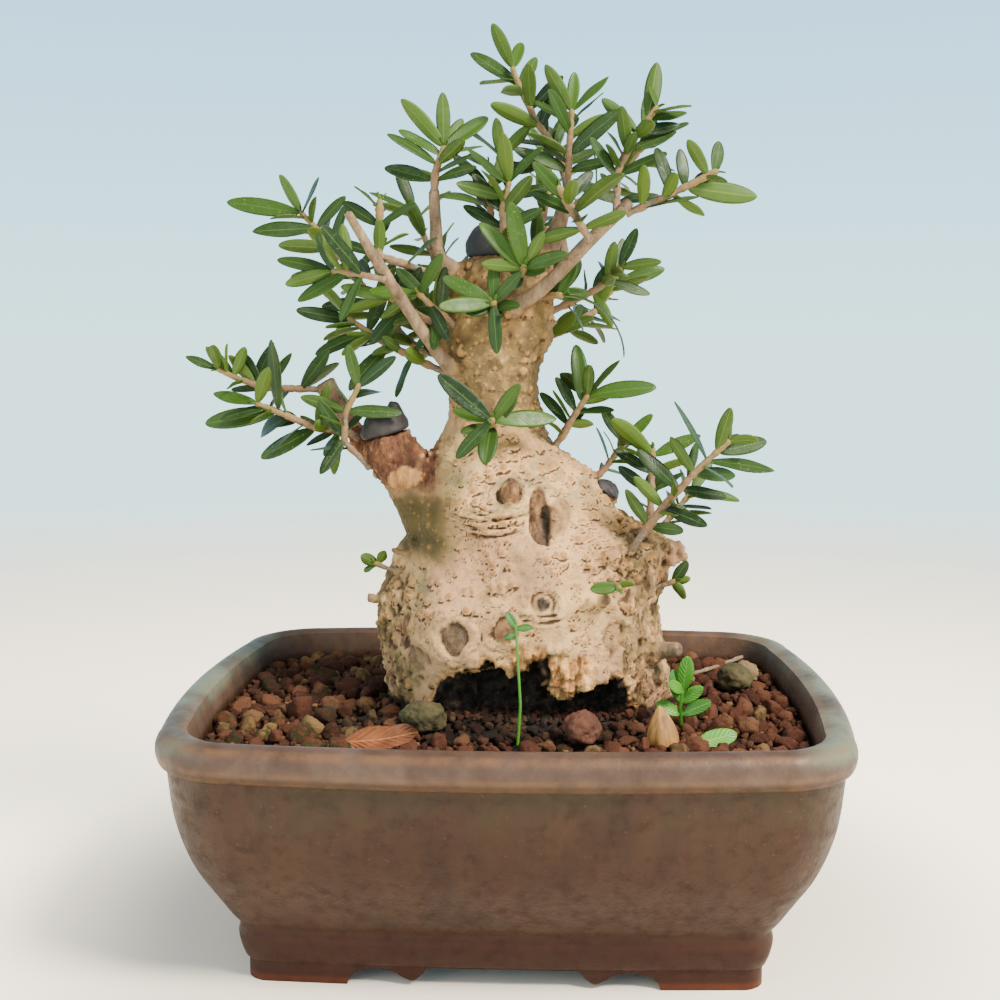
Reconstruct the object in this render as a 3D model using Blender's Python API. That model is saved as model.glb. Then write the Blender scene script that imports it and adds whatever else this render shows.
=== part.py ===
# Wild olive bonsai in a glazed rectangular pot.
# Metres, +Z up. The origin is the centre of the pot's base, on the surface it stands on.
# The front of the tree faces -Y. Sizes below are millimetres and are scaled by MM.

import math
import random

import bmesh
import bpy
from mathutils import Matrix, Vector
from mathutils.bvhtree import BVHTree

MM = 0.001
GAP = 0.3

# Pot: straight lip size, how far each side bows out, and the corner radius at the lip
LIP_HALF_X = 98.0
LIP_HALF_Y = 77.0
SIDE_BOW = 4.4
BOW_FADE = 40.0
CORNER_RADIUS = 25.0
CORNER_SHRINK = 0.78
CORNER_MIN = 6.5
CORNER_STEPS = 4
SIDE_STEPS = 4

# Pot profile from the foot up the outside and over the lip: height, inset from the lip
POT_OUTSIDE = (
    (0.0, 23.6), (6.0, 23.6), (6.6, 22.6), (9.6, 21.5), (13.6, 20.8), (16.6, 21.2), (20.0, 18.8),
    (27.0, 14.4), (34.0, 10.1), (42.0, 6.7), (52.0, 4.1), (65.6, 2.7), (66.6, 0.9), (69.4, 0.0),
    (72.6, 0.2), (75.2, 2.0), (76.0, 5.2), (74.6, 9.0),
)
POT_INSIDE = ((68.0, 9.8), (52.0, 10.8), (38.0, 15.8), (26.0, 23.4), (17.5, 31.0))
FLOOR_Z = 14.0
FLOOR_INSET = 35.0

# Underside: hollow between the feet, and the open stretch between each pair of feet
UNDER_HALF_X = 62.0
UNDER_HALF_Y = 44.0
UNDER_Z = 5.0
FOOT_ARCH_FRONT = (
    (45.0, -1.0), (44.2, 2.0), (41.5, 4.1), (37.0, 5.0), (32.0, 4.4), (29.0, 2.8), (26.0, 1.6),
    (23.6, 3.2), (21.5, 5.6),
)
FOOT_ARCH_SIDE = (
    (34.0, -1.0), (33.2, 2.0), (30.8, 4.1), (27.2, 5.0), (23.4, 4.4), (21.0, 2.8), (18.6, 1.6),
    (16.6, 3.2), (15.0, 5.6),
)
DRAIN_X = 36.0
DRAIN_RADIUS = 7.0
SCREEN_SIZE = 18.0
SCREEN_STRAND = 1.0
SCREEN_STRANDS = 3

# Soil
SOIL_EDGE_Z = 66.2
SOIL_MOUND = 2.6
SOIL_LUMP = 0.8
SOIL_AROUND = 42
SOIL_RINGS = 7

# Trunk: the part in the soil is an ellipse, above it each row is height, left, right, front, back
ROOT_X = 6.0
ROOT_Y = 0.5
ROOT_HALF_X = 44.5
ROOT_HALF_Y = 31.5
ROOT_BOTTOM_Z = 40.0
ROOT_TOP_Z = 70.9
TRUNK_SECTIONS = (
    (71.0, -38.5, 50.5, -31.0, 32.0),
    (80.0, -38.6, 51.0, -33.0, 32.0),
    (90.0, -39.4, 48.6, -34.5, 32.0),
    (99.0, -39.4, 48.0, -34.5, 31.5),
    (105.0, -38.8, 48.0, -34.0, 30.5),
    (110.0, -36.6, 49.8, -33.0, 29.5),
    (114.0, -34.4, 50.0, -32.0, 29.0),
    (119.0, -33.0, 51.0, -31.0, 27.0),
    (123.0, -31.0, 47.5, -30.0, 25.0),
    (127.0, -30.5, 40.0, -28.0, 23.0),
    (132.0, -30.5, 31.5, -26.0, 21.0),
    (138.0, -30.0, 27.8, -24.0, 20.0),
    (143.0, -29.0, 24.5, -22.0, 19.0),
    (148.0, -26.0, 16.5, -20.0, 18.0),
    (153.0, -21.8, 11.0, -18.5, 17.0),
    (160.0, -20.0, 8.8, -17.0, 16.0),
    (170.0, -19.4, 8.0, -16.0, 15.5),
    (177.0, -20.4, 9.0, -15.5, 15.0),
    (183.0, -22.6, 12.6, -16.0, 15.5),
    (190.0, -22.6, 13.6, -16.0, 15.5),
    (197.0, -20.4, 13.0, -15.0, 15.0),
    (203.0, -18.0, 11.2, -13.5, 14.0),
    (207.5, -15.0, 9.0, -11.0, 12.0),
)
TRUNK_AROUND = 32
TRUNK_STEP_Z = 6.8

# Rotten hollow at the foot of the trunk's front: centre and half width along X, rise and depth
HOLLOW_X = 8.0
HOLLOW_HALF = 33.0
HOLLOW_FLOOR_Z = 71.4
HOLLOW_RISE = 16.5
HOLLOW_DEPTH = 0.30

# Knots on the front of the trunk: x, z, radius, height of the collar, depth of the eye
KNOTS = (
    (0.8, 138.5, 4.6, 1.5, 2.2),
    (11.8, 130.0, 5.4, 1.6, 3.0),
    (10.8, 107.2, 4.6, 0.9, 0.9),
    (-0.3, 98.8, 4.8, 1.1, 1.2),
    (-15.5, 95.8, 5.8, 1.6, 1.2),
    (32.0, 96.0, 5.0, 1.5, 1.0),
    (-27.0, 88.0, 5.0, 1.6, 0.9),
)

# Woody branches that grew as one with the trunk: points x, y, z, radius; some end in a saw cut
BRANCHES = (
    ("stump", ((-19, -2, 110, 9.0), (-23.2, -3.6, 124, 8.8), (-26.5, -5, 135, 8.9), (-30.6, -6.4, 142, 8.5),
               (-36.4, -7.8, 150, 7.5), (-37.6, -8.0, 154.4, 7.2)), 1),
    ("stump_fork", ((-34, -4, 140, 4.4), (-43.5, -0.8, 148.6, 3.8), (-49.6, 0, 156.0, 3.1),
                    (-53.6, -1, 163, 2.8), (-57.8, -2.5, 170.4, 3.4)), 2),
    ("up_left", ((-8, -1, 193, 7.0), (-17, -6, 202.5, 4.6), (-21.6, -9.4, 208.5, 2.6),
                 (-22.0, -10, 216, 2.0), (-22.4, -11, 228, 1.7)), 2),
    ("long_cut", ((-12, -8, 170, 3.0), (-19.7, -14, 177.5, 2.1), (-33, -22, 198, 1.8),
                  (-45.6, -30, 219.7, 1.4)), 2),
    ("right", ((-4, -7, 186, 3.4), (1.5, -16.5, 192.5, 2.5), (11.4, -20.5, 199.6, 2.2),
               (23, -23, 211.3, 2.0), (35.4, -24.4, 223.0, 1.7)), 2),
    ("top", ((1, 1, 197, 6.0), (9.5, 2, 208.5, 4.2), (15.0, 0.6, 219, 2.6), (16.8, 0, 229.5, 1.9)), 2),
)
# Short stubs and thorns on the trunk: start and end points, radii
STUBS = (
    ((40, -8, 116), (53.4, -10.0, 119.6), 4.4, 3.6),
    ((20, -2.5, 126), (29.6, -4.3, 136.8), 4.8, 4.2),
    ((24, -20, 106), (29.5, -33.2, 108.6), 2.4, 1.9),
    ((26, -17, 118), (32.2, -29.0, 121.6), 2.6, 2.0),
    ((1, -12, 137), (1.0, -27.6, 139.2), 2.2, 1.7),
    ((5, -24, 92), (6.4, -38.0, 92.6), 1.9, 1.6),
    ((-26, -8, 116), (-36.4, -9.5, 119.0), 1.8, 0.8),
    ((-30, -6, 100), (-44.6, -7.2, 103.6), 2.8, 1.7),
    ((39, -16, 88), (51.8, -22.0, 91.4), 3.0, 2.4),
    ((6, 22, 118), (8, 33.5, 121.0), 4.2, 3.4),
    ((-16, 20, 96), (-19, 34.6, 98.5), 3.4, 2.6),
    ((30, 20, 104), (38, 31.0, 107.0), 3.2, 2.4),
)
# Splinters of dead wood on the trunk's broken top: foot, tip, foot radius
SPLINTER_TIP = 0.35
SPLINTERS = (
    ((8.5, 5.5, 202), (11.5, 6.5, 221.5), 3.8),
    ((12.0, 8.0, 200), (18.0, 9.5, 218.0), 3.4),
    ((8.5, 10.5, 200), (10.0, 13.5, 213.5), 3.2),
)

# Wound paste on the saw cuts: name, centre, axis, radius, height, height of its lump
PASTE_CAPS = (
    ("paste_stump", (-37.75, -8.02, 154.95), (-0.27, -0.045, 1), 7.4, 7.6, 3.2),
    ("paste_top", (-5.0, 0.3, 208.75), (0, 0, 1), 8.0, 9.0, 2.0),
    ("paste_shoulder", (29.9, -4.35, 137.15), (9.6, -1.8, 10.8), 3.9, 2.6, 0.8),
)

# Leaves
LEAF_THICK = 1.15
LEAF_WIDTH_RATIO = 0.29
LEAF_WIDTH_MIN = 4.0
LEAF_WIDTH_MAX = 6.4
LEAF_LIFT = 52.0
LEAF_ROWS = ((0.0, 0.15, 0.62), (0.34, 0.92, 1.0), (0.72, 0.86, 0.95))
LEAF_MARGIN = 0.75
TILT_SPREAD = 24.0
LEAF_ROOT_CLEAR = 1.6
VIEW_DIR = Vector((0.04, -0.99, 0.12))

# Leafy shoots. Each row: name, route of the shoot, its first and last radius, single leaves,
# pairs. A single leaf is: place along the shoot, heading in the front view in degrees, tilt
# towards the front, length, which side shows (1 upper, -1 lower, 0 edge). Pairs are: first
# place, last place, how many, first roll round the shoot, length.
SHOOTS = (
    ("shoot_low_left", ((-46, 0, 152), (-50, -7, 155.5), (-59, -14, 157), (-69, -18, 162), (-75, -20, 164.5)),
     (1.15, 0.8),
     ((0.22, -155, 10, 10, 0), (0.22, -99, 5, 14, -1), (0.42, -154, 12, 20, 1), (0.42, 76, 10, 14, -1),
      (0.8, -171, 15, 23, 1), (0.8, 92, 15, 22, 1), (1.0, 180, -8, 16, 1), (1.0, 68, 5, 14, -1)), None),
    ("shoot_far_left", ((-56.6, -2, 168), (-61.5, -4.5, 168.4), (-75, -10, 169), (-83, -12, 172),
                        (-88, -13, 174.5)),
     (1.15, 0.75),
     ((0.15, 51, 8, 16, 1), (0.15, 14, -16, 16, -1), (0.48, -173, -20, 12, 0), (0.48, 62, -12, 12, 1),
      (0.62, 131, 15, 12, -1), (0.62, 70, -20, 14, 1), (0.84, 134, 10, 13, -1), (0.84, 64, -14, 10, -1),
      (1.0, 159, 0, 11, 0), (1.0, 88, 25, 9, -1)), None),
    ("shoot_by_cut", ((-44, -11, 146), (-49.6, -16.5, 153), (-48.6, -18.6, 162), (-44.5, -19, 170)),
     (1.05, 0.8),
     ((0.4, -120, 10, 12, 1), (0.4, 120, 15, 14, 1), (0.7, 4, 15, 17, 1), (0.7, 165, 10, 15, -1),
      (0.98, 40, 5, 15, 1), (0.98, 100, -5, 13, 1)), None),
    ("shoot_long_side", ((-36.2, -25.5, 201), (-41, -25, 202), (-51, -22, 203.5)), (0.95, 0.75),
     ((0.35, 128, 12, 17, 1), (0.35, -118, 10, 15, 1), (0.68, 100, 5, 15, -1), (0.68, -150, 10, 17, 1),
      (1.0, 165, 5, 18, 1), (1.0, -165, 15, 15, -1), (1.0, 118, -20, 13, 1)), None),
    ("shoot_left_low", ((-18, -9, 173), (-27, -9, 177), (-40, -5, 183.5), (-50, -1, 190)), (1.3, 0.8),
     ((0.32, -118, 0, 14, 1), (0.32, 60, -10, 14, 1), (0.55, -132, 12, 17, 1), (0.55, 84, -14, 15, -1),
      (0.78, -160, 15, 18, 1), (0.78, 75, -10, 15, 1), (0.98, 125, 10, 17, -1), (0.98, 172, 0, 17, 1),
      (0.98, -135, -20, 14, -1)), None),
    ("shoot_left_back", ((-16, 5, 176), (-30, 8, 181), (-40, 12, 190), (-49, 15, 202), (-62, 18, 218),
                         (-68, 19, 224)), (1.4, 0.8),
     ((0.28, -165, -10, 17, 1), (0.28, 70, -20, 14, 1), (0.45, -176, 5, 17, 1), (0.45, 60, -12, 15, -1),
      (0.62, -174, 5, 19, 1), (0.62, 50, -5, 16, 1), (0.78, 180, -5, 17, -1), (0.78, 70, 5, 15, 1),
      (0.9, -178, 8, 20, 1), (0.9, 40, 0, 14, 1), (1.0, 172, 0, 26, 1), (1.0, 120, -12, 15, -1),
      (1.0, 55, 15, 13, 1)), None),
    ("shoot_cut_node", ((-22.5, -9.5, 203), (-33, -11.5, 206.6), (-39, -13.5, 208.4), (-38.8, -13, 214),
                        (-38.7, -11, 224.5)), (1.2, 1.1),
     ((0.25, 42, 12, 13, 1), (0.25, -60, 5, 12, 1), (0.5, 88, 25, 11, -1), (0.5, 160, 5, 15, 1),
      (0.78, 30, 5, 13, 1), (0.78, 150, -10, 14, 1)), None),
    ("shoot_up_left", ((-22.3, -11, 229), (-22, -12, 233), (-19.3, -12.5, 240)), (1.3, 0.85),
     ((0.12, 162, 0, 17, 1), (0.12, 18, 15, 13, 1), (0.3, 178, -16, 15, -1), (0.3, 30, -16, 13, 1),
      (0.55, 147, 8, 16, 1), (0.55, 38, 30, 12, -1), (0.8, 150, -18, 15, 1), (0.8, 20, -12, 13, 1),
      (1.0, 88, 8, 16, -1), (1.0, 131, 0, 19, -1), (1.0, 35, 0, 16, 1), (1.0, 62, -20, 11, -1)), None),
    ("shoot_mid_top", ((-5, 9, 203), (-6, 11.4, 212), (-6.5, 8.5, 221), (-6.5, 2, 230), (-3, 0, 239)),
     (1.4, 0.8),
     ((0.51, 160, 12, 15, 1), (0.51, 20, 10, 14, -1), (0.71, 140, 5, 16, 1), (0.71, 35, 15, 13, 1),
      (0.87, 165, -10, 14, 1), (0.87, 8, -12, 14, 1), (1.0, 140, 5, 15, 1), (1.0, 95, 20, 12, -1),
      (1.0, 45, -14, 13, -1)), None),
    ("shoot_star", ((-4.5, -15, 190.5), (-4.3, -20.5, 193.0), (-4.1, -25, 194.4)), (1.2, 0.9),
     ((0.92, -88, 16, 15, 1), (0.92, -173, 12, 15, 1), (0.92, 153, 10, 17, 1), (0.92, 92, 6, 13, 1),
      (0.92, 47, 16, 12, 1)), None),
    ("shoot_star_upper", ((3.4, -14, 201.0), (4.4, -20.5, 203.0), (4.8, -24.5, 204.6)), (1.2, 0.9),
     ((0.9, 134, 10, 18, 1), (0.9, 101, 4, 18, 1), (0.9, 172, 12, 13, -1), (0.9, 60, 10, 12, -1),
      (0.9, 20, 24, 13, 1)), None),
    ("shoot_star_low", ((-4.5, -16, 156.2), (-4.8, -22.5, 158.4), (-4.4, -27, 160.4)), (1.2, 0.9),
     ((0.92, 1, 10, 20, 1), (0.92, 50, 14, 14, 1), (0.92, 143, 8, 21, 1), (0.92, -134, 14, 15, 1),
      (0.92, 170, -4, 12, 1)), None),
    ("shoot_top", ((17.0, 0.0, 230.5), (14.6, -0.5, 240), (8.4, -3, 248), (3.6, -4, 257), (0.8, -4, 264)),
     (1.3, 0.75),
     ((0.14, 162, 16, 16, 1), (0.14, 30, -20, 14, 1), (0.34, 172, -10, 15, 1), (0.34, 60, -16, 13, -1),
      (0.5, 157, 12, 16, -1), (0.5, 70, -10, 13, 1), (0.66, 94, 18, 13, -1), (0.66, 40, -12, 14, 1),
      (0.86, 143, 5, 19, 1), (0.86, 60, -14, 10, -1), (1.0, 113, 8, 13.5, -1), (1.0, 78, -25, 10, 1)),
     None),
    ("shoot_top_front", ((17.6, -3.5, 231.0), (17.8, -8, 240), (18.4, -10, 250.5)), (1.1, 0.8),
     ((0.15, 158, 22, 15, 1), (0.15, 14, 15, 13, 1), (0.4, 150, 10, 14, -1), (0.4, 38, 8, 18, 1),
      (0.68, 118, 18, 13, 1), (0.68, 22, 10, 12, -1), (0.86, 140, -8, 12, 1), (0.86, 42, 15, 13, 1),
      (1.0, 122, 8, 15, -1), (1.0, 47, 0, 15, 1), (1.0, 84, -14, 12, 1)), None),
    ("shoot_right_tip", ((34.0, -22.2, 219.6), (43, -24, 223), (59.4, -26, 231)), (1.15, 0.9),
     ((0.1, 8, 12, 17, 1), (0.1, 88, 20, 12, -1), (0.45, 104, 0, 15, 1), (0.45, -30, -12, 12, -1),
      (0.62, -6, 5, 22, -1), (0.62, 95, -22, 12, 1), (0.9, 125, 10, 12, -1)), None),
    ("shoot_right_fork", ((30.6, -23.6, 218.3), (31.2, -18.5, 220.2), (32, -13.5, 225), (31.8, -12, 232),
                          (36, -12, 241), (43.2, -12, 251)), (1.15, 0.8),
     ((0.2, 150, 12, 15, 1), (0.2, 16, -16, 14, 1), (0.42, 130, 16, 14, 1), (0.42, 30, -8, 16, 1),
      (0.62, 100, 20, 12, -1), (0.62, 20, 10, 16, 1), (0.78, 136, -6, 15, -1), (0.78, 13, 0, 13, 1),
      (0.9, 80, -12, 18, -1), (0.9, 14, -20, 12, 1), (1.0, 108, 10, 7, 0)), None),
    ("shoot_inner_cut", ((22.6, -26.0, 213.6), (18.8, -30, 219.5), (14.6, -33, 226)), (1.2, 1.1),
     ((0.12, 18, 18, 13, -1), (0.12, -168, 14, 14, -1), (0.45, 44, 10, 18, -1), (0.45, 154, 12, 14, 1),
      (0.72, 50, -14, 12, 1), (0.72, 132, 12, 14, 1)), None),
    ("shoot_middle_right", ((11.0, -2, 147), (16.2, -4, 154), (19.5, -6, 160), (23.7, -8, 166.5)),
     (1.3, 0.8),
     ((0.4, 0, 10, 8, -1), (0.4, 127, 10, 14, 1), (0.66, 114, 14, 13, 1), (0.66, 8, -14, 12, 1),
      (0.84, 92, -4, 19, 1), (0.84, 20, 12, 13, -1), (1.0, 86, 16, 10, -1), (1.0, 45, 4, 15, 1),
      (1.0, 15, -2, 21, 1), (1.0, 132, -8, 14, 1)), None),
    ("shoot_lower_right", ((34, -20, 117), (39.4, -26, 126), (46.4, -28, 136), (55, -30, 146),
                           (63.5, -32, 154.5)), (1.4, 0.8),
     ((0.24, 121, 6, 13, -1), (0.24, -8, 14, 11, 1), (0.4, 135, 6, 13, -1), (0.4, -19, 10, 13, 1),
      (0.56, 135, 14, 17, 1), (0.56, -13, 2, 15, 1), (0.7, 124, -14, 13, -1), (0.7, -3, -12, 14, 1),
      (0.82, 119, 10, 20, 1), (0.82, -2, 8, 19, 1), (0.9, 74, 8, 14, -1), (0.9, 7, -14, 16, 1),
      (1.0, 88, 6, 8, -1), (1.0, 12, 14, 9, -1)), None),
    ("shoot_shoulder", ((42.6, -6, 118), (43.6, -6, 134), (44, -6, 150)), (1.2, 0.95),
     ((0.45, 140, 8, 13, 1), (0.45, 30, -14, 12, 1), (0.7, 146, 4, 14, 1), (0.7, 22, -6, 15, -1),
      (0.92, 137, 8, 19, -1), (0.92, 26, 6, 16, 1)), None),
    ("shoot_shoulder_back", ((45, 8, 116), (50, 10, 126), (58, 12, 135)), (1.2, 0.8),
     ((1.0, -10, -5, 16, 1), (1.0, 60, -10, 14, 1)), (0.45, 0.86, 3, 20, 14)),
    ("shoot_shoulder_top", ((22, 5, 135), (30, 8, 143), (36, 9, 151)), (1.15, 0.8),
     ((1.0, 45, 0, 13, 1), (1.0, 120, -8, 13, 1)), (0.5, 0.9, 2, 60, 12)),
    ("shoot_back_right", ((4, 10, 182), (18, 18, 187), (27, 22, 193), (34, 25, 202)), (1.4, 0.8),
     ((1.0, 20, -20, 17, 1), (1.0, 85, -10, 15, 1)), (0.42, 0.9, 3, 30, 16)),
    ("shoot_back_top", ((4, 9, 203), (9, 19, 218), (11, 24, 230), (12, 26, 242)), (1.4, 0.8),
     ((1.0, 70, -15, 15, 1), (1.0, 130, -10, 14, 1)), (0.4, 0.92, 4, 10, 15)),
    ("shoot_back_left", ((-10, 9, 193), (-20, 20, 203), (-28, 27, 214), (-33, 31, 226)), (1.4, 0.8),
     ((1.0, 110, -20, 16, 1), (1.0, 160, -10, 16, 1)), (0.38, 0.92, 4, 50, 16)),
    ("shoot_back_low", ((-4, 12, 152), (-2, 25, 158), (-3, 33, 166), (-1, 38, 177)), (1.4, 0.8),
     ((1.0, 60, -25, 14, 1), (1.0, 120, -20, 14, 1)), (0.45, 0.92, 2, 0, 15)),
    ("shoot_back_mid", ((-14, 8, 180), (-26, 20, 186), (-32, 28, 194)), (1.3, 0.8),
     ((1.0, 150, -25, 15, 1), (1.0, 90, -10, 15, 1)), (0.5, 0.9, 2, 25, 15)),
    ("shoot_right_back", ((15.6, 3, 222), (26, 9, 229), (35, 12, 236), (42, 13, 245)), (1.3, 0.8),
     ((1.0, 30, -10, 15, 1), (1.0, 90, 0, 14, 1)), (0.36, 0.92, 4, 65, 15)),
    ("shoot_under_right", ((8, -4, 190), (19, -6, 195), (27, -8, 199), (33, -9, 205)), (1.3, 0.8),
     ((0.55, -58, 10, 13, -1), (0.55, 60, 0, 12, 1), (0.78, -22, 5, 14, 1), (0.78, 80, -8, 12, -1),
      (1.0, 10, 5, 13, -1), (1.0, 65, 5, 13, 1)), None),
    ("shoot_inner_left", ((-18, -3, 186), (-28, -5, 191), (-36, -7, 196)), (1.3, 0.8),
     ((0.45, -70, 10, 14, 1), (0.45, 95, 12, 14, 1), (0.72, -130, 5, 15, 1), (0.72, 60, 15, 14, 1),
      (1.0, 170, 10, 16, 1), (1.0, -155, -8, 14, -1), (1.0, 110, 14, 14, 1)), None),
    ("shoot_neck_left", ((-13, -9, 185), (-20, -15, 191), (-26.5, -17, 197)), (1.2, 0.85),
     ((0.35, -112, 10, 13, 1), (0.35, 82, 10, 14, 1), (0.7, -62, 15, 14, 1), (0.7, 120, 10, 15, 1),
      (1.0, 176, 5, 15, 1), (1.0, 58, 18, 14, 1), (1.0, -148, 12, 14, -1)), None),
    ("shoot_top_inner", ((0, -6, 203), (-1, -12, 211), (-2, -15, 221), (0, -16, 229)), (1.3, 0.8),
     ((0.4, 152, 10, 14, 1), (0.4, 25, 14, 13, 1), (0.6, 125, 15, 15, 1), (0.6, 50, 12, 14, -1),
      (0.82, 166, 5, 15, -1), (0.82, 14, 8, 14, 1), (1.0, 142, 5, 16, 1), (1.0, 98, 12, 14, -1),
      (1.0, 50, 0, 15, 1)), None),
    ("shoot_hanging", ((9.0, -12, 196), (13.5, -17.0, 196.6), (15.5, -18.5, 196.4)), (1.1, 0.9),
     ((0.9, 60, 20, 11, 1),), None),
    ("sprout_left", ((-34, -6, 111), (-39.8, -8, 113.6), (-41.4, -8.4, 114.6)), (0.9, 0.8),
     ((0.9, 150, 5, 6, -1), (0.9, 60, 10, 5, -1), (0.9, -150, 8, 5, 0)), None),
    ("sprout_front", ((28, -20, 114), (32.0, -34.5, 113.0), (32.6, -37, 112.8)), (0.9, 0.8),
     ((0.9, 178, 8, 8, 1), (0.9, 20, 14, 5, -1)), None),
    ("sprout_right", ((40, -6, 106), (49.6, -7.0, 108.5), (51.0, -7.2, 109.5)), (0.95, 0.8),
     ((0.9, 60, 8, 8, 1), (0.9, -50, 5, 7, -1), (0.9, 5, -5, 6, -1)), None),
)
# The big pale leaf that arches over and hangs down on the right
HANGING_LEAF = {"shoot": "shoot_hanging", "at": 0.95, "heading": 4, "tilt": 6, "length": 30, "width": 8.4,
                "bend": 96}

random.seed(14)


def clear_scene():
    for obj in list(bpy.data.objects):
        bpy.data.objects.remove(obj, do_unlink=True)


def smooth01(t):
    t = min(max(t, 0.0), 1.0)
    return t * t * (3.0 - 2.0 * t)


def lerp(a, b, t):
    return a + (b - a) * t


def material(name, color, roughness, metallic=0.0):
    mat = bpy.data.materials.new(name)
    mat.use_nodes = True
    shader = mat.node_tree.nodes["Principled BSDF"]
    shader.inputs["Base Color"].default_value = (*color, 1.0)
    shader.inputs["Roughness"].default_value = roughness
    shader.inputs["Metallic"].default_value = metallic
    return mat


def collection(name):
    found = bpy.data.collections.get(name)
    if found is None:
        found = bpy.data.collections.new(name)
        bpy.context.scene.collection.children.link(found)
    return found


def add_mesh(name, points, faces, group, mat=None, smooth=None):
    # Points are millimetres
    mesh = bpy.data.meshes.new(name)
    mesh.from_pydata([(x * MM, y * MM, z * MM) for x, y, z in points], [], faces)
    bm = bmesh.new()
    bm.from_mesh(mesh)
    bmesh.ops.recalc_face_normals(bm, faces=bm.faces)
    bm.to_mesh(mesh)
    bm.free()
    obj = bpy.data.objects.new(name, mesh)
    group.objects.link(obj)
    if mat:
        mesh.materials.append(mat)
    if smooth:
        mesh.shade_smooth()
        mesh.set_sharp_from_angle(angle=math.radians(smooth))
    return obj


def loft_faces(rows, around):
    # Side quads between rings of equal count, with an n-gon at each end
    faces = [tuple(reversed(range(around)))]
    for row in range(rows - 1):
        for i in range(around):
            j = (i + 1) % around
            faces.append((row * around + i, row * around + j,
                          (row + 1) * around + j, (row + 1) * around + i))
    faces.append(tuple(range((rows - 1) * around, rows * around)))
    return faces


def evaluated_mesh(obj):
    graph = bpy.context.evaluated_depsgraph_get()
    graph.update()
    return bpy.data.meshes.new_from_object(obj.evaluated_get(graph))


def apply_modifiers(obj):
    mesh = evaluated_mesh(obj)
    obj.modifiers.clear()
    old = obj.data
    obj.data = mesh
    bpy.data.meshes.remove(old)


def boolean(obj, others, operation, solver="EXACT"):
    # Joins or cuts obj with a collection of other objects, which are then removed
    group = collection("operands")
    for other in others:
        for owner in list(other.users_collection):
            owner.objects.unlink(other)
        group.objects.link(other)
    step = obj.modifiers.new("Boolean", "BOOLEAN")
    step.operand_type = "COLLECTION"
    step.collection = group
    step.operation = operation
    step.solver = solver
    apply_modifiers(obj)
    for other in others:
        bpy.data.objects.remove(other, do_unlink=True)
    bpy.data.collections.remove(group)


def keep_body(obj):
    # Fills hollows that the joining sealed and drops loose scraps: only the main skin stays
    bm = bmesh.new()
    bm.from_mesh(obj.data)
    bm.verts.ensure_lookup_table()
    unseen = set(range(len(bm.verts)))
    skins = []
    while unseen:
        first = unseen.pop()
        skin, front = {first}, [first]
        while front:
            for edge in bm.verts[front.pop()].link_edges:
                for vert in edge.verts:
                    if vert.index in unseen:
                        unseen.discard(vert.index)
                        skin.add(vert.index)
                        front.append(vert.index)
        skins.append(skin)
    keep = max(skins, key=len)
    drop = [v for v in bm.verts if v.index not in keep]
    bmesh.ops.delete(bm, geom=drop, context="VERTS")
    bm.to_mesh(obj.data)
    bm.free()


def catmull(points, per_span):
    # Smooth route through points of any dimension
    pts = [tuple(float(c) for c in p) for p in points]
    ends = [pts[0]] + pts + [pts[-1]]
    out = []
    for k in range(len(pts) - 1):
        a, b, c, d = ends[k:k + 4]
        for step in range(per_span):
            t = step / per_span
            out.append(tuple(
                0.5 * (2 * q + (r - p) * t + (2 * p - 5 * q + 4 * r - s) * t * t
                       + (3 * q - p - 3 * r + s) * t ** 3)
                for p, q, r, s in zip(a, b, c, d)))
    out.append(pts[-1])
    return out


def tube(name, points, group, sides_step=1):
    # points: x, y, z, radius in millimetres
    curve = bpy.data.curves.new(name, "CURVE")
    curve.dimensions = "3D"
    curve.bevel_depth = MM
    curve.bevel_resolution = sides_step
    curve.use_fill_caps = True
    spline = curve.splines.new("POLY")
    spline.points.add(len(points) - 1)
    for point, (x, y, z, radius) in zip(spline.points, points):
        point.co = (x * MM, y * MM, z * MM, 1.0)
        point.radius = radius
    holder = bpy.data.objects.new(name, curve)
    group.objects.link(holder)
    mesh = evaluated_mesh(holder)
    bm = bmesh.new()
    bm.from_mesh(mesh)
    bmesh.ops.remove_doubles(bm, verts=bm.verts, dist=1e-6)
    bmesh.ops.recalc_face_normals(bm, faces=bm.faces)
    bm.to_mesh(mesh)
    bm.free()
    place = holder.matrix_world.copy()
    bpy.data.objects.remove(holder, do_unlink=True)
    obj = bpy.data.objects.new(name, mesh)
    group.objects.link(obj)
    obj.matrix_world = place
    return obj


def primitive(kind, name, location, extent, rotation=(0, 0, 0), group=None, **options):
    # A Blender primitive with its scale applied; location and extent are millimetres
    at = tuple(c * MM for c in location)
    getattr(bpy.ops.mesh, "primitive_" + kind + "_add")(location=(0, 0, 0), **options)
    obj = bpy.context.object
    obj.name = name
    turn = Matrix.Rotation(rotation[2], 4, "Z") @ Matrix.Rotation(rotation[1], 4, "Y")
    turn = turn @ Matrix.Rotation(rotation[0], 4, "X")
    scale = Matrix.Diagonal((extent[0] * MM, extent[1] * MM, extent[2] * MM, 1.0))
    obj.data.transform(Matrix.Translation(at) @ turn @ scale)
    for owner in list(obj.users_collection):
        owner.objects.unlink(obj)
    (group or collection("wild_olive_bonsai")).objects.link(obj)
    return obj


def world_points(obj):
    return [obj.matrix_world @ v.co / MM for v in obj.data.vertices]


def tree_of(obj):
    return BVHTree.FromPolygons(world_points(obj), [tuple(p.vertices) for p in obj.data.polygons])


def finish(obj, mat, smooth=None):
    obj.data.materials.clear()
    obj.data.materials.append(mat)
    if smooth:
        obj.data.shade_smooth()
        obj.data.set_sharp_from_angle(angle=math.radians(smooth))


# Pot

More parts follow.
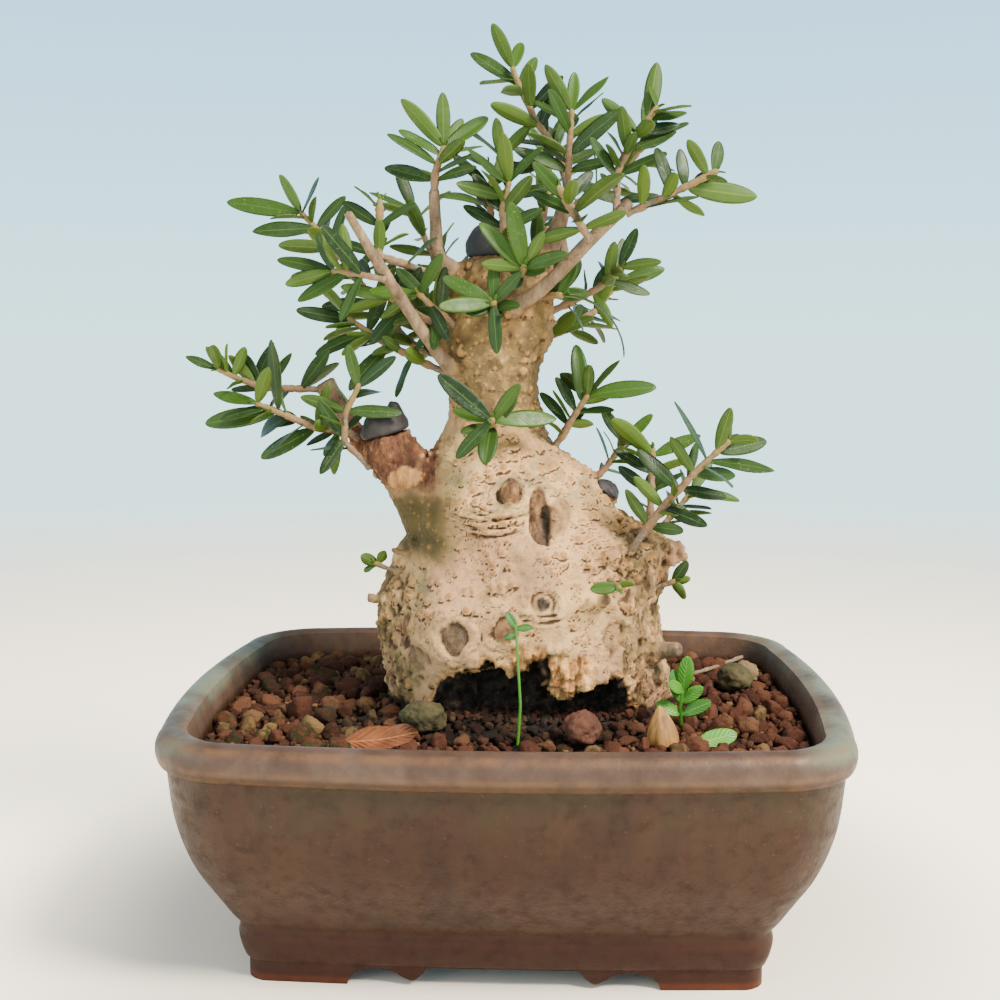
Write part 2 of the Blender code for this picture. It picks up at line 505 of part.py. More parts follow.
def pot_ring(z, inset):
    radius = max(CORNER_RADIUS - CORNER_SHRINK * inset, CORNER_MIN)
    half_x = LIP_HALF_X - inset
    half_y = LIP_HALF_Y - inset
    bow = SIDE_BOW * max(1.0 - inset / BOW_FADE, 0.0)
    points = []
    # Right side, back, left side, front, each followed by its corner
    for quarter in range(4):
        run_half = (half_y if quarter % 2 == 0 else half_x) - radius
        out_half = half_x if quarter % 2 == 0 else half_y
        turn = Matrix.Rotation(math.radians(90 * quarter), 2)
        for step in range(SIDE_STEPS):
            t = -1.0 + 2.0 * step / SIDE_STEPS
            local = Vector((out_half + bow * (1 - t * t), t * run_half))
            points.append((*(turn @ local), z))
        for step in range(CORNER_STEPS):
            angle = math.radians(90.0 * step / CORNER_STEPS)
            local = Vector((out_half - radius + radius * math.cos(angle),
                            run_half + radius * math.sin(angle)))
            points.append((*(turn @ local), z))
    return points


def arch_cutter(name, outline, reach, along_x, group):
    # The open stretch between two feet, mirrored and run right through the pot
    loop = list(outline) + [(-x, z) for x, z in reversed(outline)]
    count = len(loop)
    points = []
    for side in (-reach, reach):
        for across, z in loop:
            points.append((side, across, z) if along_x else (across, side, z))
    faces = [tuple(range(count)), tuple(reversed(range(count, 2 * count)))]
    for i in range(count):
        j = (i + 1) % count
        faces.append((i, j, count + j, count + i))
    return add_mesh(name, points, faces, group)


def make_pot(group, mat):
    rows = list(POT_OUTSIDE) + list(POT_INSIDE) + [(FLOOR_Z, FLOOR_INSET)]
    points = []
    for z, inset in rows:
        points += pot_ring(z, inset)
    around = 4 * (SIDE_STEPS + CORNER_STEPS)
    pot = add_mesh("pot", points, loft_faces(len(rows), around), group)
    under = primitive("cube", "under_hollow", (0, 0, UNDER_Z / 2 - 2), (2 * UNDER_HALF_X, 2 * UNDER_HALF_Y,
                                                                  UNDER_Z + 4), size=1)
    cutters = [under,
               arch_cutter("front_arch", FOOT_ARCH_FRONT, 95, False, group),
               arch_cutter("side_arch", FOOT_ARCH_SIDE, 115, True, group)]
    for side in (-1, 1):
        cutters.append(primitive("cylinder", "drain", (side * DRAIN_X, 0, FLOOR_Z / 2),
                                 (DRAIN_RADIUS, DRAIN_RADIUS, FLOOR_Z + 8), vertices=16, radius=1, depth=1))
    boolean(pot, cutters, "DIFFERENCE")
    finish(pot, mat, 35)
    return pot


def make_screen(name, x, group, mat):
    # A scrap of net over the drain hole: crossing strands
    pitch = (SCREEN_SIZE - SCREEN_STRAND) / (SCREEN_STRANDS - 1)
    strands = []
    for k in range(SCREEN_STRANDS):
        shift = -SCREEN_SIZE / 2 + SCREEN_STRAND / 2 + k * pitch
        strands.append(primitive("cube", "strand", (x + shift, 0, FLOOR_Z + GAP + 0.45),
                                 (SCREEN_STRAND, SCREEN_SIZE, 0.9), size=1))
        strands.append(primitive("cube", "strand", (x, shift, FLOOR_Z + GAP + 0.45),
                                 (SCREEN_SIZE, SCREEN_STRAND, 0.8), size=1))
    first = strands.pop(0)
    boolean(first, strands, "UNION")
    first.name = name
    finish(first, mat)
    return first


# Soil

def root_ring(around, z, grow=0.0):
    return [(ROOT_X + (ROOT_HALF_X + grow) * math.cos(2 * math.pi * i / around),
             ROOT_Y + (ROOT_HALF_Y + grow) * math.sin(2 * math.pi * i / around), z) for i in range(around)]


def resample(ring, around, centre):
    # The ring's points at equal angles round a centre
    out = []
    for i in range(around):
        angle = 2 * math.pi * i / around
        ray = Vector((math.cos(angle), math.sin(angle)))
        best = 0.0
        for k in range(len(ring)):
            a = Vector(ring[k][:2]) - centre
            b = Vector(ring[(k + 1) % len(ring)][:2]) - centre
            edge = b - a
            denom = ray.x * edge.y - ray.y * edge.x
            if abs(denom) < 1e-9:
                continue
            t = (a.x * edge.y - a.y * edge.x) / denom
            u = (a.x * ray.y - a.y * ray.x) / denom
            if t > 0 and -1e-6 <= u <= 1 + 1e-6:
                best = max(best, t)
        point = centre + ray * best
        out.append((point.x, point.y, ring[0][2]))
    return out


def soil_height(x, y, near_trunk):
    lump = math.sin(0.71 * x + 1.3) * math.sin(0.83 * y + 0.4) + 0.7 * math.sin(0.37 * x - 0.52 * y)
    lump += 0.5 * math.sin(1.15 * x + 0.9 * y + 2.0)
    return SOIL_EDGE_Z + SOIL_MOUND * smooth01(near_trunk) + SOIL_LUMP * lump


def make_soil(group, mat, screens):
    centre = Vector((ROOT_X, ROOT_Y))
    clear = 0.35
    walls = [(FLOOR_Z + clear, FLOOR_INSET + 0.6)]
    walls += [(z, inset + 0.45) for z, inset in reversed(POT_INSIDE) if z < SOIL_EDGE_Z]
    top_inset = lerp(POT_INSIDE[1][1], POT_INSIDE[0][1], (SOIL_EDGE_Z - 52) / 16) + 0.45
    rings = [resample(pot_ring(z, inset), SOIL_AROUND, centre) for z, inset in walls]
    rim = resample(pot_ring(SOIL_EDGE_Z, top_inset), SOIL_AROUND, centre)
    hole = root_ring(SOIL_AROUND, SOIL_EDGE_Z, GAP + 0.1)
    for ring in range(SOIL_RINGS):
        t = ring / (SOIL_RINGS - 1)
        row = []
        for (x0, y0, _), (x1, y1, _) in zip(rim, hole):
            wobble = 0.35 / (SOIL_RINGS - 1) * math.sin(1.7 * x0 + 2.1 * y0) * math.sin(math.pi * t)
            s = t + wobble
            x, y = lerp(x0, x1, s), lerp(y0, y1, s)
            row.append((x, y, soil_height(x, y, t)))
        rings.append(row)
    rings.append(root_ring(SOIL_AROUND, ROOT_BOTTOM_Z + 6.0, GAP + 0.1))
    lower = [(ROOT_X + (x - ROOT_X) * 0.8, ROOT_Y + (y - ROOT_Y) * 0.8, ROOT_BOTTOM_Z - GAP)
             for x, y, _ in root_ring(SOIL_AROUND, 0, GAP + 0.6)]
    rings.append(lower)
    points = [p for ring in rings for p in ring]
    soil = add_mesh("soil", points, loft_faces(len(rings), SOIL_AROUND), group)
    pockets = []
    for x in screens:
        pockets.append(primitive("cube", "pocket", (x, 0, FLOOR_Z),
                                 (SCREEN_SIZE + 0.8, SCREEN_SIZE + 0.8, 3.4), size=1))
    boolean(soil, pockets, "DIFFERENCE")
    finish(soil, mat)
    return soil


# Trunk

def section(z):
    rows = TRUNK_SECTIONS
    if z <= rows[0][0]:
        return rows[0][1:]
    for low, high in zip(rows, rows[1:]):
        if z <= high[0]:
            t = (z - low[0]) / (high[0] - low[0])
            return tuple(lerp(a, b, t) for a, b in zip(low[1:], high[1:]))
    return rows[-1][1:]


def hollow_edge(angle):
    # Height of the ragged bark edge over the hollow, and how deep the hollow is there
    x = ROOT_X + ROOT_HALF_X * math.cos(angle)
    u = (x - HOLLOW_X) / HOLLOW_HALF
    if math.sin(angle) > 0 or abs(u) >= 1:
        return HOLLOW_FLOOR_Z, 0.0
    arch = (1 - u * u) ** 0.6
    jag = arch * (1.9 * math.sin(0.52 * x + 0.8) + 1.3 * math.sin(1.25 * x + 1.0))
    return HOLLOW_FLOOR_Z + HOLLOW_RISE * arch + jag, HOLLOW_DEPTH * smooth01(2.2 * (1 - abs(u)))


def trunk_relief(angle, z):
    # Folds and swellings of the old wood, in millimetres along the radius
    girth = smooth01((160 - z) / 50)
    wave = 1.5 * math.sin(3 * angle + 0.045 * z + 0.6) + 1.0 * math.sin(5 * angle - 0.07 * z)
    wave += 0.8 * math.sin(8 * angle + 0.11 * z + 1.9) + 0.5 * math.sin(11 * angle - 0.16 * z)
    return wave * lerp(0.35, 1.0, girth)


def knot_relief(x, y, z):
    total = 0.0
    for knot_x, knot_z, radius, rise, eye in KNOTS:
        d = math.hypot(x - knot_x, z - knot_z) / radius
        if y < 0 and d < 2.2:
            total += rise * math.exp(-((d - 0.9) / 0.55) ** 2) - eye * math.exp(-(d / 0.5) ** 2)
    return total


def trunk_point(angle, z, scale=1.0):
    left, right, front, back = section(z)
    cx, cy = (left + right) / 2, (front + back) / 2
    x = (right - left) / 2 * math.cos(angle)
    y = (back - front) / 2 * math.sin(angle)
    length = math.hypot(x, y)
    fade = smooth01((z - ROOT_TOP_Z) / 8) * smooth01((209 - z) / 8)
    grow = (trunk_relief(angle, z) + knot_relief(cx + x, cy + y, z)) * fade
    k = scale * (length + grow) / length
    return (cx + x * k, cy + y * k, z)


def trunk_rings(around):
    rings = []
    angles = [2 * math.pi * i / around for i in range(around)]
    root = [(ROOT_HALF_X * math.cos(a), ROOT_HALF_Y * math.sin(a)) for a in angles]
    for z, scale in ((ROOT_BOTTOM_Z, 0.8), (ROOT_BOTTOM_Z + 6.0, 0.99), (ROOT_TOP_Z, 1.0)):
        rings.append([(ROOT_X + x * scale, ROOT_Y + y * scale, z) for x, y in root])
    floor, under, lip, above = [], [], [], []
    for a, (x, y) in zip(angles, root):
        edge, deep = hollow_edge(a)
        floor.append((ROOT_X + x * (0.985 - deep), ROOT_Y + y * (0.985 - deep), HOLLOW_FLOOR_Z))
        px, py, _ = trunk_point(a, edge)
        cx, cy = ROOT_X, ROOT_Y
        under.append((lerp(px, cx, 0.8 * deep + 0.01), lerp(py, cy, 0.8 * deep + 0.01), edge + 0.1))
        lip.append(trunk_point(a, edge + 0.8))
        above.append(trunk_point(a, edge + 3.2))
    rings += [floor, under, lip, above]
    top = TRUNK_SECTIONS[-1][0]
    count = int((top - HOLLOW_FLOOR_Z) / TRUNK_STEP_Z)
    for k in range(2, count + 1):
        nominal = lerp(HOLLOW_FLOOR_Z, top, k / count)
        ring = []
        for a in angles:
            lift = (hollow_edge(a)[0] - HOLLOW_FLOOR_Z) * max(0.0, 1 - (nominal - HOLLOW_FLOOR_Z) / 45)
            ring.append(trunk_point(a, nominal + lift))
        rings.append(ring)
    left, right, front, back = section(top)
    cap = [(lerp((left + right) / 2, x, 0.82), lerp((front + back) / 2, y, 0.82), top + 0.9)
           for x, y, _ in rings[-1]]
    rings.append(cap)
    return rings


def make_trunk(group, mat):
    rings = trunk_rings(TRUNK_AROUND)
    points = [p for ring in rings for p in ring]
    trunk = add_mesh("trunk", points, loft_faces(len(rings), TRUNK_AROUND), group)
    limbs = []
    for name, route, per_span in BRANCHES:
        limbs.append(tube(name, catmull(route, per_span), group, 2 if route[0][3] > 4 else 1))
    for foot, tip, r0, r1 in STUBS:
        limbs.append(tube("stub", [(*foot, r0), (*tip, r1)], group, 1))
    for foot, tip, r0 in SPLINTERS:
        middle = [lerp(a, b, 0.5) for a, b in zip(foot, tip)]
        limbs.append(tube("splinter", [(*foot, r0), (*middle, 0.75 * r0), (*tip, SPLINTER_TIP)], group, 0))
    boolean(trunk, limbs, "UNION")
    keep_body(trunk)
    finish(trunk, mat, 40)
    return trunk


# Wound paste: a low dome seated on each cut, with a soft lump

def make_paste(name, centre, axis, radius, height, lump, group, mat):
    rows = ((0.0, 0.93), (0.12, 1.02), (0.45, 0.98), (0.78, 0.74), (0.96, 0.38))
    around = 12
    rotate = Vector(axis).to_track_quat("Z", "Y").to_matrix()
    points = []
    for rise, width in rows:
        for i in range(around):
            a = 2 * math.pi * i / around
            wave = 1 + 0.05 * math.sin(3 * a + rise * 4) + 0.03 * math.sin(5 * a + 1)
            swell = lump * math.exp(-((math.cos(a) - 0.9) ** 2) * 3) * smooth01(rise * 1.4)
            local = Vector((radius * width * wave * math.cos(a), radius * width * wave * math.sin(a),
                            height * rise + swell))
            points.append(tuple(Vector(centre) + rotate @ local))
    paste = add_mesh(name, points, loft_faces(len(rows), around), group)
    finish(paste, mat, 50)
    return paste


# Leaves and shoots

def route_at(route, t):
    lengths = [(Vector(b[:3]) - Vector(a[:3])).length for a, b in zip(route, route[1:])]
    goal = t * sum(lengths)
    for k, length in enumerate(lengths):
        if goal <= length or k == len(lengths) - 1:
            a, b = Vector(route[k][:3]), Vector(route[k + 1][:3])
            f = min(goal / length, 1.0)
            return a.lerp(b, f), (b - a).normalized()
        goal -= length


def leaf_mesh(base, along, up, length, width, bend, grow=0.0, start=0.0):
    # A pointed blade with a keel under it, which follows an arc and ends in a tip
    side = along.cross(up).normalized()
    bend = bend if abs(bend) > 1e-3 else 1e-3
    points = []
    faces = [(0, 1, 2)]
    for place, wide, thick in LEAF_ROWS:
        s = max(place, start)
        a = bend * s
        mid = base + (length + grow) * (along * math.sin(a) - up * (1 - math.cos(a))) / bend
        normal = up * math.cos(a) + along * math.sin(a)
        half = width * wide / 2 + grow
        rise = LEAF_THICK * thick / 2 + grow
        points += [mid - side * half + normal * rise, mid - normal * rise, mid + side * half + normal * rise]
    points.append(base + (length + grow) * (along * math.sin(bend) - up * (1 - math.cos(bend))) / bend)
    rows = len(LEAF_ROWS)
    for row in range(rows - 1):
        o, p = 3 * row, 3 * row + 3
        for i in range(3):
            j = (i + 1) % 3
            if i == 1:
                faces += [(o + i, o + j, p + i), (o + j, p + j, p + i)]
            else:
                faces += [(o + i, o + j, p + j), (o + i, p + j, p + i)]
    last = 3 * (rows - 1)
    faces += [(last + i, last + (i + 1) % 3, 3 * rows) for i in range(3)]
    return points, faces


def leaf_specs(row, route):
    # Every leaf of a shoot as base, direction, upper side, length, width, bend
    name, _, _, singles, pairs = row
    total = sum((Vector(b) - Vector(a)).length for a, b in zip(route, route[1:]))
    nearest = LEAF_ROOT_CLEAR / total
    specs = []
    for place, heading, tilt, length, face in singles:
        base, axis = route_at(route, max(place, nearest))
        a = math.radians(heading + random.uniform(-3, 3))
        b = math.radians(tilt + random.uniform(-TILT_SPREAD, TILT_SPREAD))
        length = length / max(math.cos(b), 0.8)
        along = Vector((math.cos(a) * math.cos(b), -math.sin(b), math.sin(a) * math.cos(b)))
        show = 0.25 if face == 0 else face * random.uniform(0.55, 0.95)
        up = VIEW_DIR * show + (axis * 0.6 + Vector((0, 0, 0.4))) * (1 - abs(show))
        bend = random.uniform(-6, 20)
        specs.append((base, along, up, length, None, bend))
    if pairs:
        first, last, count, roll, length = pairs
        for k in range(count):
            base, axis = route_at(route, lerp(first, last, k / max(count - 1, 1)))
            across = axis.cross(Vector((0, 0, 1))).normalized()
            for half in (0, 180):
                turn = math.radians(roll + 90 * k + half + random.uniform(-14, 14))
                radial = Matrix.Rotation(turn, 3, axis) @ across
                lift = math.radians(LEAF_LIFT + random.uniform(-8, 8))
                along = axis * math.cos(lift) + radial * math.sin(lift)
                up = axis * math.sin(lift) - radial * math.cos(lift)
                specs.append((base, along, up, length * random.uniform(0.88, 1.1), None,
                              random.uniform(0, 22)))
    if name == HANGING_LEAF["shoot"]:
        base, axis = route_at(route, HANGING_LEAF["at"])
        a, b = math.radians(HANGING_LEAF["heading"]), math.radians(HANGING_LEAF["tilt"])
        along = Vector((math.cos(a) * math.cos(b), -math.sin(b), math.sin(a) * math.cos(b)))
        up = Vector((0.12, -0.35, 0.93))
        specs.append((base, along, up, HANGING_LEAF["length"], HANGING_LEAF["width"], HANGING_LEAF["bend"]))
    return specs


def placed_leaf(spec, trees, sisters):
    # The leaf as meant, or else bent a little until it clears the other pieces and, if it can,
    # the other leaves of its own shoot
    base, along, up, length, width, bend = spec
    along = along.normalized()
    base = base - along * random.uniform(0.1, 0.3)
    width = width or min(max(length * LEAF_WIDTH_RATIO, LEAF_WIDTH_MIN), LEAF_WIDTH_MAX)
    side = along.cross(up).normalized()
    tries = [(0, 0, 1.0)]
    for size in (10, 20, 32, 45):
        shrink = 1.0 if size < 32 else 0.85
        tries += [(size, 0, shrink), (-size, 0, shrink), (0, size, shrink), (0, -size, shrink),
                  (size, size, shrink), (-size, -size, shrink), (size, -size, shrink),
                  (-size, size, shrink)]
    second = None
    for swing, nod, shrink in tries:
        turn = Matrix.Rotation(math.radians(nod), 3, side)
        direction = (turn @ along).normalized()
        lifted = (turn @ up).normalized()
        direction = (Matrix.Rotation(math.radians(swing), 3, lifted) @ direction).normalized()
        normal = (lifted - direction * lifted.dot(direction)).normalized()
        shape = (base, direction, normal, length * shrink, width, math.radians(bend))
        probe = BVHTree.FromPolygons(*leaf_mesh(*shape, grow=LEAF_MARGIN / 2, start=0.06))
        if any(tree.overlap(probe) for tree in trees):
            continue
        outer = BVHTree.FromPolygons(*leaf_mesh(*shape, start=0.3))
        if not any(tree.overlap(outer) for tree in sisters):
            sisters.append(outer)
            return shape
        second = second or shape
    return second


def seated_route(route, radii, solid):
    # The shoot's route, started where its round end just clears the wood that it grew from
    total = sum((Vector(b) - Vector(a)).length for a, b in zip(route, route[1:]))
    steps = int(total / 0.1)
    start = 0.0
    for k in range(steps):
        t = k / steps
        mid, axis = route_at(route, t)
        across = axis.orthogonal().normalized()
        ring = [mid + Matrix.Rotation(math.radians(30 * i), 3, axis) @ across * radii[0] for i in range(12)]
        inside = False
        for point in ring + [mid]:
            near, normal, _, distance = solid.find_nearest(point)
            if (point - near).dot(normal) < 0 or distance < GAP:
                inside = True
                break
        if inside:
            start = (k + 1) / steps
        elif start > 0:
            break
    head, _ = route_at(route, start)
    rest = [Vector(p) for p in route]
    walked = 0.0
    kept = [head]
    for a, b in zip(rest, rest[1:]):
        walked += (b - a).length
        if walked > start * total + 1.5:
            kept.append(b)
    return [tuple(p) for p in kept]


def make_shoot(row, group, mat, wood, trees):
    name, route, radii, _, _ = row
    kept = seated_route(route, radii, wood)
    specs = leaf_specs(row, kept)
    count = len(kept)
    stem = [(*p, lerp(radii[0], radii[1], k / (count - 1))) for k, p in enumerate(kept)]
    shoot = tube(name, stem, group, 0)
    leaves = []
    sisters = []
    for spec in specs:
        shape = placed_leaf(spec, trees, sisters)
        if shape:
            points, faces = leaf_mesh(*shape)
            leaves.append(add_mesh("leaf", points, faces, group))
    boolean(shoot, leaves, "UNION")
    keep_body(shoot)
    finish(shoot, mat)
    return shoot


# Small things on the soil

def settle(obj, soil):
    # Lowers or lifts the object until it lies just clear of the soil
    ground, own = tree_of(soil), tree_of(obj)
    down, up = Vector((0, 0, -1)), Vector((0, 0, 1))
    clearances = []
    for p in world_points(obj):
        hit = ground.ray_cast(Vector((p.x, p.y, 200.0)), down)[0]
        if hit is not None:
            clearances.append(p.z - hit.z)
    for p in world_points(soil):
        hit = own.ray_cast(Vector((p.x, p.y, -50.0)), up)[0]
        if p.z > SOIL_EDGE_Z - 5 and hit is not None:
            clearances.append(hit.z - p.z)
    obj.data.transform(Matrix.Translation((0, 0, (GAP - min(clearances)) * MM)))


def make_stone(name, x, y, extent, turn, soil, group, mat):
    stone = primitive("ico_sphere", name, (x, y, 75), extent, (0.2, 0.1, turn), group,
                      subdivisions=2, radius=0.5)
    centre = Vector((x, y, 75)) * MM
    for vert in stone.data.vertices:
        away = (vert.co - centre) / MM
        dent = 1 + 0.09 * math.sin(1.3 * away.x + turn) * math.cos(1.1 * away.y) + 0.06 * math.sin(2 * away.z)
        vert.co = centre + (vert.co - centre) * dent
    settle(stone, soil)
    finish(stone, mat)
    return stone


def make_loose_leaf(name, base, heading, lean, length, width, bend, soil, group, mat):
    # lean tips the upper side towards the front, in degrees
    along = Vector((math.cos(math.radians(heading)), math.sin(math.radians(heading)), 0))
    up = Vector((0, -math.sin(math.radians(lean)), math.cos(math.radians(lean))))
    side = along.cross(up).normalized()
    points, faces = leaf_mesh(Vector((*base, 75)), along, side.cross(along), length, width,
                              math.radians(bend))
    leaf = add_mesh(name, points, faces, group)
    settle(leaf, soil)
    finish(leaf, mat)
    return leaf


def make_herb(name, stem, leaves, soil, trees, group, mat):
    # A young weed: a thin stem on the soil with a few leaves
    body = tube(name, stem, group, 0)
    route = [p[:3] for p in stem]
    blades = []
    sisters = []
    for place, heading, tilt, length, width in leaves:
        base, axis = route_at(route, place)
        a, b = math.radians(heading), math.radians(tilt)
        along = Vector((math.cos(a) * math.cos(b), -math.sin(b), math.sin(a) * math.cos(b)))
        shape = placed_leaf((base, along, VIEW_DIR + Vector((0, 0, 0.5)), length, width, 10), trees, sisters)
        if shape:
            points, faces = leaf_mesh(*shape)
            blades.append(add_mesh("blade", points, faces, group))
    boolean(body, blades, "UNION")
    keep_body(body)
    settle(body, soil)
    finish(body, mat)
    return body


def main():
    clear_scene()
    parts = collection("wild_olive_bonsai")
    glaze = material("glaze_brown", (0.118, 0.082, 0.058), 0.42)
    net = material("net_green", (0.05, 0.09, 0.06), 0.6)
    earth = material("soil_granules", (0.16, 0.062, 0.034), 0.95)
    bark = material("bark", (0.60, 0.47, 0.33), 0.85)
    paste = material("wound_paste", (0.055, 0.05, 0.052), 0.75)
    green = material("olive_leaf", (0.035, 0.085, 0.035), 0.4)
    weed_green = material("weed_green", (0.16, 0.42, 0.05), 0.45)
    dry = material("dry_leaf", (0.48, 0.22, 0.10), 0.7)
    husk_mat = material("seed_husk", (0.60, 0.38, 0.17), 0.7)
    moss = material("mossy_stone", (0.17, 0.16, 0.07), 0.9)
    red = material("red_stone", (0.20, 0.075, 0.04), 0.9)
    tan = material("tan_stone", (0.34, 0.27, 0.18), 0.9)

    make_pot(parts, glaze)
    for side, name in ((-1, "drain_screen_left"), (1, "drain_screen_right")):
        make_screen(name, side * DRAIN_X, parts, net)
    soil = make_soil(parts, earth, (-DRAIN_X, DRAIN_X))
    trunk = make_trunk(parts, bark)
    caps = [make_paste(*cap, parts, paste) for cap in PASTE_CAPS]
    wood = tree_of(trunk)
    trees = [wood] + [tree_of(cap) for cap in caps] + [tree_of(soil)]
    for row in SHOOTS:
        shoot = make_shoot(row, parts, green, wood, trees)
        trees.append(tree_of(shoot))

    make_stone("stone_mossy", -24.5, -32.5, (13.5, 10.5, 9.5), 0.4, soil, parts, moss)
    make_stone("stone_red", 22.0, -45.5, (11.5, 10.0, 9.5), 1.1, soil, parts, red)
    make_stone("stone_round", 74.0, 19.5, (12.0, 11.0, 9.5), 2.0, soil, parts, moss)
    make_stone("stone_tan", 80.0, 38.0, (10.0, 9.0, 7.0), 0.9, soil, parts, tan)
    make_loose_leaf("dry_leaf", (-47.5, -47.0), -2, 46, 25, 8.6, -34, soil, parts, dry)
    make_loose_leaf("fallen_leaf", (55.5, -40.0), 30, 42, 13.5, 6.4, -12, soil, parts, weed_green)
    husk = primitive("cone", "seed_husk", (44.3, -42.5, 76), (1, 1, 1), (0.35, -0.25, 0.0), parts,
                     vertices=10, radius1=4.3, radius2=1.2, depth=9.5)
    settle(husk, soil)
    finish(husk, husk_mat)
    twig = tube("dead_twig", [(62, 40, 74, 0.8), (72, 46, 75.5, 0.9), (81, 53.5, 77, 0.6)], parts, 0)
    settle(twig, soil)
    finish(twig, bark)
    make_herb("weed", [(52.4, -25.5, 69, 0.9), (51.8, -26.5, 75, 0.8), (52.2, -27.0, 80, 0.7)],
              ((0.35, 150, 14, 9, 4.5), (0.35, 30, 14, 10, 4.8), (0.7, 105, 10, 11, 5.2),
               (0.7, 52, 22, 9, 4.4), (1.0, 84, 6, 12, 5.4), (1.0, 128, 16, 8, 4.2)),
              soil, trees, parts, weed_green)
    make_herb("seedling", [(3.8, -46.5, 68, 0.6), (4.6, -46.6, 80, 0.55), (3.2, -45.5, 103, 0.5)],
              ((0.97, 118, 8, 6, 2.6), (0.97, 10, 10, 5, 2.4), (0.93, -160, 12, 4, 2.2)), soil, trees, parts,
              weed_green)


main()
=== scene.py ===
# Looks of the wild olive bonsai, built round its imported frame.
# Sizes below are millimetres and are scaled by MM. The front of the tree faces -Y.
import math
import random

import bmesh
import bpy
import numpy as np
from mathutils import Matrix, Vector, noise
from mathutils.bvhtree import BVHTree
from mathutils.kdtree import KDTree


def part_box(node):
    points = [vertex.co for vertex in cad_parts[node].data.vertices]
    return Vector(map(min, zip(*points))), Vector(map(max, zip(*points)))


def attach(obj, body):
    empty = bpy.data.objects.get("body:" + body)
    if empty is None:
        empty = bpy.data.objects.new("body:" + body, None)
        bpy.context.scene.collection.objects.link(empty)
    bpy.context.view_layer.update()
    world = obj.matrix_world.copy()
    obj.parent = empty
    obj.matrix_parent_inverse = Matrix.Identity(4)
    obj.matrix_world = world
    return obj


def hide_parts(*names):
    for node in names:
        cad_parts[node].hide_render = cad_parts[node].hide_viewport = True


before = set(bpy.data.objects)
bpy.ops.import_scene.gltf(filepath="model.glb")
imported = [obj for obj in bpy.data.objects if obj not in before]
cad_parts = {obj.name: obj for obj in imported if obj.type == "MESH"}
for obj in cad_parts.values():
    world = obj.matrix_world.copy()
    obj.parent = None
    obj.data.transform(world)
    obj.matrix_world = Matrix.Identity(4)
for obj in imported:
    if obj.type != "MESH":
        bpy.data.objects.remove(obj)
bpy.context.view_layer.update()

MM = 0.001
GAP = 0.3
FULL_TURN = 2 * math.pi

# Pot: straight lip size, how far each side bows out, and the corner radius at the lip
LIP_HALF_X = 98.0
LIP_HALF_Y = 77.0
SIDE_BOW = 4.4
BOW_FADE = 40.0
CORNER_RADIUS = 25.0
CORNER_SHRINK = 0.78
CORNER_MIN = 6.5
CORNER_STEPS = 14
SIDE_STEPS = 22
# Pot profile from the foot up the outside and over the lip: height, inset from the lip
POT_OUTSIDE = (
    (0.0, 23.6), (6.0, 23.6), (6.6, 22.6), (9.6, 21.5), (13.6, 20.8), (16.6, 21.2), (20.0, 18.8),
    (27.0, 14.4), (34.0, 10.1), (42.0, 6.7), (52.0, 4.1), (65.6, 2.7), (66.6, 0.9), (69.4, 0.0),
    (72.6, 0.2), (75.2, 2.0), (76.0, 5.2), (74.6, 9.0),
)
POT_INSIDE = ((68.0, 9.8), (52.0, 10.8), (38.0, 15.8), (26.0, 23.4), (17.5, 31.0))
FLOOR_Z = 14.0
FLOOR_INSET = 35.0
# Underside: hollow between the feet, and the open stretch between each pair of feet
UNDER_HALF_X = 62.0
UNDER_HALF_Y = 44.0
UNDER_Z = 5.0
FOOT_ARCH_FRONT = (
    (45.0, -1.0), (44.2, 2.0), (41.5, 4.1), (37.0, 5.0), (32.0, 4.4), (29.0, 2.8), (26.0, 1.6),
    (23.6, 3.2), (21.5, 5.6),
)
FOOT_ARCH_SIDE = (
    (34.0, -1.0), (33.2, 2.0), (30.8, 4.1), (27.2, 5.0), (23.4, 4.4), (21.0, 2.8), (18.6, 1.6),
    (16.6, 3.2), (15.0, 5.6),
)
DRAIN_X = 36.0
DRAIN_RADIUS = 7.0

# Soil
SOIL_EDGE_Z = 66.2
SOIL_MOUND = 2.6
SOIL_LUMP = 0.8

# Trunk: the part in the soil is an ellipse, above it each row is height, left, right, front, back
ROOT_X = 6.0
ROOT_Y = 0.5
ROOT_HALF_X = 44.5
ROOT_HALF_Y = 31.5
ROOT_TOP_Z = 70.9
TRUNK_SECTIONS = (
    (71.0, -38.5, 50.5, -31.0, 32.0),
    (80.0, -38.6, 51.0, -33.0, 32.0),
    (90.0, -39.4, 48.6, -34.5, 32.0),
    (99.0, -39.4, 48.0, -34.5, 31.5),
    (105.0, -38.8, 48.0, -34.0, 30.5),
    (110.0, -36.6, 49.8, -33.0, 29.5),
    (114.0, -34.4, 50.0, -32.0, 29.0),
    (119.0, -33.0, 51.0, -31.0, 27.0),
    (123.0, -31.0, 47.5, -30.0, 25.0),
    (127.0, -30.5, 40.0, -28.0, 23.0),
    (132.0, -30.5, 31.5, -26.0, 21.0),
    (138.0, -30.0, 27.8, -24.0, 20.0),
    (143.0, -29.0, 24.5, -22.0, 19.0),
    (148.0, -26.0, 16.5, -20.0, 18.0),
    (153.0, -21.8, 11.0, -18.5, 17.0),
    (160.0, -20.0, 8.8, -17.0, 16.0),
    (170.0, -19.4, 8.0, -16.0, 15.5),
    (177.0, -20.4, 9.0, -15.5, 15.0),
    (183.0, -22.6, 12.6, -16.0, 15.5),
    (190.0, -22.6, 13.6, -16.0, 15.5),
    (197.0, -20.4, 13.0, -15.0, 15.0),
    (203.0, -18.0, 11.2, -13.5, 14.0),
    (207.5, -15.0, 9.0, -11.0, 12.0),
)
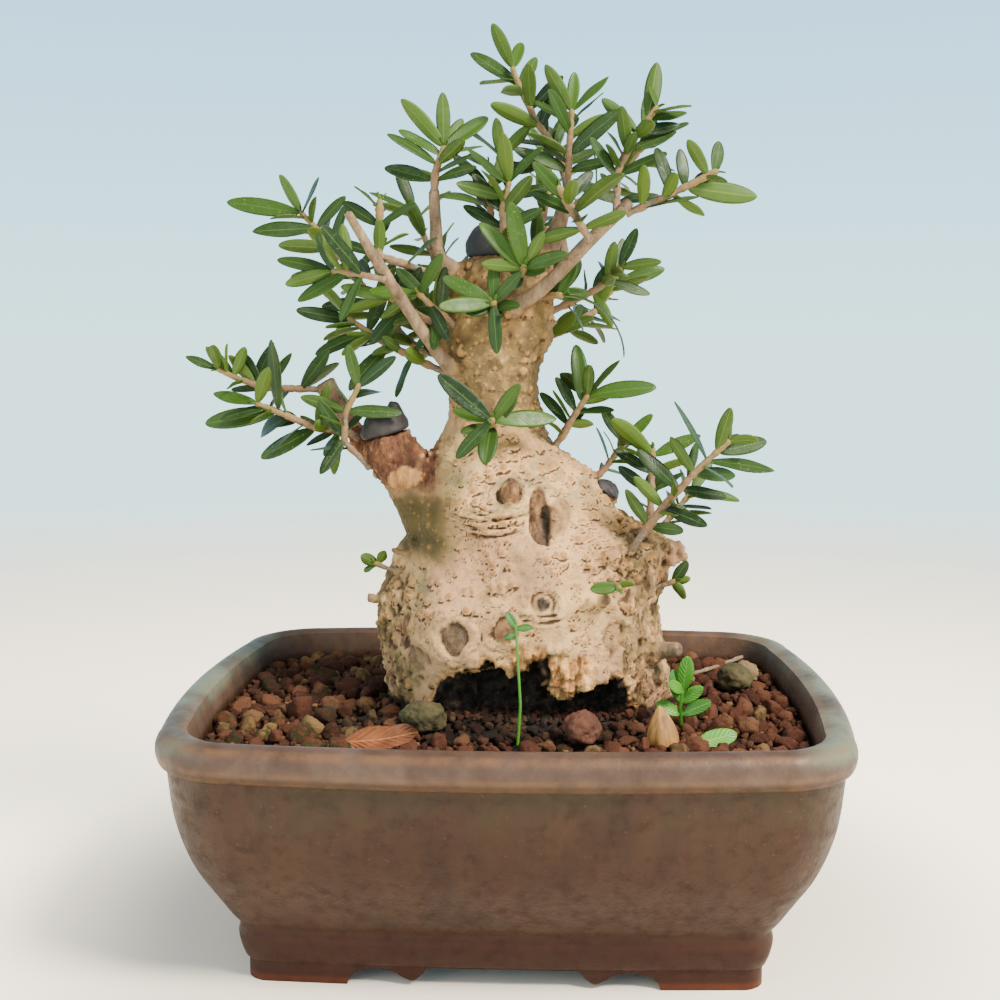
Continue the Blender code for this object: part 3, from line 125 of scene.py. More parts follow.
# Rotten hollow at the foot of the trunk's front: centre and half width along X, floor and depth
HOLLOW_X = 8.0
HOLLOW_HALF = 33.0
HOLLOW_FLOOR_Z = 71.4
HOLLOW_DEPTH = 0.30
# Knots on the front of the trunk: x, z, radius, height of the collar, depth of the eye
KNOTS = (
    (0.8, 138.5, 4.6, 1.5, 2.2),
    (11.8, 130.0, 5.4, 1.6, 3.0),
    (10.8, 107.2, 4.6, 0.9, 0.9),
    (-0.3, 98.8, 4.8, 1.1, 1.2),
    (-15.5, 95.8, 5.8, 1.6, 1.2),
    (32.0, 96.0, 5.0, 1.5, 1.0),
    (-27.0, 88.0, 5.0, 1.6, 0.9),
)
# Woody branches that grew as one with the trunk: points x, y, z, radius; some end in a saw cut
BRANCHES = (
    ("stump", ((-19, -2, 110, 9.0), (-23.2, -3.6, 124, 8.8), (-26.5, -5, 135, 8.9), (-30.6, -6.4, 142, 8.5),
               (-36.4, -7.8, 150, 7.5), (-37.6, -8.0, 154.4, 7.2)), 1),
    ("stump_fork", ((-34, -4, 140, 4.4), (-43.5, -0.8, 148.6, 3.8), (-49.6, 0, 156.0, 3.1),
                    (-53.6, -1, 163, 2.8), (-57.8, -2.5, 170.4, 3.4)), 2),
    ("up_left", ((-8, -1, 193, 7.0), (-17, -6, 202.5, 4.6), (-21.6, -9.4, 208.5, 2.6),
                 (-22.0, -10, 216, 2.0), (-22.4, -11, 228, 1.7)), 2),
    ("long_cut", ((-12, -8, 170, 3.0), (-19.7, -14, 177.5, 2.1), (-33, -22, 198, 1.8),
                  (-45.6, -30, 219.7, 1.4)), 2),
    ("right", ((-4, -7, 186, 3.4), (1.5, -16.5, 192.5, 2.5), (11.4, -20.5, 199.6, 2.2),
               (23, -23, 211.3, 2.0), (35.4, -24.4, 223.0, 1.7)), 2),
    ("top", ((1, 1, 197, 6.0), (9.5, 2, 208.5, 4.2), (15.0, 0.6, 219, 2.6), (16.8, 0, 229.5, 1.9)), 2),
)
# Short stubs and thorns on the trunk: start and end points, radii
STUBS = (
    ((40, -8, 116), (53.4, -10.0, 119.6), 4.4, 3.6),
    ((20, -2.5, 126), (29.6, -4.3, 136.8), 4.8, 4.2),
    ((24, -20, 106), (29.5, -33.2, 108.6), 2.4, 1.9),
    ((26, -17, 118), (32.2, -29.0, 121.6), 2.6, 2.0),
    ((1, -12, 137), (1.0, -27.6, 139.2), 2.2, 1.7),
    ((5, -24, 92), (6.4, -38.0, 92.6), 1.9, 1.6),
    ((-26, -8, 116), (-36.4, -9.5, 119.0), 1.8, 0.8),
    ((-30, -6, 100), (-44.6, -7.2, 103.6), 2.8, 1.7),
    ((39, -16, 88), (51.8, -22.0, 91.4), 3.0, 2.4),
    ((6, 22, 118), (8, 33.5, 121.0), 4.2, 3.4),
    ((-16, 20, 96), (-19, 34.6, 98.5), 3.4, 2.6),
    ((30, 20, 104), (38, 31.0, 107.0), 3.2, 2.4),
)
# Wound paste on the saw cuts: name, centre, axis, radius, height, height of its lump
PASTE_CAPS = (
    ("paste_stump", (-37.75, -8.02, 154.95), (-0.27, -0.045, 1), 7.4, 7.6, 3.2),
    ("paste_top", (-5.0, 0.3, 208.75), (0, 0, 1), 8.0, 9.0, 2.0),
    ("paste_shoulder", (29.9, -4.35, 137.15), (9.6, -1.8, 10.8), 3.9, 2.6, 0.8),
)

# Leaves
LEAF_THICK = 1.15
LEAF_WIDTH_RATIO = 0.29
LEAF_WIDTH_MIN = 4.0
LEAF_WIDTH_MAX = 6.4
LEAF_LIFT = 52.0
LEAF_ROWS = ((0.0, 0.15, 0.62), (0.34, 0.92, 1.0), (0.72, 0.86, 0.95))
LEAF_MARGIN = 0.75
TILT_SPREAD = 24.0
LEAF_ROOT_CLEAR = 1.6
VIEW_DIR = Vector((0.04, -0.99, 0.12))
# Leafy shoots. Each row: name, route of the shoot, its first and last radius, single leaves,
# pairs. A single leaf is: place along the shoot, heading in the front view in degrees, tilt
# towards the front, length, which side shows (1 upper, -1 lower, 0 edge). Pairs are: first
# place, last place, how many, first roll round the shoot, length.
SHOOTS = (
    ("shoot_low_left", ((-46, 0, 152), (-50, -7, 155.5), (-59, -14, 157), (-69, -18, 162), (-75, -20, 164.5)),
     (1.15, 0.8),
     ((0.22, -155, 10, 10, 0), (0.22, -99, 5, 14, -1), (0.42, -154, 12, 20, 1), (0.42, 76, 10, 14, -1),
      (0.8, -171, 15, 23, 1), (0.8, 92, 15, 22, 1), (1.0, 180, -8, 16, 1), (1.0, 68, 5, 14, -1)), None),
    ("shoot_far_left", ((-56.6, -2, 168), (-61.5, -4.5, 168.4), (-75, -10, 169), (-83, -12, 172),
                        (-88, -13, 174.5)),
     (1.15, 0.75),
     ((0.15, 51, 8, 16, 1), (0.15, 14, -16, 16, -1), (0.48, -173, -20, 12, 0), (0.48, 62, -12, 12, 1),
      (0.62, 131, 15, 12, -1), (0.62, 70, -20, 14, 1), (0.84, 134, 10, 13, -1), (0.84, 64, -14, 10, -1),
      (1.0, 159, 0, 11, 0), (1.0, 88, 25, 9, -1)), None),
    ("shoot_by_cut", ((-44, -11, 146), (-49.6, -16.5, 153), (-48.6, -18.6, 162), (-44.5, -19, 170)),
     (1.05, 0.8),
     ((0.4, -120, 10, 12, 1), (0.4, 120, 15, 14, 1), (0.7, 4, 15, 17, 1), (0.7, 165, 10, 15, -1),
      (0.98, 40, 5, 15, 1), (0.98, 100, -5, 13, 1)), None),
    ("shoot_long_side", ((-36.2, -25.5, 201), (-41, -25, 202), (-51, -22, 203.5)), (0.95, 0.75),
     ((0.35, 128, 12, 17, 1), (0.35, -118, 10, 15, 1), (0.68, 100, 5, 15, -1), (0.68, -150, 10, 17, 1),
      (1.0, 165, 5, 18, 1), (1.0, -165, 15, 15, -1), (1.0, 118, -20, 13, 1)), None),
    ("shoot_left_low", ((-18, -9, 173), (-27, -9, 177), (-40, -5, 183.5), (-50, -1, 190)), (1.3, 0.8),
     ((0.32, -118, 0, 14, 1), (0.32, 60, -10, 14, 1), (0.55, -132, 12, 17, 1), (0.55, 84, -14, 15, -1),
      (0.78, -160, 15, 18, 1), (0.78, 75, -10, 15, 1), (0.98, 125, 10, 17, -1), (0.98, 172, 0, 17, 1),
      (0.98, -135, -20, 14, -1)), None),
    ("shoot_left_back", ((-16, 5, 176), (-30, 8, 181), (-40, 12, 190), (-49, 15, 202), (-62, 18, 218),
                         (-68, 19, 224)), (1.4, 0.8),
     ((0.28, -165, -10, 17, 1), (0.28, 70, -20, 14, 1), (0.45, -176, 5, 17, 1), (0.45, 60, -12, 15, -1),
      (0.62, -174, 5, 19, 1), (0.62, 50, -5, 16, 1), (0.78, 180, -5, 17, -1), (0.78, 70, 5, 15, 1),
      (0.9, -178, 8, 20, 1), (0.9, 40, 0, 14, 1), (1.0, 172, 0, 26, 1), (1.0, 120, -12, 15, -1),
      (1.0, 55, 15, 13, 1)), None),
    ("shoot_cut_node", ((-22.5, -9.5, 203), (-33, -11.5, 206.6), (-39, -13.5, 208.4), (-38.8, -13, 214),
                        (-38.7, -11, 224.5)), (1.2, 1.1),
     ((0.25, 42, 12, 13, 1), (0.25, -60, 5, 12, 1), (0.5, 88, 25, 11, -1), (0.5, 160, 5, 15, 1),
      (0.78, 30, 5, 13, 1), (0.78, 150, -10, 14, 1)), None),
    ("shoot_up_left", ((-22.3, -11, 229), (-22, -12, 233), (-19.3, -12.5, 240)), (1.3, 0.85),
     ((0.12, 162, 0, 17, 1), (0.12, 18, 15, 13, 1), (0.3, 178, -16, 15, -1), (0.3, 30, -16, 13, 1),
      (0.55, 147, 8, 16, 1), (0.55, 38, 30, 12, -1), (0.8, 150, -18, 15, 1), (0.8, 20, -12, 13, 1),
      (1.0, 88, 8, 16, -1), (1.0, 131, 0, 19, -1), (1.0, 35, 0, 16, 1), (1.0, 62, -20, 11, -1)), None),
    ("shoot_mid_top", ((-5, 9, 203), (-6, 11.4, 212), (-6.5, 8.5, 221), (-6.5, 2, 230), (-3, 0, 239)),
     (1.4, 0.8),
     ((0.51, 160, 12, 15, 1), (0.51, 20, 10, 14, -1), (0.71, 140, 5, 16, 1), (0.71, 35, 15, 13, 1),
      (0.87, 165, -10, 14, 1), (0.87, 8, -12, 14, 1), (1.0, 140, 5, 15, 1), (1.0, 95, 20, 12, -1),
      (1.0, 45, -14, 13, -1)), None),
    ("shoot_star", ((-4.5, -15, 190.5), (-4.3, -20.5, 193.0), (-4.1, -25, 194.4)), (1.2, 0.9),
     ((0.92, -88, 16, 15, 1), (0.92, -173, 12, 15, 1), (0.92, 153, 10, 17, 1), (0.92, 92, 6, 13, 1),
      (0.92, 47, 16, 12, 1)), None),
    ("shoot_star_upper", ((3.4, -14, 201.0), (4.4, -20.5, 203.0), (4.8, -24.5, 204.6)), (1.2, 0.9),
     ((0.9, 134, 10, 18, 1), (0.9, 101, 4, 18, 1), (0.9, 172, 12, 13, -1), (0.9, 60, 10, 12, -1),
      (0.9, 20, 24, 13, 1)), None),
    ("shoot_star_low", ((-4.5, -16, 156.2), (-4.8, -22.5, 158.4), (-4.4, -27, 160.4)), (1.2, 0.9),
     ((0.92, 1, 10, 20, 1), (0.92, 50, 14, 14, 1), (0.92, 143, 8, 21, 1), (0.92, -134, 14, 15, 1),
      (0.92, 170, -4, 12, 1)), None),
    ("shoot_top", ((17.0, 0.0, 230.5), (14.6, -0.5, 240), (8.4, -3, 248), (3.6, -4, 257), (0.8, -4, 264)),
     (1.3, 0.75),
     ((0.14, 162, 16, 16, 1), (0.14, 30, -20, 14, 1), (0.34, 172, -10, 15, 1), (0.34, 60, -16, 13, -1),
      (0.5, 157, 12, 16, -1), (0.5, 70, -10, 13, 1), (0.66, 94, 18, 13, -1), (0.66, 40, -12, 14, 1),
      (0.86, 143, 5, 19, 1), (0.86, 60, -14, 10, -1), (1.0, 113, 8, 13.5, -1), (1.0, 78, -25, 10, 1)),
     None),
    ("shoot_top_front", ((17.6, -3.5, 231.0), (17.8, -8, 240), (18.4, -10, 250.5)), (1.1, 0.8),
     ((0.15, 158, 22, 15, 1), (0.15, 14, 15, 13, 1), (0.4, 150, 10, 14, -1), (0.4, 38, 8, 18, 1),
      (0.68, 118, 18, 13, 1), (0.68, 22, 10, 12, -1), (0.86, 140, -8, 12, 1), (0.86, 42, 15, 13, 1),
      (1.0, 122, 8, 15, -1), (1.0, 47, 0, 15, 1), (1.0, 84, -14, 12, 1)), None),
    ("shoot_right_tip", ((34.0, -22.2, 219.6), (43, -24, 223), (59.4, -26, 231)), (1.15, 0.9),
     ((0.1, 8, 12, 17, 1), (0.1, 88, 20, 12, -1), (0.45, 104, 0, 15, 1), (0.45, -30, -12, 12, -1),
      (0.62, -6, 5, 22, -1), (0.62, 95, -22, 12, 1), (0.9, 125, 10, 12, -1)), None),
    ("shoot_right_fork", ((30.6, -23.6, 218.3), (31.2, -18.5, 220.2), (32, -13.5, 225), (31.8, -12, 232),
                          (36, -12, 241), (43.2, -12, 251)), (1.15, 0.8),
     ((0.2, 150, 12, 15, 1), (0.2, 16, -16, 14, 1), (0.42, 130, 16, 14, 1), (0.42, 30, -8, 16, 1),
      (0.62, 100, 20, 12, -1), (0.62, 20, 10, 16, 1), (0.78, 136, -6, 15, -1), (0.78, 13, 0, 13, 1),
      (0.9, 80, -12, 18, -1), (0.9, 14, -20, 12, 1), (1.0, 108, 10, 7, 0)), None),
    ("shoot_inner_cut", ((22.6, -26.0, 213.6), (18.8, -30, 219.5), (14.6, -33, 226)), (1.2, 1.1),
     ((0.12, 18, 18, 13, -1), (0.12, -168, 14, 14, -1), (0.45, 44, 10, 18, -1), (0.45, 154, 12, 14, 1),
      (0.72, 50, -14, 12, 1), (0.72, 132, 12, 14, 1)), None),
    ("shoot_middle_right", ((11.0, -2, 147), (16.2, -4, 154), (19.5, -6, 160), (23.7, -8, 166.5)),
     (1.3, 0.8),
     ((0.4, 0, 10, 8, -1), (0.4, 127, 10, 14, 1), (0.66, 114, 14, 13, 1), (0.66, 8, -14, 12, 1),
      (0.84, 92, -4, 19, 1), (0.84, 20, 12, 13, -1), (1.0, 86, 16, 10, -1), (1.0, 45, 4, 15, 1),
      (1.0, 15, -2, 21, 1), (1.0, 132, -8, 14, 1)), None),
    ("shoot_lower_right", ((34, -20, 117), (39.4, -26, 126), (46.4, -28, 136), (55, -30, 146),
                           (63.5, -32, 154.5)), (1.4, 0.8),
     ((0.24, 121, 6, 13, -1), (0.24, -8, 14, 11, 1), (0.4, 135, 6, 13, -1), (0.4, -19, 10, 13, 1),
      (0.56, 135, 14, 17, 1), (0.56, -13, 2, 15, 1), (0.7, 124, -14, 13, -1), (0.7, -3, -12, 14, 1),
      (0.82, 119, 10, 20, 1), (0.82, -2, 8, 19, 1), (0.9, 74, 8, 14, -1), (0.9, 7, -14, 16, 1),
      (1.0, 88, 6, 8, -1), (1.0, 12, 14, 9, -1)), None),
    ("shoot_shoulder", ((42.6, -6, 118), (43.6, -6, 134), (44, -6, 150)), (1.2, 0.95),
     ((0.45, 140, 8, 13, 1), (0.45, 30, -14, 12, 1), (0.7, 146, 4, 14, 1), (0.7, 22, -6, 15, -1),
      (0.92, 137, 8, 19, -1), (0.92, 26, 6, 16, 1)), None),
    ("shoot_shoulder_back", ((45, 8, 116), (50, 10, 126), (58, 12, 135)), (1.2, 0.8),
     ((1.0, -10, -5, 16, 1), (1.0, 60, -10, 14, 1)), (0.45, 0.86, 3, 20, 14)),
    ("shoot_shoulder_top", ((22, 5, 135), (30, 8, 143), (36, 9, 151)), (1.15, 0.8),
     ((1.0, 45, 0, 13, 1), (1.0, 120, -8, 13, 1)), (0.5, 0.9, 2, 60, 12)),
    ("shoot_back_right", ((4, 10, 182), (18, 18, 187), (27, 22, 193), (34, 25, 202)), (1.4, 0.8),
     ((1.0, 20, -20, 17, 1), (1.0, 85, -10, 15, 1)), (0.42, 0.9, 3, 30, 16)),
    ("shoot_back_top", ((4, 9, 203), (9, 19, 218), (11, 24, 230), (12, 26, 242)), (1.4, 0.8),
     ((1.0, 70, -15, 15, 1), (1.0, 130, -10, 14, 1)), (0.4, 0.92, 4, 10, 15)),
    ("shoot_back_left", ((-10, 9, 193), (-20, 20, 203), (-28, 27, 214), (-33, 31, 226)), (1.4, 0.8),
     ((1.0, 110, -20, 16, 1), (1.0, 160, -10, 16, 1)), (0.38, 0.92, 4, 50, 16)),
    ("shoot_back_low", ((-4, 12, 152), (-2, 25, 158), (-3, 33, 166), (-1, 38, 177)), (1.4, 0.8),
     ((1.0, 60, -25, 14, 1), (1.0, 120, -20, 14, 1)), (0.45, 0.92, 2, 0, 15)),
    ("shoot_back_mid", ((-14, 8, 180), (-26, 20, 186), (-32, 28, 194)), (1.3, 0.8),
     ((1.0, 150, -25, 15, 1), (1.0, 90, -10, 15, 1)), (0.5, 0.9, 2, 25, 15)),
    ("shoot_right_back", ((15.6, 3, 222), (26, 9, 229), (35, 12, 236), (42, 13, 245)), (1.3, 0.8),
     ((1.0, 30, -10, 15, 1), (1.0, 90, 0, 14, 1)), (0.36, 0.92, 4, 65, 15)),
    ("shoot_under_right", ((8, -4, 190), (19, -6, 195), (27, -8, 199), (33, -9, 205)), (1.3, 0.8),
     ((0.55, -58, 10, 13, -1), (0.55, 60, 0, 12, 1), (0.78, -22, 5, 14, 1), (0.78, 80, -8, 12, -1),
      (1.0, 10, 5, 13, -1), (1.0, 65, 5, 13, 1)), None),
    ("shoot_inner_left", ((-18, -3, 186), (-28, -5, 191), (-36, -7, 196)), (1.3, 0.8),
     ((0.45, -70, 10, 14, 1), (0.45, 95, 12, 14, 1), (0.72, -130, 5, 15, 1), (0.72, 60, 15, 14, 1),
      (1.0, 170, 10, 16, 1), (1.0, -155, -8, 14, -1), (1.0, 110, 14, 14, 1)), None),
    ("shoot_neck_left", ((-13, -9, 185), (-20, -15, 191), (-26.5, -17, 197)), (1.2, 0.85),
     ((0.35, -112, 10, 13, 1), (0.35, 82, 10, 14, 1), (0.7, -62, 15, 14, 1), (0.7, 120, 10, 15, 1),
      (1.0, 176, 5, 15, 1), (1.0, 58, 18, 14, 1), (1.0, -148, 12, 14, -1)), None),
    ("shoot_top_inner", ((0, -6, 203), (-1, -12, 211), (-2, -15, 221), (0, -16, 229)), (1.3, 0.8),
     ((0.4, 152, 10, 14, 1), (0.4, 25, 14, 13, 1), (0.6, 125, 15, 15, 1), (0.6, 50, 12, 14, -1),
      (0.82, 166, 5, 15, -1), (0.82, 14, 8, 14, 1), (1.0, 142, 5, 16, 1), (1.0, 98, 12, 14, -1),
      (1.0, 50, 0, 15, 1)), None),
    ("shoot_hanging", ((9.0, -12, 196), (13.5, -17.0, 196.6), (15.5, -18.5, 196.4)), (1.1, 0.9),
     ((0.9, 60, 20, 11, 1),), None),
    ("sprout_left", ((-34, -6, 111), (-39.8, -8, 113.6), (-41.4, -8.4, 114.6)), (0.9, 0.8),
     ((0.9, 150, 5, 6, -1), (0.9, 60, 10, 5, -1), (0.9, -150, 8, 5, 0)), None),
    ("sprout_front", ((28, -20, 114), (32.0, -34.5, 113.0), (32.6, -37, 112.8)), (0.9, 0.8),
     ((0.9, 178, 8, 8, 1), (0.9, 20, 14, 5, -1)), None),
    ("sprout_right", ((40, -6, 106), (49.6, -7.0, 108.5), (51.0, -7.2, 109.5)), (0.95, 0.8),
     ((0.9, 60, 8, 8, 1), (0.9, -50, 5, 7, -1), (0.9, 5, -5, 6, -1)), None),
)
# The big pale leaf that arches over and hangs down on the right
HANGING_LEAF = {"shoot": "shoot_hanging", "at": 0.95, "heading": 4, "tilt": 6, "length": 30, "width": 8.4,
                "bend": 96}

random.seed(14)


# Shapes and helpers shared with the part


def smooth01(t):
    t = min(max(t, 0.0), 1.0)
    return t * t * (3.0 - 2.0 * t)


def lerp(a, b, t):
    return a + (b - a) * t


def catmull(points, per_span):
    # Smooth route through points of any dimension
    pts = [tuple(float(c) for c in p) for p in points]
    ends = [pts[0]] + pts + [pts[-1]]
    out = []
    for k in range(len(pts) - 1):
        a, b, c, d = ends[k:k + 4]
        for step in range(per_span):
            t = step / per_span
            out.append(tuple(
                0.5 * (2 * q + (r - p) * t + (2 * p - 5 * q + 4 * r - s) * t * t
                       + (3 * q - p - 3 * r + s) * t ** 3)
                for p, q, r, s in zip(a, b, c, d)))
    out.append(pts[-1])
    return out


def pot_ring(z, inset):
    radius = max(CORNER_RADIUS - CORNER_SHRINK * inset, CORNER_MIN)
    half_x = LIP_HALF_X - inset
    half_y = LIP_HALF_Y - inset
    bow = SIDE_BOW * max(1.0 - inset / BOW_FADE, 0.0)
    points = []
    # Right side, back, left side, front, each followed by its corner
    for quarter in range(4):
        run_half = (half_y if quarter % 2 == 0 else half_x) - radius
        out_half = half_x if quarter % 2 == 0 else half_y
        turn = Matrix.Rotation(math.radians(90 * quarter), 2)
        for step in range(SIDE_STEPS):
            t = -1.0 + 2.0 * step / SIDE_STEPS
            local = Vector((out_half + bow * (1 - t * t), t * run_half))
            points.append((*(turn @ local), z))
        for step in range(CORNER_STEPS):
            angle = math.radians(90.0 * step / CORNER_STEPS)
            local = Vector((out_half - radius + radius * math.cos(angle),
                            run_half + radius * math.sin(angle)))
            points.append((*(turn @ local), z))
    return points


def resample(ring, around, centre):
    # The ring's points at equal angles round a centre
    out = []
    for i in range(around):
        angle = FULL_TURN * i / around
        ray = Vector((math.cos(angle), math.sin(angle)))
        best = 0.0
        for k in range(len(ring)):
            a = Vector(ring[k][:2]) - centre
            b = Vector(ring[(k + 1) % len(ring)][:2]) - centre
            edge = b - a
            denom = ray.x * edge.y - ray.y * edge.x
            if abs(denom) < 1e-9:
                continue
            t = (a.x * edge.y - a.y * edge.x) / denom
            u = (a.x * ray.y - a.y * ray.x) / denom
            if t > 0 and -1e-6 <= u <= 1 + 1e-6:
                best = max(best, t)
        point = centre + ray * best
        out.append((point.x, point.y, ring[0][2]))
    return out


def soil_height(x, y, near_trunk):
    lump = math.sin(0.71 * x + 1.3) * math.sin(0.83 * y + 0.4) + 0.7 * math.sin(0.37 * x - 0.52 * y)
    lump += 0.5 * math.sin(1.15 * x + 0.9 * y + 2.0)
    return SOIL_EDGE_Z + SOIL_MOUND * smooth01(near_trunk) + SOIL_LUMP * lump


def section(z):
    rows = TRUNK_SECTIONS
    if z <= rows[0][0]:
        return rows[0][1:]
    for low, high in zip(rows, rows[1:]):
        if z <= high[0]:
            t = (z - low[0]) / (high[0] - low[0])
            return tuple(lerp(a, b, t) for a, b in zip(low[1:], high[1:]))
    return rows[-1][1:]


def trunk_relief(angle, z):
    # Folds and swellings of the old wood, in millimetres along the radius
    girth = smooth01((160 - z) / 50)
    wave = 1.5 * math.sin(3 * angle + 0.045 * z + 0.6) + 1.0 * math.sin(5 * angle - 0.07 * z)
    wave += 0.8 * math.sin(8 * angle + 0.11 * z + 1.9) + 0.5 * math.sin(11 * angle - 0.16 * z)
    return wave * lerp(0.35, 1.0, girth)


def knot_relief(x, y, z):
    total = 0.0
    for knot_x, knot_z, radius, rise, eye in KNOTS:
        d = math.hypot(x - knot_x, z - knot_z) / radius
        if y < 0 and d < 2.2:
            total += rise * math.exp(-((d - 0.9) / 0.55) ** 2) - eye * math.exp(-(d / 0.5) ** 2)
    return total


def route_lengths(route):
    return [(Vector(b[:3]) - Vector(a[:3])).length for a, b in zip(route, route[1:])]


def route_at(route, t):
    # Place and direction at a share of the route's length
    lengths = route_lengths(route)
    goal = t * sum(lengths)
    for k, length in enumerate(lengths):
        if goal <= length or k == len(lengths) - 1:
            a, b = Vector(route[k][:3]), Vector(route[k + 1][:3])
            return a.lerp(b, min(goal / length, 1.0)), (b - a).normalized()
        goal -= length


def pointing(heading, tilt):
    # Direction of a heading in the front view and a tilt towards the front, in degrees
    a, b = math.radians(heading), math.radians(tilt)
    return Vector((math.cos(a) * math.cos(b), -math.sin(b), math.sin(a) * math.cos(b)))


def splayed(axis, radial, lean):
    # Direction and upper side of a leaf that leans out from its stem
    along = axis * math.cos(lean) + radial * math.sin(lean)
    return along, axis * math.sin(lean) - radial * math.cos(lean)


def leaf_arc(base, along, up, reach, bend, s):
    # A point on the curved middle of a leaf, and the normal of its upper side there
    a = bend * s
    point = base + reach * (along * math.sin(a) - up * (1 - math.cos(a))) / bend
    return point, up * math.cos(a) + along * math.sin(a)


def leaf_mesh(base, along, up, length, width, bend, grow=0.0, start=0.0):
    # A pointed blade with a keel under it, which follows an arc and ends in a tip
    side = along.cross(up).normalized()
    bend = bend if abs(bend) > 1e-3 else 1e-3
    reach = length + grow
    points = []
    for place, wide, thick in LEAF_ROWS:
        mid, normal = leaf_arc(base, along, up, reach, bend, max(place, start))
        half = width * wide / 2 + grow
        rise = LEAF_THICK * thick / 2 + grow
        points += [mid - side * half + normal * rise, mid - normal * rise, mid + side * half + normal * rise]
    points.append(leaf_arc(base, along, up, reach, bend, 1.0)[0])
    faces = [(0, 1, 2)]
    last = 3 * (len(LEAF_ROWS) - 1)
    for o in range(0, last, 3):
        for i, j in ((0, 1), (1, 2), (2, 0)):
            crossed = o + i + 3 if i == 1 else o + j + 3
            start_corner = o + j if i == 1 else o + i
            faces += [(o + i, o + j, crossed), (start_corner, o + j + 3, o + i + 3)]
    faces += [(last + i, last + (i + 1) % 3, last + 3) for i in range(3)]
    return points, faces


def single_specs(singles, route, nearest):
    for place, heading, tilt, length, face in singles:
        base, axis = route_at(route, max(place, nearest))
        heading += random.uniform(-3, 3)
        tilt += random.uniform(-TILT_SPREAD, TILT_SPREAD)
        length = length / max(math.cos(math.radians(tilt)), 0.8)
        show = 0.25 if face == 0 else face * random.uniform(0.55, 0.95)
        up = VIEW_DIR * show + (axis * 0.6 + Vector((0, 0, 0.4))) * (1 - abs(show))
        yield base, pointing(heading, tilt), up, length, None, random.uniform(-6, 20)


def pair_specs(pairs, route):
    first, last, count, roll, length = pairs
    for k in range(count):
        base, axis = route_at(route, lerp(first, last, k / max(count - 1, 1)))
        across = axis.cross(Vector((0, 0, 1))).normalized()
        for half in (0, 180):
            turn = math.radians(roll + 90 * k + half + random.uniform(-14, 14))
            radial = Matrix.Rotation(turn, 3, axis) @ across
            along, up = splayed(axis, radial, math.radians(LEAF_LIFT + random.uniform(-8, 8)))
            yield base, along, up, length * random.uniform(0.88, 1.1), None, random.uniform(0, 22)


def leaf_specs(row, route):
    # Every leaf of a shoot as base, direction, upper side, length, width, bend
    name, _, _, singles, pairs = row
    specs = list(single_specs(singles, route, LEAF_ROOT_CLEAR / sum(route_lengths(route))))
    if pairs:
        specs += pair_specs(pairs, route)
    leaf = HANGING_LEAF
    if name == leaf["shoot"]:
        base, _ = route_at(route, leaf["at"])
        along = pointing(leaf["heading"], leaf["tilt"])
        specs.append((base, along, Vector((0.12, -0.35, 0.93)), leaf["length"], leaf["width"], leaf["bend"]))
    return specs


def placed_leaf(spec, trees, sisters):
    # The leaf as meant, or else bent a little until it clears the other pieces and, if it can,
    # the other leaves of its own shoot
    base, along, up, length, width, bend = spec
    along = along.normalized()
    base = base - along * random.uniform(0.1, 0.3)
    width = width or min(max(length * LEAF_WIDTH_RATIO, LEAF_WIDTH_MIN), LEAF_WIDTH_MAX)
    side = along.cross(up).normalized()
    tries = [(0, 0, 1.0)]
    for size in (10, 20, 32, 45):
        shrink = 1.0 if size < 32 else 0.85
        ways = ((1, 0), (-1, 0), (0, 1), (0, -1), (1, 1), (-1, -1), (1, -1), (-1, 1))
        tries += [(size * swing, size * nod, shrink) for swing, nod in ways]
    second = None
    for swing, nod, shrink in tries:
        turn = Matrix.Rotation(math.radians(nod), 3, side)
        direction = (turn @ along).normalized()
        lifted = (turn @ up).normalized()
        direction = (Matrix.Rotation(math.radians(swing), 3, lifted) @ direction).normalized()
        normal = (lifted - direction * lifted.dot(direction)).normalized()
        shape = (base, direction, normal, length * shrink, width, math.radians(bend))
        probe = BVHTree.FromPolygons(*leaf_mesh(*shape, grow=LEAF_MARGIN / 2, start=0.06))
        if any(tree.overlap(probe) for tree in trees):
            continue
        outer = BVHTree.FromPolygons(*leaf_mesh(*shape, start=0.3))
        if not any(tree.overlap(outer) for tree in sisters):
            sisters.append(outer)
            return shape
        second = second or shape
    return second


def in_wood(point, wood):
    near, normal, _, distance = wood.find_nearest(point)
    return (point - near).dot(normal) < 0 or distance < GAP


def seated_route(route, radius, wood):
    # The shoot's route, started where its round end just clears the wood that it grew from
    total = sum(route_lengths(route))
    steps = int(total / 0.1)
    start = 0.0
    for k in range(steps):
        mid, axis = route_at(route, k / steps)
        spoke = axis.orthogonal().normalized()
        ring = [mid + Matrix.Rotation(math.radians(30 * i), 3, axis) @ spoke * radius for i in range(12)]
        if any(in_wood(point, wood) for point in ring + [mid]):
            start = (k + 1) / steps
        elif start > 0:
            break
    kept = [tuple(route_at(route, start)[0])]
    walked = 0.0
    for step, point in zip(route_lengths(route), route[1:]):
        walked += step
        if walked > start * total + 1.5:
            kept.append(tuple(Vector(point)))
    return kept


def ramp_up(values, low, high):
    t = np.clip((values - low) / (high - low), 0.0, 1.0)
    return t * t * (3.0 - 2.0 * t)


def ramp_down(values, low, high):
    return 1 - ramp_up(values, low, high)


def bell(values):
    return np.exp(-values ** 2)


def angles(count):
    return [FULL_TURN * i / count for i in range(count)]


def node_tree_of(name):
    # Search tree of a CAD node, in millimetres
    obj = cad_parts[name]
    return BVHTree.FromPolygons([v.co / MM for v in obj.data.vertices],
                                [tuple(p.vertices) for p in obj.data.polygons])


def add_object(name, data):
    obj = bpy.data.objects.new(name, data)
    bpy.context.scene.collection.objects.link(obj)
    return obj


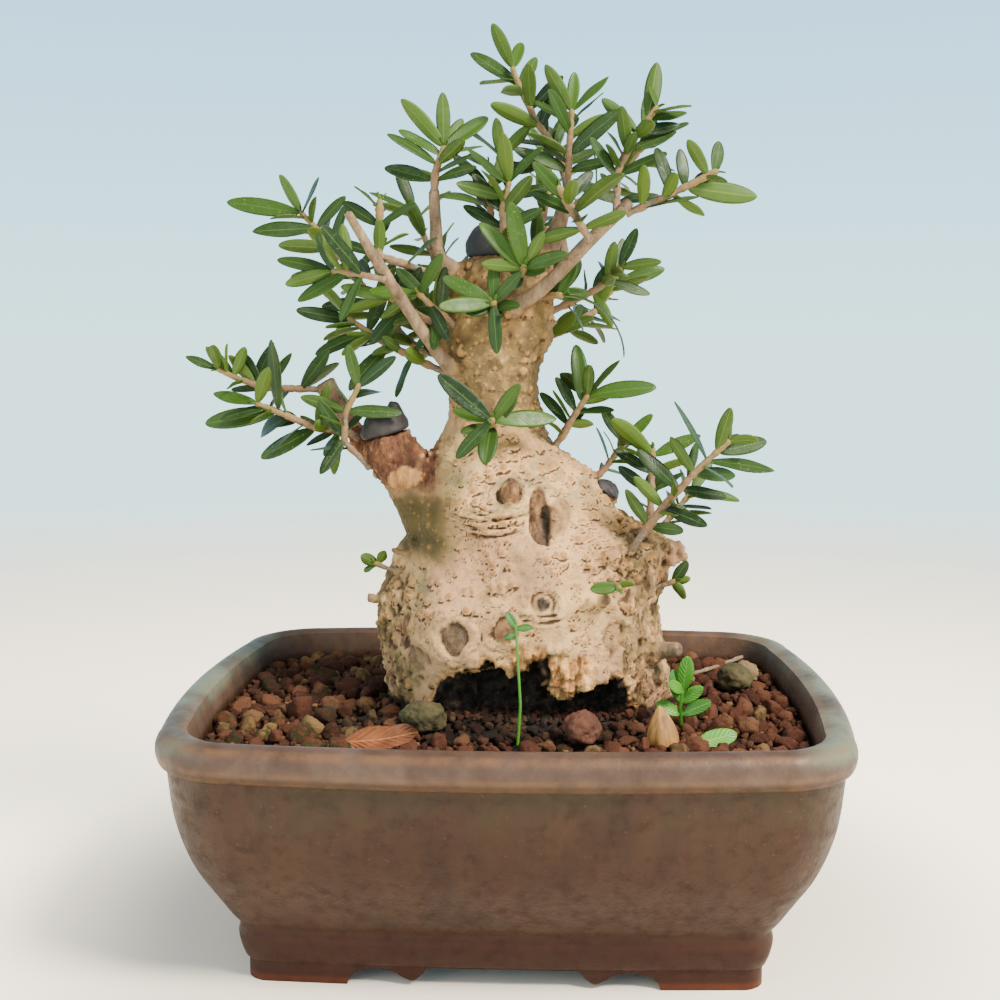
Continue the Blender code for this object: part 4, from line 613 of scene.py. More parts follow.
def write_vectors(mesh, masks):
    # masks are name -> one vector of three for each point
    for key, values in masks.items():
        layer = mesh.attributes.new(key, "FLOAT_VECTOR", "POINT")
        layer.data.foreach_set("vector", np.asarray(values, dtype=np.float32).ravel())


def read_vectors(items, key):
    values = np.zeros(len(items) * 3, np.float32)
    items.foreach_get(key, values)
    return values.reshape(-1, 3)


def turn_outward(mesh):
    bm = bmesh.new()
    bm.from_mesh(mesh)
    bmesh.ops.recalc_face_normals(bm, faces=bm.faces)
    bm.to_mesh(mesh)
    bm.free()


def new_object(name, points, faces, mats=(), mat_index=None, masks=None, smooth=True, outward=False):
    # points are millimetres, mats are keys of MATS
    mesh = bpy.data.meshes.new(name)
    mesh.from_pydata([(p[0] * MM, p[1] * MM, p[2] * MM) for p in points], [], faces)
    for mat in mats:
        mesh.materials.append(MATS[mat])
    if mat_index is not None:
        mesh.polygons.foreach_set("material_index", np.asarray(mat_index, dtype=np.int32))
    write_vectors(mesh, masks or {})
    if smooth:
        mesh.shade_smooth()
    if outward:
        turn_outward(mesh)
    return add_object(name, mesh)


def evaluated(obj):
    graph = bpy.context.evaluated_depsgraph_get()
    graph.update()
    return bpy.data.meshes.new_from_object(obj.evaluated_get(graph))


def dress(obj, slot, *nodes):
    # Every piece rides on the one body
    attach(obj, "root")
    if nodes:
        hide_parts(*nodes)


def loft(rows, around, caps=True):
    faces = []
    for row in range(rows - 1):
        for i in range(around):
            j = (i + 1) % around
            faces.append((row * around + i, row * around + j, (row + 1) * around + j, (row + 1) * around + i))
    if caps:
        faces.append(tuple(reversed(range(around))))
        faces.append(tuple(range((rows - 1) * around, rows * around)))
    return faces


def sweep(route, radii, sides, dome=True):
    # Rings along a route of vectors, carried along without twist, with a domed end
    points = []
    across = None
    last = len(route) - 1
    for k, (centre, radius) in enumerate(zip(route, radii)):
        ahead = (route[min(k + 1, last)] - route[max(k - 1, 0)]).normalized()
        across = ahead.orthogonal() if across is None else across - ahead * across.dot(ahead)
        across.normalize()
        other = ahead.cross(across)
        rings = [(0.0, 1.0)]
        if dome and k == last:
            rings += [(0.55, 0.8), (0.85, 0.42)]
        for lift, size in rings:
            top = centre + ahead * radius * lift
            points += [top + (across * math.cos(a) + other * math.sin(a)) * radius * size
                       for a in angles(sides)]
    return points, loft(len(points) // sides, sides)


def fine_route(route, step):
    # The route resampled at even steps, with its corners a little rounded
    count = max(int(sum(route_lengths(route)) / step), 4)
    out = [route_at(route, k / count)[0] for k in range(count + 1)]
    for _ in range(2):
        out = [out[0]] + [(a + b * 2 + c) / 4 for a, b, c in zip(out, out[1:], out[2:])] + [out[-1]]
    return out


# Materials

class Paint:
    # A material's node tree, with one short call for each kind of node

    def __init__(self, name, roughness=0.6, **fixed):
        self.mat = bpy.data.materials.new(name)
        self.mat.use_nodes = True
        self.tree = self.mat.node_tree
        self.shader = self.tree.nodes["Principled BSDF"]
        self.shader.inputs["Roughness"].default_value = roughness
        for key, value in fixed.items():
            self.shader.inputs[key.replace("_", " ")].default_value = value

    def node(self, kind, **settings):
        node = self.tree.nodes.new("ShaderNode" + kind)
        for key, value in settings.items():
            setattr(node, key, value)
        return node

    def put(self, socket, value):
        if isinstance(value, bpy.types.NodeSocket):
            self.tree.links.new(value, socket)
        elif isinstance(value, tuple) and len(value) == 3 and socket.type == "RGBA":
            socket.default_value = (*value, 1.0)
        else:
            socket.default_value = value

    def place(self):
        return self.node("TexCoord").outputs["Object"]

    def stretched(self, scale, turn=(0, 0, 0)):
        node = self.node("Mapping")
        self.put(node.inputs["Vector"], self.place())
        node.inputs["Scale"].default_value = scale
        node.inputs["Rotation"].default_value = turn
        return node.outputs["Vector"]

    def noise(self, scale, detail=3.0, rough=0.55, vector=None, distortion=0.0):
        node = self.node("TexNoise")
        self.put(node.inputs["Vector"], vector or self.place())
        node.inputs["Scale"].default_value = scale
        node.inputs["Detail"].default_value = detail
        node.inputs["Roughness"].default_value = rough
        node.inputs["Distortion"].default_value = distortion
        return node.outputs["Fac"]

    def cells(self, scale, feature="F1", vector=None, output="Distance"):
        node = self.node("TexVoronoi", feature=feature)
        self.put(node.inputs["Vector"], vector or self.place())
        node.inputs["Scale"].default_value = scale
        return node.outputs[output]

    def attribute(self, name, part=None):
        node = self.node("Attribute", attribute_name=name)
        if part is None:
            return node.outputs["Vector"]
        split = self.node("SeparateXYZ")
        self.put(split.inputs[0], node.outputs["Vector"])
        return split.outputs["XYZ".index(part)]

    def axis(self, part, vector=None):
        split = self.node("SeparateXYZ")
        self.put(split.inputs[0], vector or self.place())
        return split.outputs["XYZ".index(part)]

    def sum(self, operation, a, b=0.0, clamp=False):
        node = self.node("Math", operation=operation, use_clamp=clamp)
        self.put(node.inputs[0], a)
        self.put(node.inputs[1], b)
        return node.outputs[0]

    def span(self, value, low, high, to_low=0.0, to_high=1.0):
        node = self.node("MapRange", interpolation_type="SMOOTHSTEP")
        self.put(node.inputs["Value"], value)
        node.inputs["From Min"].default_value = low
        node.inputs["From Max"].default_value = high
        node.inputs["To Min"].default_value = to_low
        node.inputs["To Max"].default_value = to_high
        return node.outputs["Result"]

    def mix(self, share, a, b, blend="MIX"):
        node = self.node("Mix", data_type="RGBA", blend_type=blend)
        self.put(node.inputs["Factor"], share)
        self.put(node.inputs["A"] if False else node.inputs[6], a)
        self.put(node.inputs[7], b)
        return node.outputs[2]

    def ramp(self, value, *stops):
        node = self.node("ValToRGB")
        self.put(node.inputs["Fac"], value)
        band = node.color_ramp
        while len(band.elements) < len(stops):
            band.elements.new(0.5)
        for element, (at, color) in zip(band.elements, stops):
            element.position = at
            element.color = (*color, 1.0)
        return node.outputs["Color"]

    def finish(self, color=None, roughness=None, height=None, depth=0.0005, strength=1.0):
        if color is not None:
            self.put(self.shader.inputs["Base Color"], color)
        if roughness is not None:
            self.put(self.shader.inputs["Roughness"], roughness)
        if height is not None:
            bump = self.node("Bump")
            bump.inputs["Strength"].default_value = strength
            bump.inputs["Distance"].default_value = depth
            self.put(bump.inputs["Height"], height)
            self.put(self.shader.inputs["Normal"], bump.outputs["Normal"])
        return self.mat


def leaf_top_material():
    # Dark, leathery and glossy, with a thin pale midrib, faint side veins and whitish specks
    p = Paint("leaf_top", Specular_IOR_Level=0.2)
    across = p.sum("ABSOLUTE", p.attribute("leaf", "X"))
    along = p.attribute("leaf", "Y")
    hue = p.attribute("tint", "X")
    young = p.attribute("tint", "Y")
    dust = p.attribute("tint", "Z")
    base = p.ramp(hue, (0.0, (0.006, 0.022, 0.009)), (0.45, (0.012, 0.038, 0.012)),
                  (1.0, (0.038, 0.092, 0.014)))
    base = p.mix(young, base, (0.085, 0.200, 0.016))
    mottle = p.noise(420, 4, 0.6)
    base = p.mix(p.span(mottle, 0.35, 0.75, 0.0, 0.3), base, (0.042, 0.092, 0.032))
    slope = p.sum("SUBTRACT", along, p.sum("MULTIPLY", across, 0.16))
    veins = p.sum("ABSOLUTE", p.sum("SINE", p.sum("MULTIPLY", slope, 46.0)))
    base = p.mix(p.span(veins, 0.0, 0.16, 0.22, 0.0), base, (0.060, 0.130, 0.024))
    base = p.mix(p.span(across, 0.03, 0.085, 0.75, 0.0), base, (0.110, 0.190, 0.030))
    base = p.mix(p.span(across, 0.88, 0.99, 0.0, 0.5), base, (0.140, 0.220, 0.042))
    base = p.mix(p.span(along, 0.0, 0.07, 0.8, 0.0), base, (0.170, 0.200, 0.034))
    dots = p.cells(1500)
    rare = p.noise(600, 2)
    specks = p.sum("MULTIPLY", p.span(dots, 0.10, 0.24, 1.0, 0.0), p.span(rare, 0.50, 0.62))
    specks = p.sum("MULTIPLY", specks, dust)
    base = p.mix(specks, base, (0.60, 0.66, 0.56))
    bloom = p.sum("MULTIPLY", p.span(p.noise(260, 3), 0.48, 0.72), p.sum("MULTIPLY", dust, 0.30))
    base = p.mix(bloom, base, (0.14, 0.20, 0.13))
    base = p.mix(1.0, base, (0.56, 0.54, 0.40), "MULTIPLY")
    rough = p.sum("ADD", p.span(mottle, 0.3, 0.8, 0.32, 0.50), p.sum("MULTIPLY", dust, 0.16))
    height = p.sum("ADD", p.sum("MULTIPLY", veins, 0.25), p.sum("MULTIPLY", p.noise(1400, 2), 0.5))
    return p.finish(base, rough, height, 0.00012, 0.6)


def leaf_under_material():
    # Paler yellow-green and matt, with a raised midrib
    p = Paint("leaf_under", Specular_IOR_Level=0.25)
    across = p.sum("ABSOLUTE", p.attribute("leaf", "X"))
    along = p.attribute("leaf", "Y")
    hue = p.attribute("tint", "X")
    base = p.ramp(hue, (0.0, (0.048, 0.105, 0.017)), (0.5, (0.076, 0.160, 0.022)),
                  (1.0, (0.125, 0.225, 0.030)))
    base = p.mix(p.span(p.noise(350, 3), 0.35, 0.8, 0.0, 0.4), base, (0.130, 0.220, 0.052))
    slope = p.sum("SUBTRACT", along, p.sum("MULTIPLY", across, 0.16))
    veins = p.sum("ABSOLUTE", p.sum("SINE", p.sum("MULTIPLY", slope, 46.0)))
    base = p.mix(p.span(veins, 0.0, 0.2, 0.16, 0.0), base, (0.052, 0.115, 0.016))
    base = p.mix(p.span(across, 0.04, 0.11, 0.6, 0.0), base, (0.200, 0.300, 0.055))
    base = p.mix(p.span(across, 0.90, 0.99, 0.0, 0.45), base, (0.190, 0.280, 0.060))
    base = p.mix(p.span(along, 0.0, 0.08, 0.7, 0.0), base, (0.215, 0.235, 0.042))
    freckle = p.sum("MULTIPLY", p.span(p.cells(900), 0.06, 0.13, 1.0, 0.0),
                    p.span(p.noise(300, 2), 0.55, 0.65))
    base = p.mix(p.sum("MULTIPLY", freckle, 0.5), base, (0.052, 0.045, 0.012))
    base = p.mix(1.0, base, (0.60, 0.56, 0.40), "MULTIPLY")
    return p.finish(base, 0.6, p.noise(1200, 3), 0.0001, 0.5)


def twig_material():
    # Thin greyish pink bark with fine long cracks and pale dots, greener at the tip
    p = Paint("twig_bark", Specular_IOR_Level=0.3)
    along = p.attribute("leaf", "Y")
    node = p.attribute("tint", "Z")
    flow = p.noise(900, 4, 0.6, distortion=0.6)
    base = p.ramp(flow, (0.25, (0.080, 0.055, 0.038)), (0.55, (0.200, 0.142, 0.092)),
                  (0.8, (0.36, 0.265, 0.175)))
    base = p.mix(p.span(p.noise(160, 3), 0.42, 0.68, 0.0, 0.6), base, (0.130, 0.082, 0.050))
    base = p.mix(p.span(along, 0.55, 1.0, 0.0, 0.8), base, (0.180, 0.175, 0.048))
    base = p.mix(p.sum("MULTIPLY", node, 0.7), base, (0.230, 0.115, 0.038))
    dots = p.span(p.cells(1100), 0.10, 0.22, 1.0, 0.0)
    base = p.mix(p.sum("MULTIPLY", dots, 0.5), base, (0.46, 0.33, 0.19))
    height = p.sum("ADD", flow, p.sum("MULTIPLY", dots, 0.5))
    return p.finish(base, 0.78, height, 0.0002, 0.8)


def bark_material():
    # Pinkish cream bark with brown dashes and ochre warts, painted shade in its creases and under the warts,
    # a painted highlight on its raised parts, and greyish green where it is smooth. The neck is orange-brown,
    # the hollow black and the torn wood at its edge tan
    p = Paint("old_bark", Specular_IOR_Level=0.22)
    relief = p.attribute("relief", "X")
    cavity = p.attribute("relief", "Y")
    torn = p.attribute("relief", "Z")
    neck = p.attribute("zone", "X")
    smooth_green = p.attribute("zone", "Y")
    flake = p.attribute("zone", "Z")
    eye = p.attribute("extra", "X")
    twig = p.attribute("extra", "Y")
    rough_side = p.attribute("extra", "Z")
    wart = p.attribute("spots", "X")
    plug = p.attribute("spots", "Y")
    grey = p.attribute("spots", "Z")
    broad = p.noise(38, 4, 0.6)
    fine = p.noise(420, 5, 0.65)
    tiny = p.noise(1500, 3, 0.6)
    base = p.ramp(broad, (0.30, (0.50, 0.285, 0.130)), (0.48, (0.64, 0.375, 0.165)),
                  (0.62, (0.70, 0.42, 0.175)),
                  (0.78, (0.46, 0.29, 0.115)))
    veil = p.noise(75, 5, 0.62, p.stretched((1, 1, 1), (0.4, 0.2, 0.9)))
    base = p.mix(p.sum("MULTIPLY", p.span(veil, 0.42, 0.58),
                       p.sum("ADD", p.sum("MULTIPLY", grey, 0.80), 0.12)),
                 base, (0.190, 0.172, 0.080))
    base = p.mix(p.span(fine, 0.50, 0.72, 0.0, 0.45), base, (0.275, 0.155, 0.070))
    flat = p.stretched((1, 1, 2.6))
    dashes = p.sum("MULTIPLY", p.span(p.noise(430, 4, 0.6, flat), 0.60, 0.68),
                   p.span(p.noise(55, 4), 0.47, 0.62))
    base = p.mix(p.sum("MULTIPLY", dashes, 0.9), base, (0.085, 0.042, 0.020))
    tall = p.stretched((1, 1, 0.42))
    cracks = p.span(p.noise(300, 5, 0.65, tall), 0.46, 0.36)
    base = p.mix(p.sum("MULTIPLY", cracks, p.sum("MULTIPLY", rough_side, 0.85)), base, (0.110, 0.066, 0.032))
    base = p.mix(p.sum("MULTIPLY", rough_side, p.span(p.noise(95, 5), 0.34, 0.54, 0.35, 1.0)), base,
                 (0.185, 0.118, 0.046))
    pink = p.sum("MULTIPLY",
                 p.span(p.noise(48, 4, 0.6, p.stretched((1, 1, 1), (1.2, 0.1, 0.3))), 0.46, 0.62), 0.6)
    base = p.mix(pink, base, (0.50, 0.255, 0.135))
    orange = p.ramp(p.noise(190, 5, 0.65), (0.30, (0.078, 0.044, 0.018)), (0.50, (0.160, 0.098, 0.035)),
                    (0.64, (0.265, 0.155, 0.052)), (0.8, (0.125, 0.102, 0.038)))
    scale = p.span(p.cells(420), 0.16, 0.30, 1.0, 0.0)
    orange = p.mix(p.sum("MULTIPLY", scale, p.span(broad, 0.40, 0.60, 0.1, 0.65)), orange,
                   (0.43, 0.230, 0.080))
    base = p.mix(neck, base, orange)
    olive = p.ramp(p.noise(150, 4), (0.3, (0.066, 0.052, 0.018)), (0.55, (0.115, 0.085, 0.030)),
                   (0.8, (0.190, 0.135, 0.052)))
    dots = p.span(p.cells(520), 0.10, 0.19, 1.0, 0.0)
    olive = p.mix(p.sum("MULTIPLY", dots, 0.75), olive, (0.40, 0.260, 0.100))
    olive = p.mix(1.0, olive, (0.74, 0.72, 0.66), "MULTIPLY")
    base = p.mix(smooth_green, base, olive)
    peel = p.ramp(p.noise(260, 5, 0.7, p.stretched((1, 1, 0.45))), (0.30, (0.036, 0.012, 0.008)),
                  (0.47, (0.105, 0.038, 0.020)), (0.60, (0.190, 0.082, 0.036)), (0.74, (0.46, 0.200, 0.062)))
    base = p.mix(flake, base, peel)
    wood = p.ramp(p.noise(330, 5, 0.65, p.stretched((1, 1, 0.35))), (0.3, (0.088, 0.054, 0.032)),
                  (0.55, (0.220, 0.140, 0.078)), (0.8, (0.38, 0.26, 0.150)))
    base = p.mix(twig, base, wood)
    # Painted shade where the skin lies low and a painted highlight where it stands high, read from the relief
    # mask
    base = p.mix(p.span(relief, 0.50, 0.18, 0.0, 0.95), base, (0.068, 0.034, 0.016))
    base = p.mix(p.span(relief, 0.66, 0.98, 0.0, 0.45), base, (0.80, 0.50, 0.205))
    bare = p.sum("SUBTRACT", 1.0, p.sum("MULTIPLY", flake, 0.8))
    base = p.mix(p.sum("MULTIPLY", p.span(wart, 0.05, 0.6, 0.0, 0.85), bare), base, (0.38, 0.175, 0.052))
    # Painted shade under each wart, where the wart colour is below zero
    base = p.mix(p.sum("MULTIPLY", p.span(wart, -0.05, -0.6, 0.0, 0.95), bare), base, (0.060, 0.027, 0.012))
    split = p.ramp(p.noise(300, 5, 0.7, p.stretched((1, 1, 0.3))), (0.28, (0.090, 0.034, 0.013)),
                   (0.42, (0.360, 0.155, 0.052)), (0.55, (0.80, 0.390, 0.120)), (0.72, (0.95, 0.60, 0.245)))
    base = p.mix(torn, base, split)
    knot = p.ramp(p.noise(500, 4), (0.35, (0.030, 0.019, 0.013)), (0.65, (0.120, 0.082, 0.056)))
    knot = p.mix(plug, knot, p.ramp(p.noise(420, 4, 0.6, tall), (0.32, (0.050, 0.020, 0.009)),
                                    (0.52, (0.200, 0.095, 0.040)), (0.70, (0.44, 0.250, 0.100))))
    base = p.mix(eye, base, knot)
    rot = p.ramp(p.noise(240, 5, 0.7), (0.35, (0.006, 0.004, 0.003)), (0.52, (0.028, 0.016, 0.010)),
                 (0.66, (0.095, 0.050, 0.024)), (0.80, (0.300, 0.180, 0.070)))
    base = p.mix(cavity, base, rot)
    height = p.sum("ADD", p.sum("MULTIPLY", fine, 0.8), p.sum("MULTIPLY", tiny, 0.5))
    height = p.sum("SUBTRACT", height, p.sum("MULTIPLY", cracks, p.sum("MULTIPLY", rough_side, 1.2)))
    height = p.sum("SUBTRACT", height, p.sum("MULTIPLY", dashes, 0.7))
    height = p.sum("ADD", height, p.sum("MULTIPLY", scale, p.sum("MULTIPLY", neck, 0.35)))
    return p.finish(base, p.span(fine, 0.3, 0.8, 0.72, 0.95), height, 0.0007, 1.0)


def paste_material():
    p = Paint("wound_paste", Specular_IOR_Level=0.35)
    cloud = p.noise(130, 5, 0.6)
    base = p.ramp(cloud, (0.30, (0.014, 0.012, 0.012)), (0.52, (0.028, 0.023, 0.022)),
                  (0.75, (0.052, 0.045, 0.044)))
    base = p.mix(p.span(p.noise(700, 3), 0.6, 0.72, 0.0, 0.5), base, (0.095, 0.068, 0.048))
    return p.finish(base, p.span(cloud, 0.3, 0.8, 0.55, 0.8), p.noise(320, 5, 0.6), 0.0006, 0.6)


def glaze_material():
    # Brown glaze, mottled, with runs down the sides, greenish under the lip, bronze on the edges, partly
    # where it thins over them and partly a painted highlight, and blue-green on the lip of the short sides
    p = Paint("pot_glaze", Specular_IOR_Level=0.22)
    z = p.axis("Z")
    x = p.sum("ABSOLUTE", p.axis("X"))
    cloud = p.noise(26, 5, 0.62)
    grain = p.noise(230, 5, 0.65)
    runs = p.noise(120, 5, 0.6, p.stretched((1, 1, 0.16)), 0.3)
    base = p.ramp(cloud, (0.25, (0.034, 0.019, 0.011)), (0.45, (0.054, 0.031, 0.018)),
                  (0.62, (0.068, 0.043, 0.025)),
                  (0.8, (0.048, 0.033, 0.021)))
    base = p.mix(p.span(runs, 0.44, 0.66, 0.0, 0.5), base, (0.094, 0.062, 0.036))
    base = p.mix(p.span(grain, 0.50, 0.72, 0.0, 0.55), base, (0.028, 0.015, 0.009))
    rusty = p.span(p.noise(60, 4, 0.6, p.stretched((1, 1, 0.5), (0.3, 0.1, 0.2))), 0.52, 0.70, 0.0, 0.55)
    base = p.mix(rusty, base, (0.082, 0.034, 0.017))
    green = p.sum("MULTIPLY", p.span(z, 0.046, 0.0645, 0.0, 1.0), p.span(z, 0.0665, 0.0680, 1.0, 0.0))
    green = p.sum("MULTIPLY", green, p.span(p.noise(45, 4), 0.42, 0.62, 0.05, 0.75))
    base = p.mix(green, base, (0.054, 0.062, 0.032))
    pale = p.sum("MULTIPLY", p.span(p.cells(420), 0.08, 0.20, 1.0, 0.0), p.span(p.noise(120, 4), 0.50, 0.62))
    base = p.mix(p.sum("MULTIPLY", pale, 0.6), base, (0.175, 0.125, 0.072))
    lip = p.span(z, 0.0672, 0.0695)
    slate = p.ramp(p.noise(70, 5, 0.62), (0.3, (0.066, 0.042, 0.031)), (0.5, (0.115, 0.076, 0.057)),
                   (0.68, (0.170, 0.122, 0.092)))
    sides = p.sum("MULTIPLY", p.span(x, 0.074, 0.094), p.span(z, 0.0700, 0.0745))
    sea = p.sum("MULTIPLY", sides, p.span(p.noise(34, 4), 0.38, 0.62, 0.15, 0.9))
    slate = p.mix(sea, slate, (0.260, 0.345, 0.235))
    base = p.mix(p.sum("MULTIPLY", lip, 0.85), base, slate)
    # Bronze on the edges: partly thin glaze, partly a painted highlight
    edge = p.sum("MULTIPLY", p.attribute("edge", "X"), p.span(p.noise(150, 4, 0.6), 0.36, 0.60, 0.25, 1.0))
    base = p.mix(edge, base, (0.300, 0.155, 0.058))
    inner = p.span(p.noise(260, 3, 0.6, p.stretched((1, 1, 0.2))), 0.45, 0.6)
    streak = p.sum("MULTIPLY", p.attribute("edge", "Y"), inner)
    base = p.mix(p.sum("MULTIPLY", streak, 0.6), base, (0.190, 0.120, 0.058))
    foot = p.span(z, 0.022, 0.012)
    base = p.mix(p.sum("MULTIPLY", foot, 0.6), base, (0.064, 0.029, 0.015))
    line = p.span(z, 0.0026, 0.0008)
    base = p.mix(p.sum("MULTIPLY", line, 0.8), base, (0.290, 0.165, 0.055))
    clay = p.attribute("edge", "Z")
    base = p.mix(clay, base,
                 p.ramp(p.noise(160, 4), (0.3, (0.095, 0.042, 0.022)), (0.7, (0.185, 0.088, 0.046))))
    base = p.mix(1.0, base, (0.60, 0.53, 0.51), "MULTIPLY")
    base = p.mix(p.span(z, 0.0690, 0.0655), base, (0.74, 0.51, 0.37), "MULTIPLY")
    base = p.mix(p.span(z, 0.018, 0.012), base, (0.80, 0.56, 0.44), "MULTIPLY")
    rough = p.span(grain, 0.3, 0.75, 0.42, 0.68)
    height = p.sum("ADD", p.sum("MULTIPLY", grain, 0.6), p.sum("MULTIPLY", p.noise(900, 3), 0.35))
    return p.finish(base, rough, height, 0.0005, 0.6)


def granule_material():
    # Baked clay crumbs: most red-brown, some ochre, some dark and mossy
    p = Paint("clay_granules", Specular_IOR_Level=0.2)
    hue = p.attribute("tint", "X")
    moss = p.attribute("tint", "Y")
    wet = p.attribute("tint", "Z")
    base = p.ramp(hue, (0.0, (0.040, 0.014, 0.008)), (0.35, (0.075, 0.026, 0.014)),
                  (0.7, (0.115, 0.043, 0.023)),
                  (0.9, (0.165, 0.074, 0.038)), (1.0, (0.235, 0.150, 0.062)))
    crumbs = p.noise(900, 5, 0.7)
    base = p.mix(p.span(crumbs, 0.50, 0.72, 0.0, 0.55), base, (0.180, 0.078, 0.042))
    base = p.mix(p.span(crumbs, 0.46, 0.30, 0.0, 0.65), base, (0.022, 0.008, 0.005))
    up = p.node("NewGeometry")
    tilt = p.axis("Z", up.outputs["Normal"])
    growth = p.sum("MULTIPLY", moss, p.span(p.noise(500, 4), 0.40, 0.58))
    growth = p.sum("MULTIPLY", growth, p.span(tilt, -0.6, 0.5, 0.35, 1.0))
    green = p.ramp(p.noise(260, 4), (0.3, (0.016, 0.020, 0.006)), (0.6, (0.040, 0.044, 0.013)),
                   (0.85, (0.105, 0.095, 0.030)))
    base = p.mix(growth, base, green)
    base = p.mix(p.sum("MULTIPLY", wet, 0.93), base, (0.010, 0.007, 0.005))
    base = p.mix(1.0, base, (0.76, 0.72, 0.66), "MULTIPLY")
    height = p.sum("ADD", crumbs, p.sum("MULTIPLY", p.noise(2600, 3), 0.4))
    return p.finish(base, 0.93, height, 0.0008, 1.0)


def earth_material():
    p = Paint("earth_bed", Specular_IOR_Level=0.2)
    humus = p.attribute("tint", "X")
    crumbs = p.noise(520, 5, 0.7)
    base = p.ramp(crumbs, (0.32, (0.012, 0.006, 0.004)), (0.52, (0.034, 0.014, 0.009)),
                  (0.72, (0.085, 0.036, 0.020)))
    black = p.ramp(p.noise(380, 5, 0.7), (0.35, (0.004, 0.0035, 0.003)), (0.6, (0.011, 0.008, 0.006)),
                   (0.8, (0.032, 0.023, 0.014)))
    base = p.mix(humus, base, black)
    return p.finish(base, 0.95, crumbs, 0.0012, 1.0)


def pebble_material(name, dark, middle, light, moss):
    p = Paint(name, Specular_IOR_Level=0.25)
    cloud = p.noise(170, 5, 0.65)
    base = p.ramp(cloud, (0.3, dark), (0.52, middle), (0.75, light))
    base = p.mix(p.span(p.noise(800, 4), 0.52, 0.7, 0.0, 0.5), base, dark)
    if moss > 0:
        up = p.node("NewGeometry")
        tilt = p.axis("Z", up.outputs["Normal"])
        cover = p.sum("MULTIPLY", p.span(tilt, -0.3, 0.5), p.span(p.noise(240, 4), 0.40, 0.58, 0.0, moss))
        base = p.mix(cover, base, (0.050, 0.047, 0.016))
    return p.finish(base, 0.88, p.sum("ADD", cloud, p.sum("MULTIPLY", p.noise(1400, 4), 0.4)), 0.0006, 0.8)


def dry_leaf_material():
    p = Paint("dry_leaf_tan", Specular_IOR_Level=0.3)
    across = p.sum("ABSOLUTE", p.attribute("leaf", "X"))
    along = p.attribute("leaf", "Y")
    base = p.ramp(p.noise(110, 5, 0.6), (0.28, (0.125, 0.045, 0.019)), (0.50, (0.260, 0.095, 0.036)),
                  (0.72, (0.42, 0.170, 0.062)))
    slope = p.sum("SUBTRACT", along, p.sum("MULTIPLY", across, 0.3))
    veins = p.sum("ABSOLUTE", p.sum("SINE", p.sum("MULTIPLY", slope, 30.0)))
    base = p.mix(p.span(veins, 0.0, 0.14, 0.4, 0.0), base, (0.52, 0.235, 0.090))
    base = p.mix(p.span(across, 0.02, 0.07, 0.8, 0.0), base, (0.56, 0.26, 0.105))
    base = p.mix(p.span(across, 0.86, 1.0, 0.0, 0.8), base, (0.062, 0.020, 0.009))
    spots = p.span(p.cells(260), 0.07, 0.16, 1.0, 0.0)
    base = p.mix(p.sum("MULTIPLY", spots, 0.7), base, (0.080, 0.028, 0.013))
    base = p.mix(1.0, base, (0.80, 0.70, 0.58), "MULTIPLY")
    return p.finish(base, 0.5, p.sum("ADD", veins, p.noise(500, 4)), 0.0003, 0.6)


def young_leaf_material():
    p = Paint("young_leaf", Specular_IOR_Level=0.4)
    across = p.sum("ABSOLUTE", p.attribute("leaf", "X"))
    along = p.attribute("leaf", "Y")
    hue = p.attribute("tint", "X")
    base = p.ramp(hue, (0.0, (0.026, 0.100, 0.015)), (0.5, (0.060, 0.235, 0.014)),
                  (1.0, (0.130, 0.390, 0.012)))
    base = p.mix(p.span(p.noise(300, 4), 0.40, 0.75, 0.0, 0.4), base, (0.100, 0.280, 0.016))
    slope = p.sum("SUBTRACT", along, p.sum("MULTIPLY", across, 0.25))
    veins = p.sum("ABSOLUTE", p.sum("SINE", p.sum("MULTIPLY", slope, 26.0)))
    base = p.mix(p.span(veins, 0.0, 0.16, 0.35, 0.0), base, (0.170, 0.390, 0.040))
    base = p.mix(p.span(across, 0.03, 0.10, 0.7, 0.0), base, (0.230, 0.440, 0.060))
    base = p.mix(1.0, base, (0.62, 0.66, 0.9), "MULTIPLY")
    return p.finish(base, 0.45, veins, 0.0002, 0.5)


def husk_material():
    p = Paint("seed_husk_tan", Specular_IOR_Level=0.3)
    fibres = p.noise(520, 5, 0.6, p.stretched((1, 1, 0.12)))
    base = p.ramp(fibres, (0.30, (0.170, 0.078, 0.026)), (0.52, (0.400, 0.200, 0.050)),
                  (0.74, (0.66, 0.370, 0.100)))
    base = p.mix(p.span(p.noise(90, 3), 0.5, 0.7, 0.0, 0.5), base, (0.130, 0.055, 0.021))
    return p.finish(base, 0.6, fibres, 0.0004, 0.7)


def net_material():
    p = Paint("net_green", 0.6)
    base = p.ramp(p.noise(260, 4), (0.3, (0.030, 0.062, 0.038)), (0.7, (0.060, 0.105, 0.070)))
    return p.finish(base, 0.6, p.noise(700, 3), 0.0002, 0.4)


# Pot: the CAD pot's rings with many more steps, and its profile rounded between the same points

def fine_profile():
    inside = POT_INSIDE + ((FLOOR_Z, FLOOR_INSET),)
    groups = ((POT_OUTSIDE[:2], 2), (POT_OUTSIDE[1:3], 1), (POT_OUTSIDE[2:12], 4), (POT_OUTSIDE[11:], 4),
              (inside, 5))
    kept = []
    for group, steps in groups:
        for row in catmull(group, steps)[:-1]:
            if not kept or math.dist(row, kept[-1]) > 0.05:
                kept.append(row)
    return kept + [inside[-1]]


def prism(name, ends):
    # A closed cutter between two outlines
    around = len(ends[0])
    return new_object(name, ends[0] + ends[1], loft(2, around), smooth=False, outward=True)


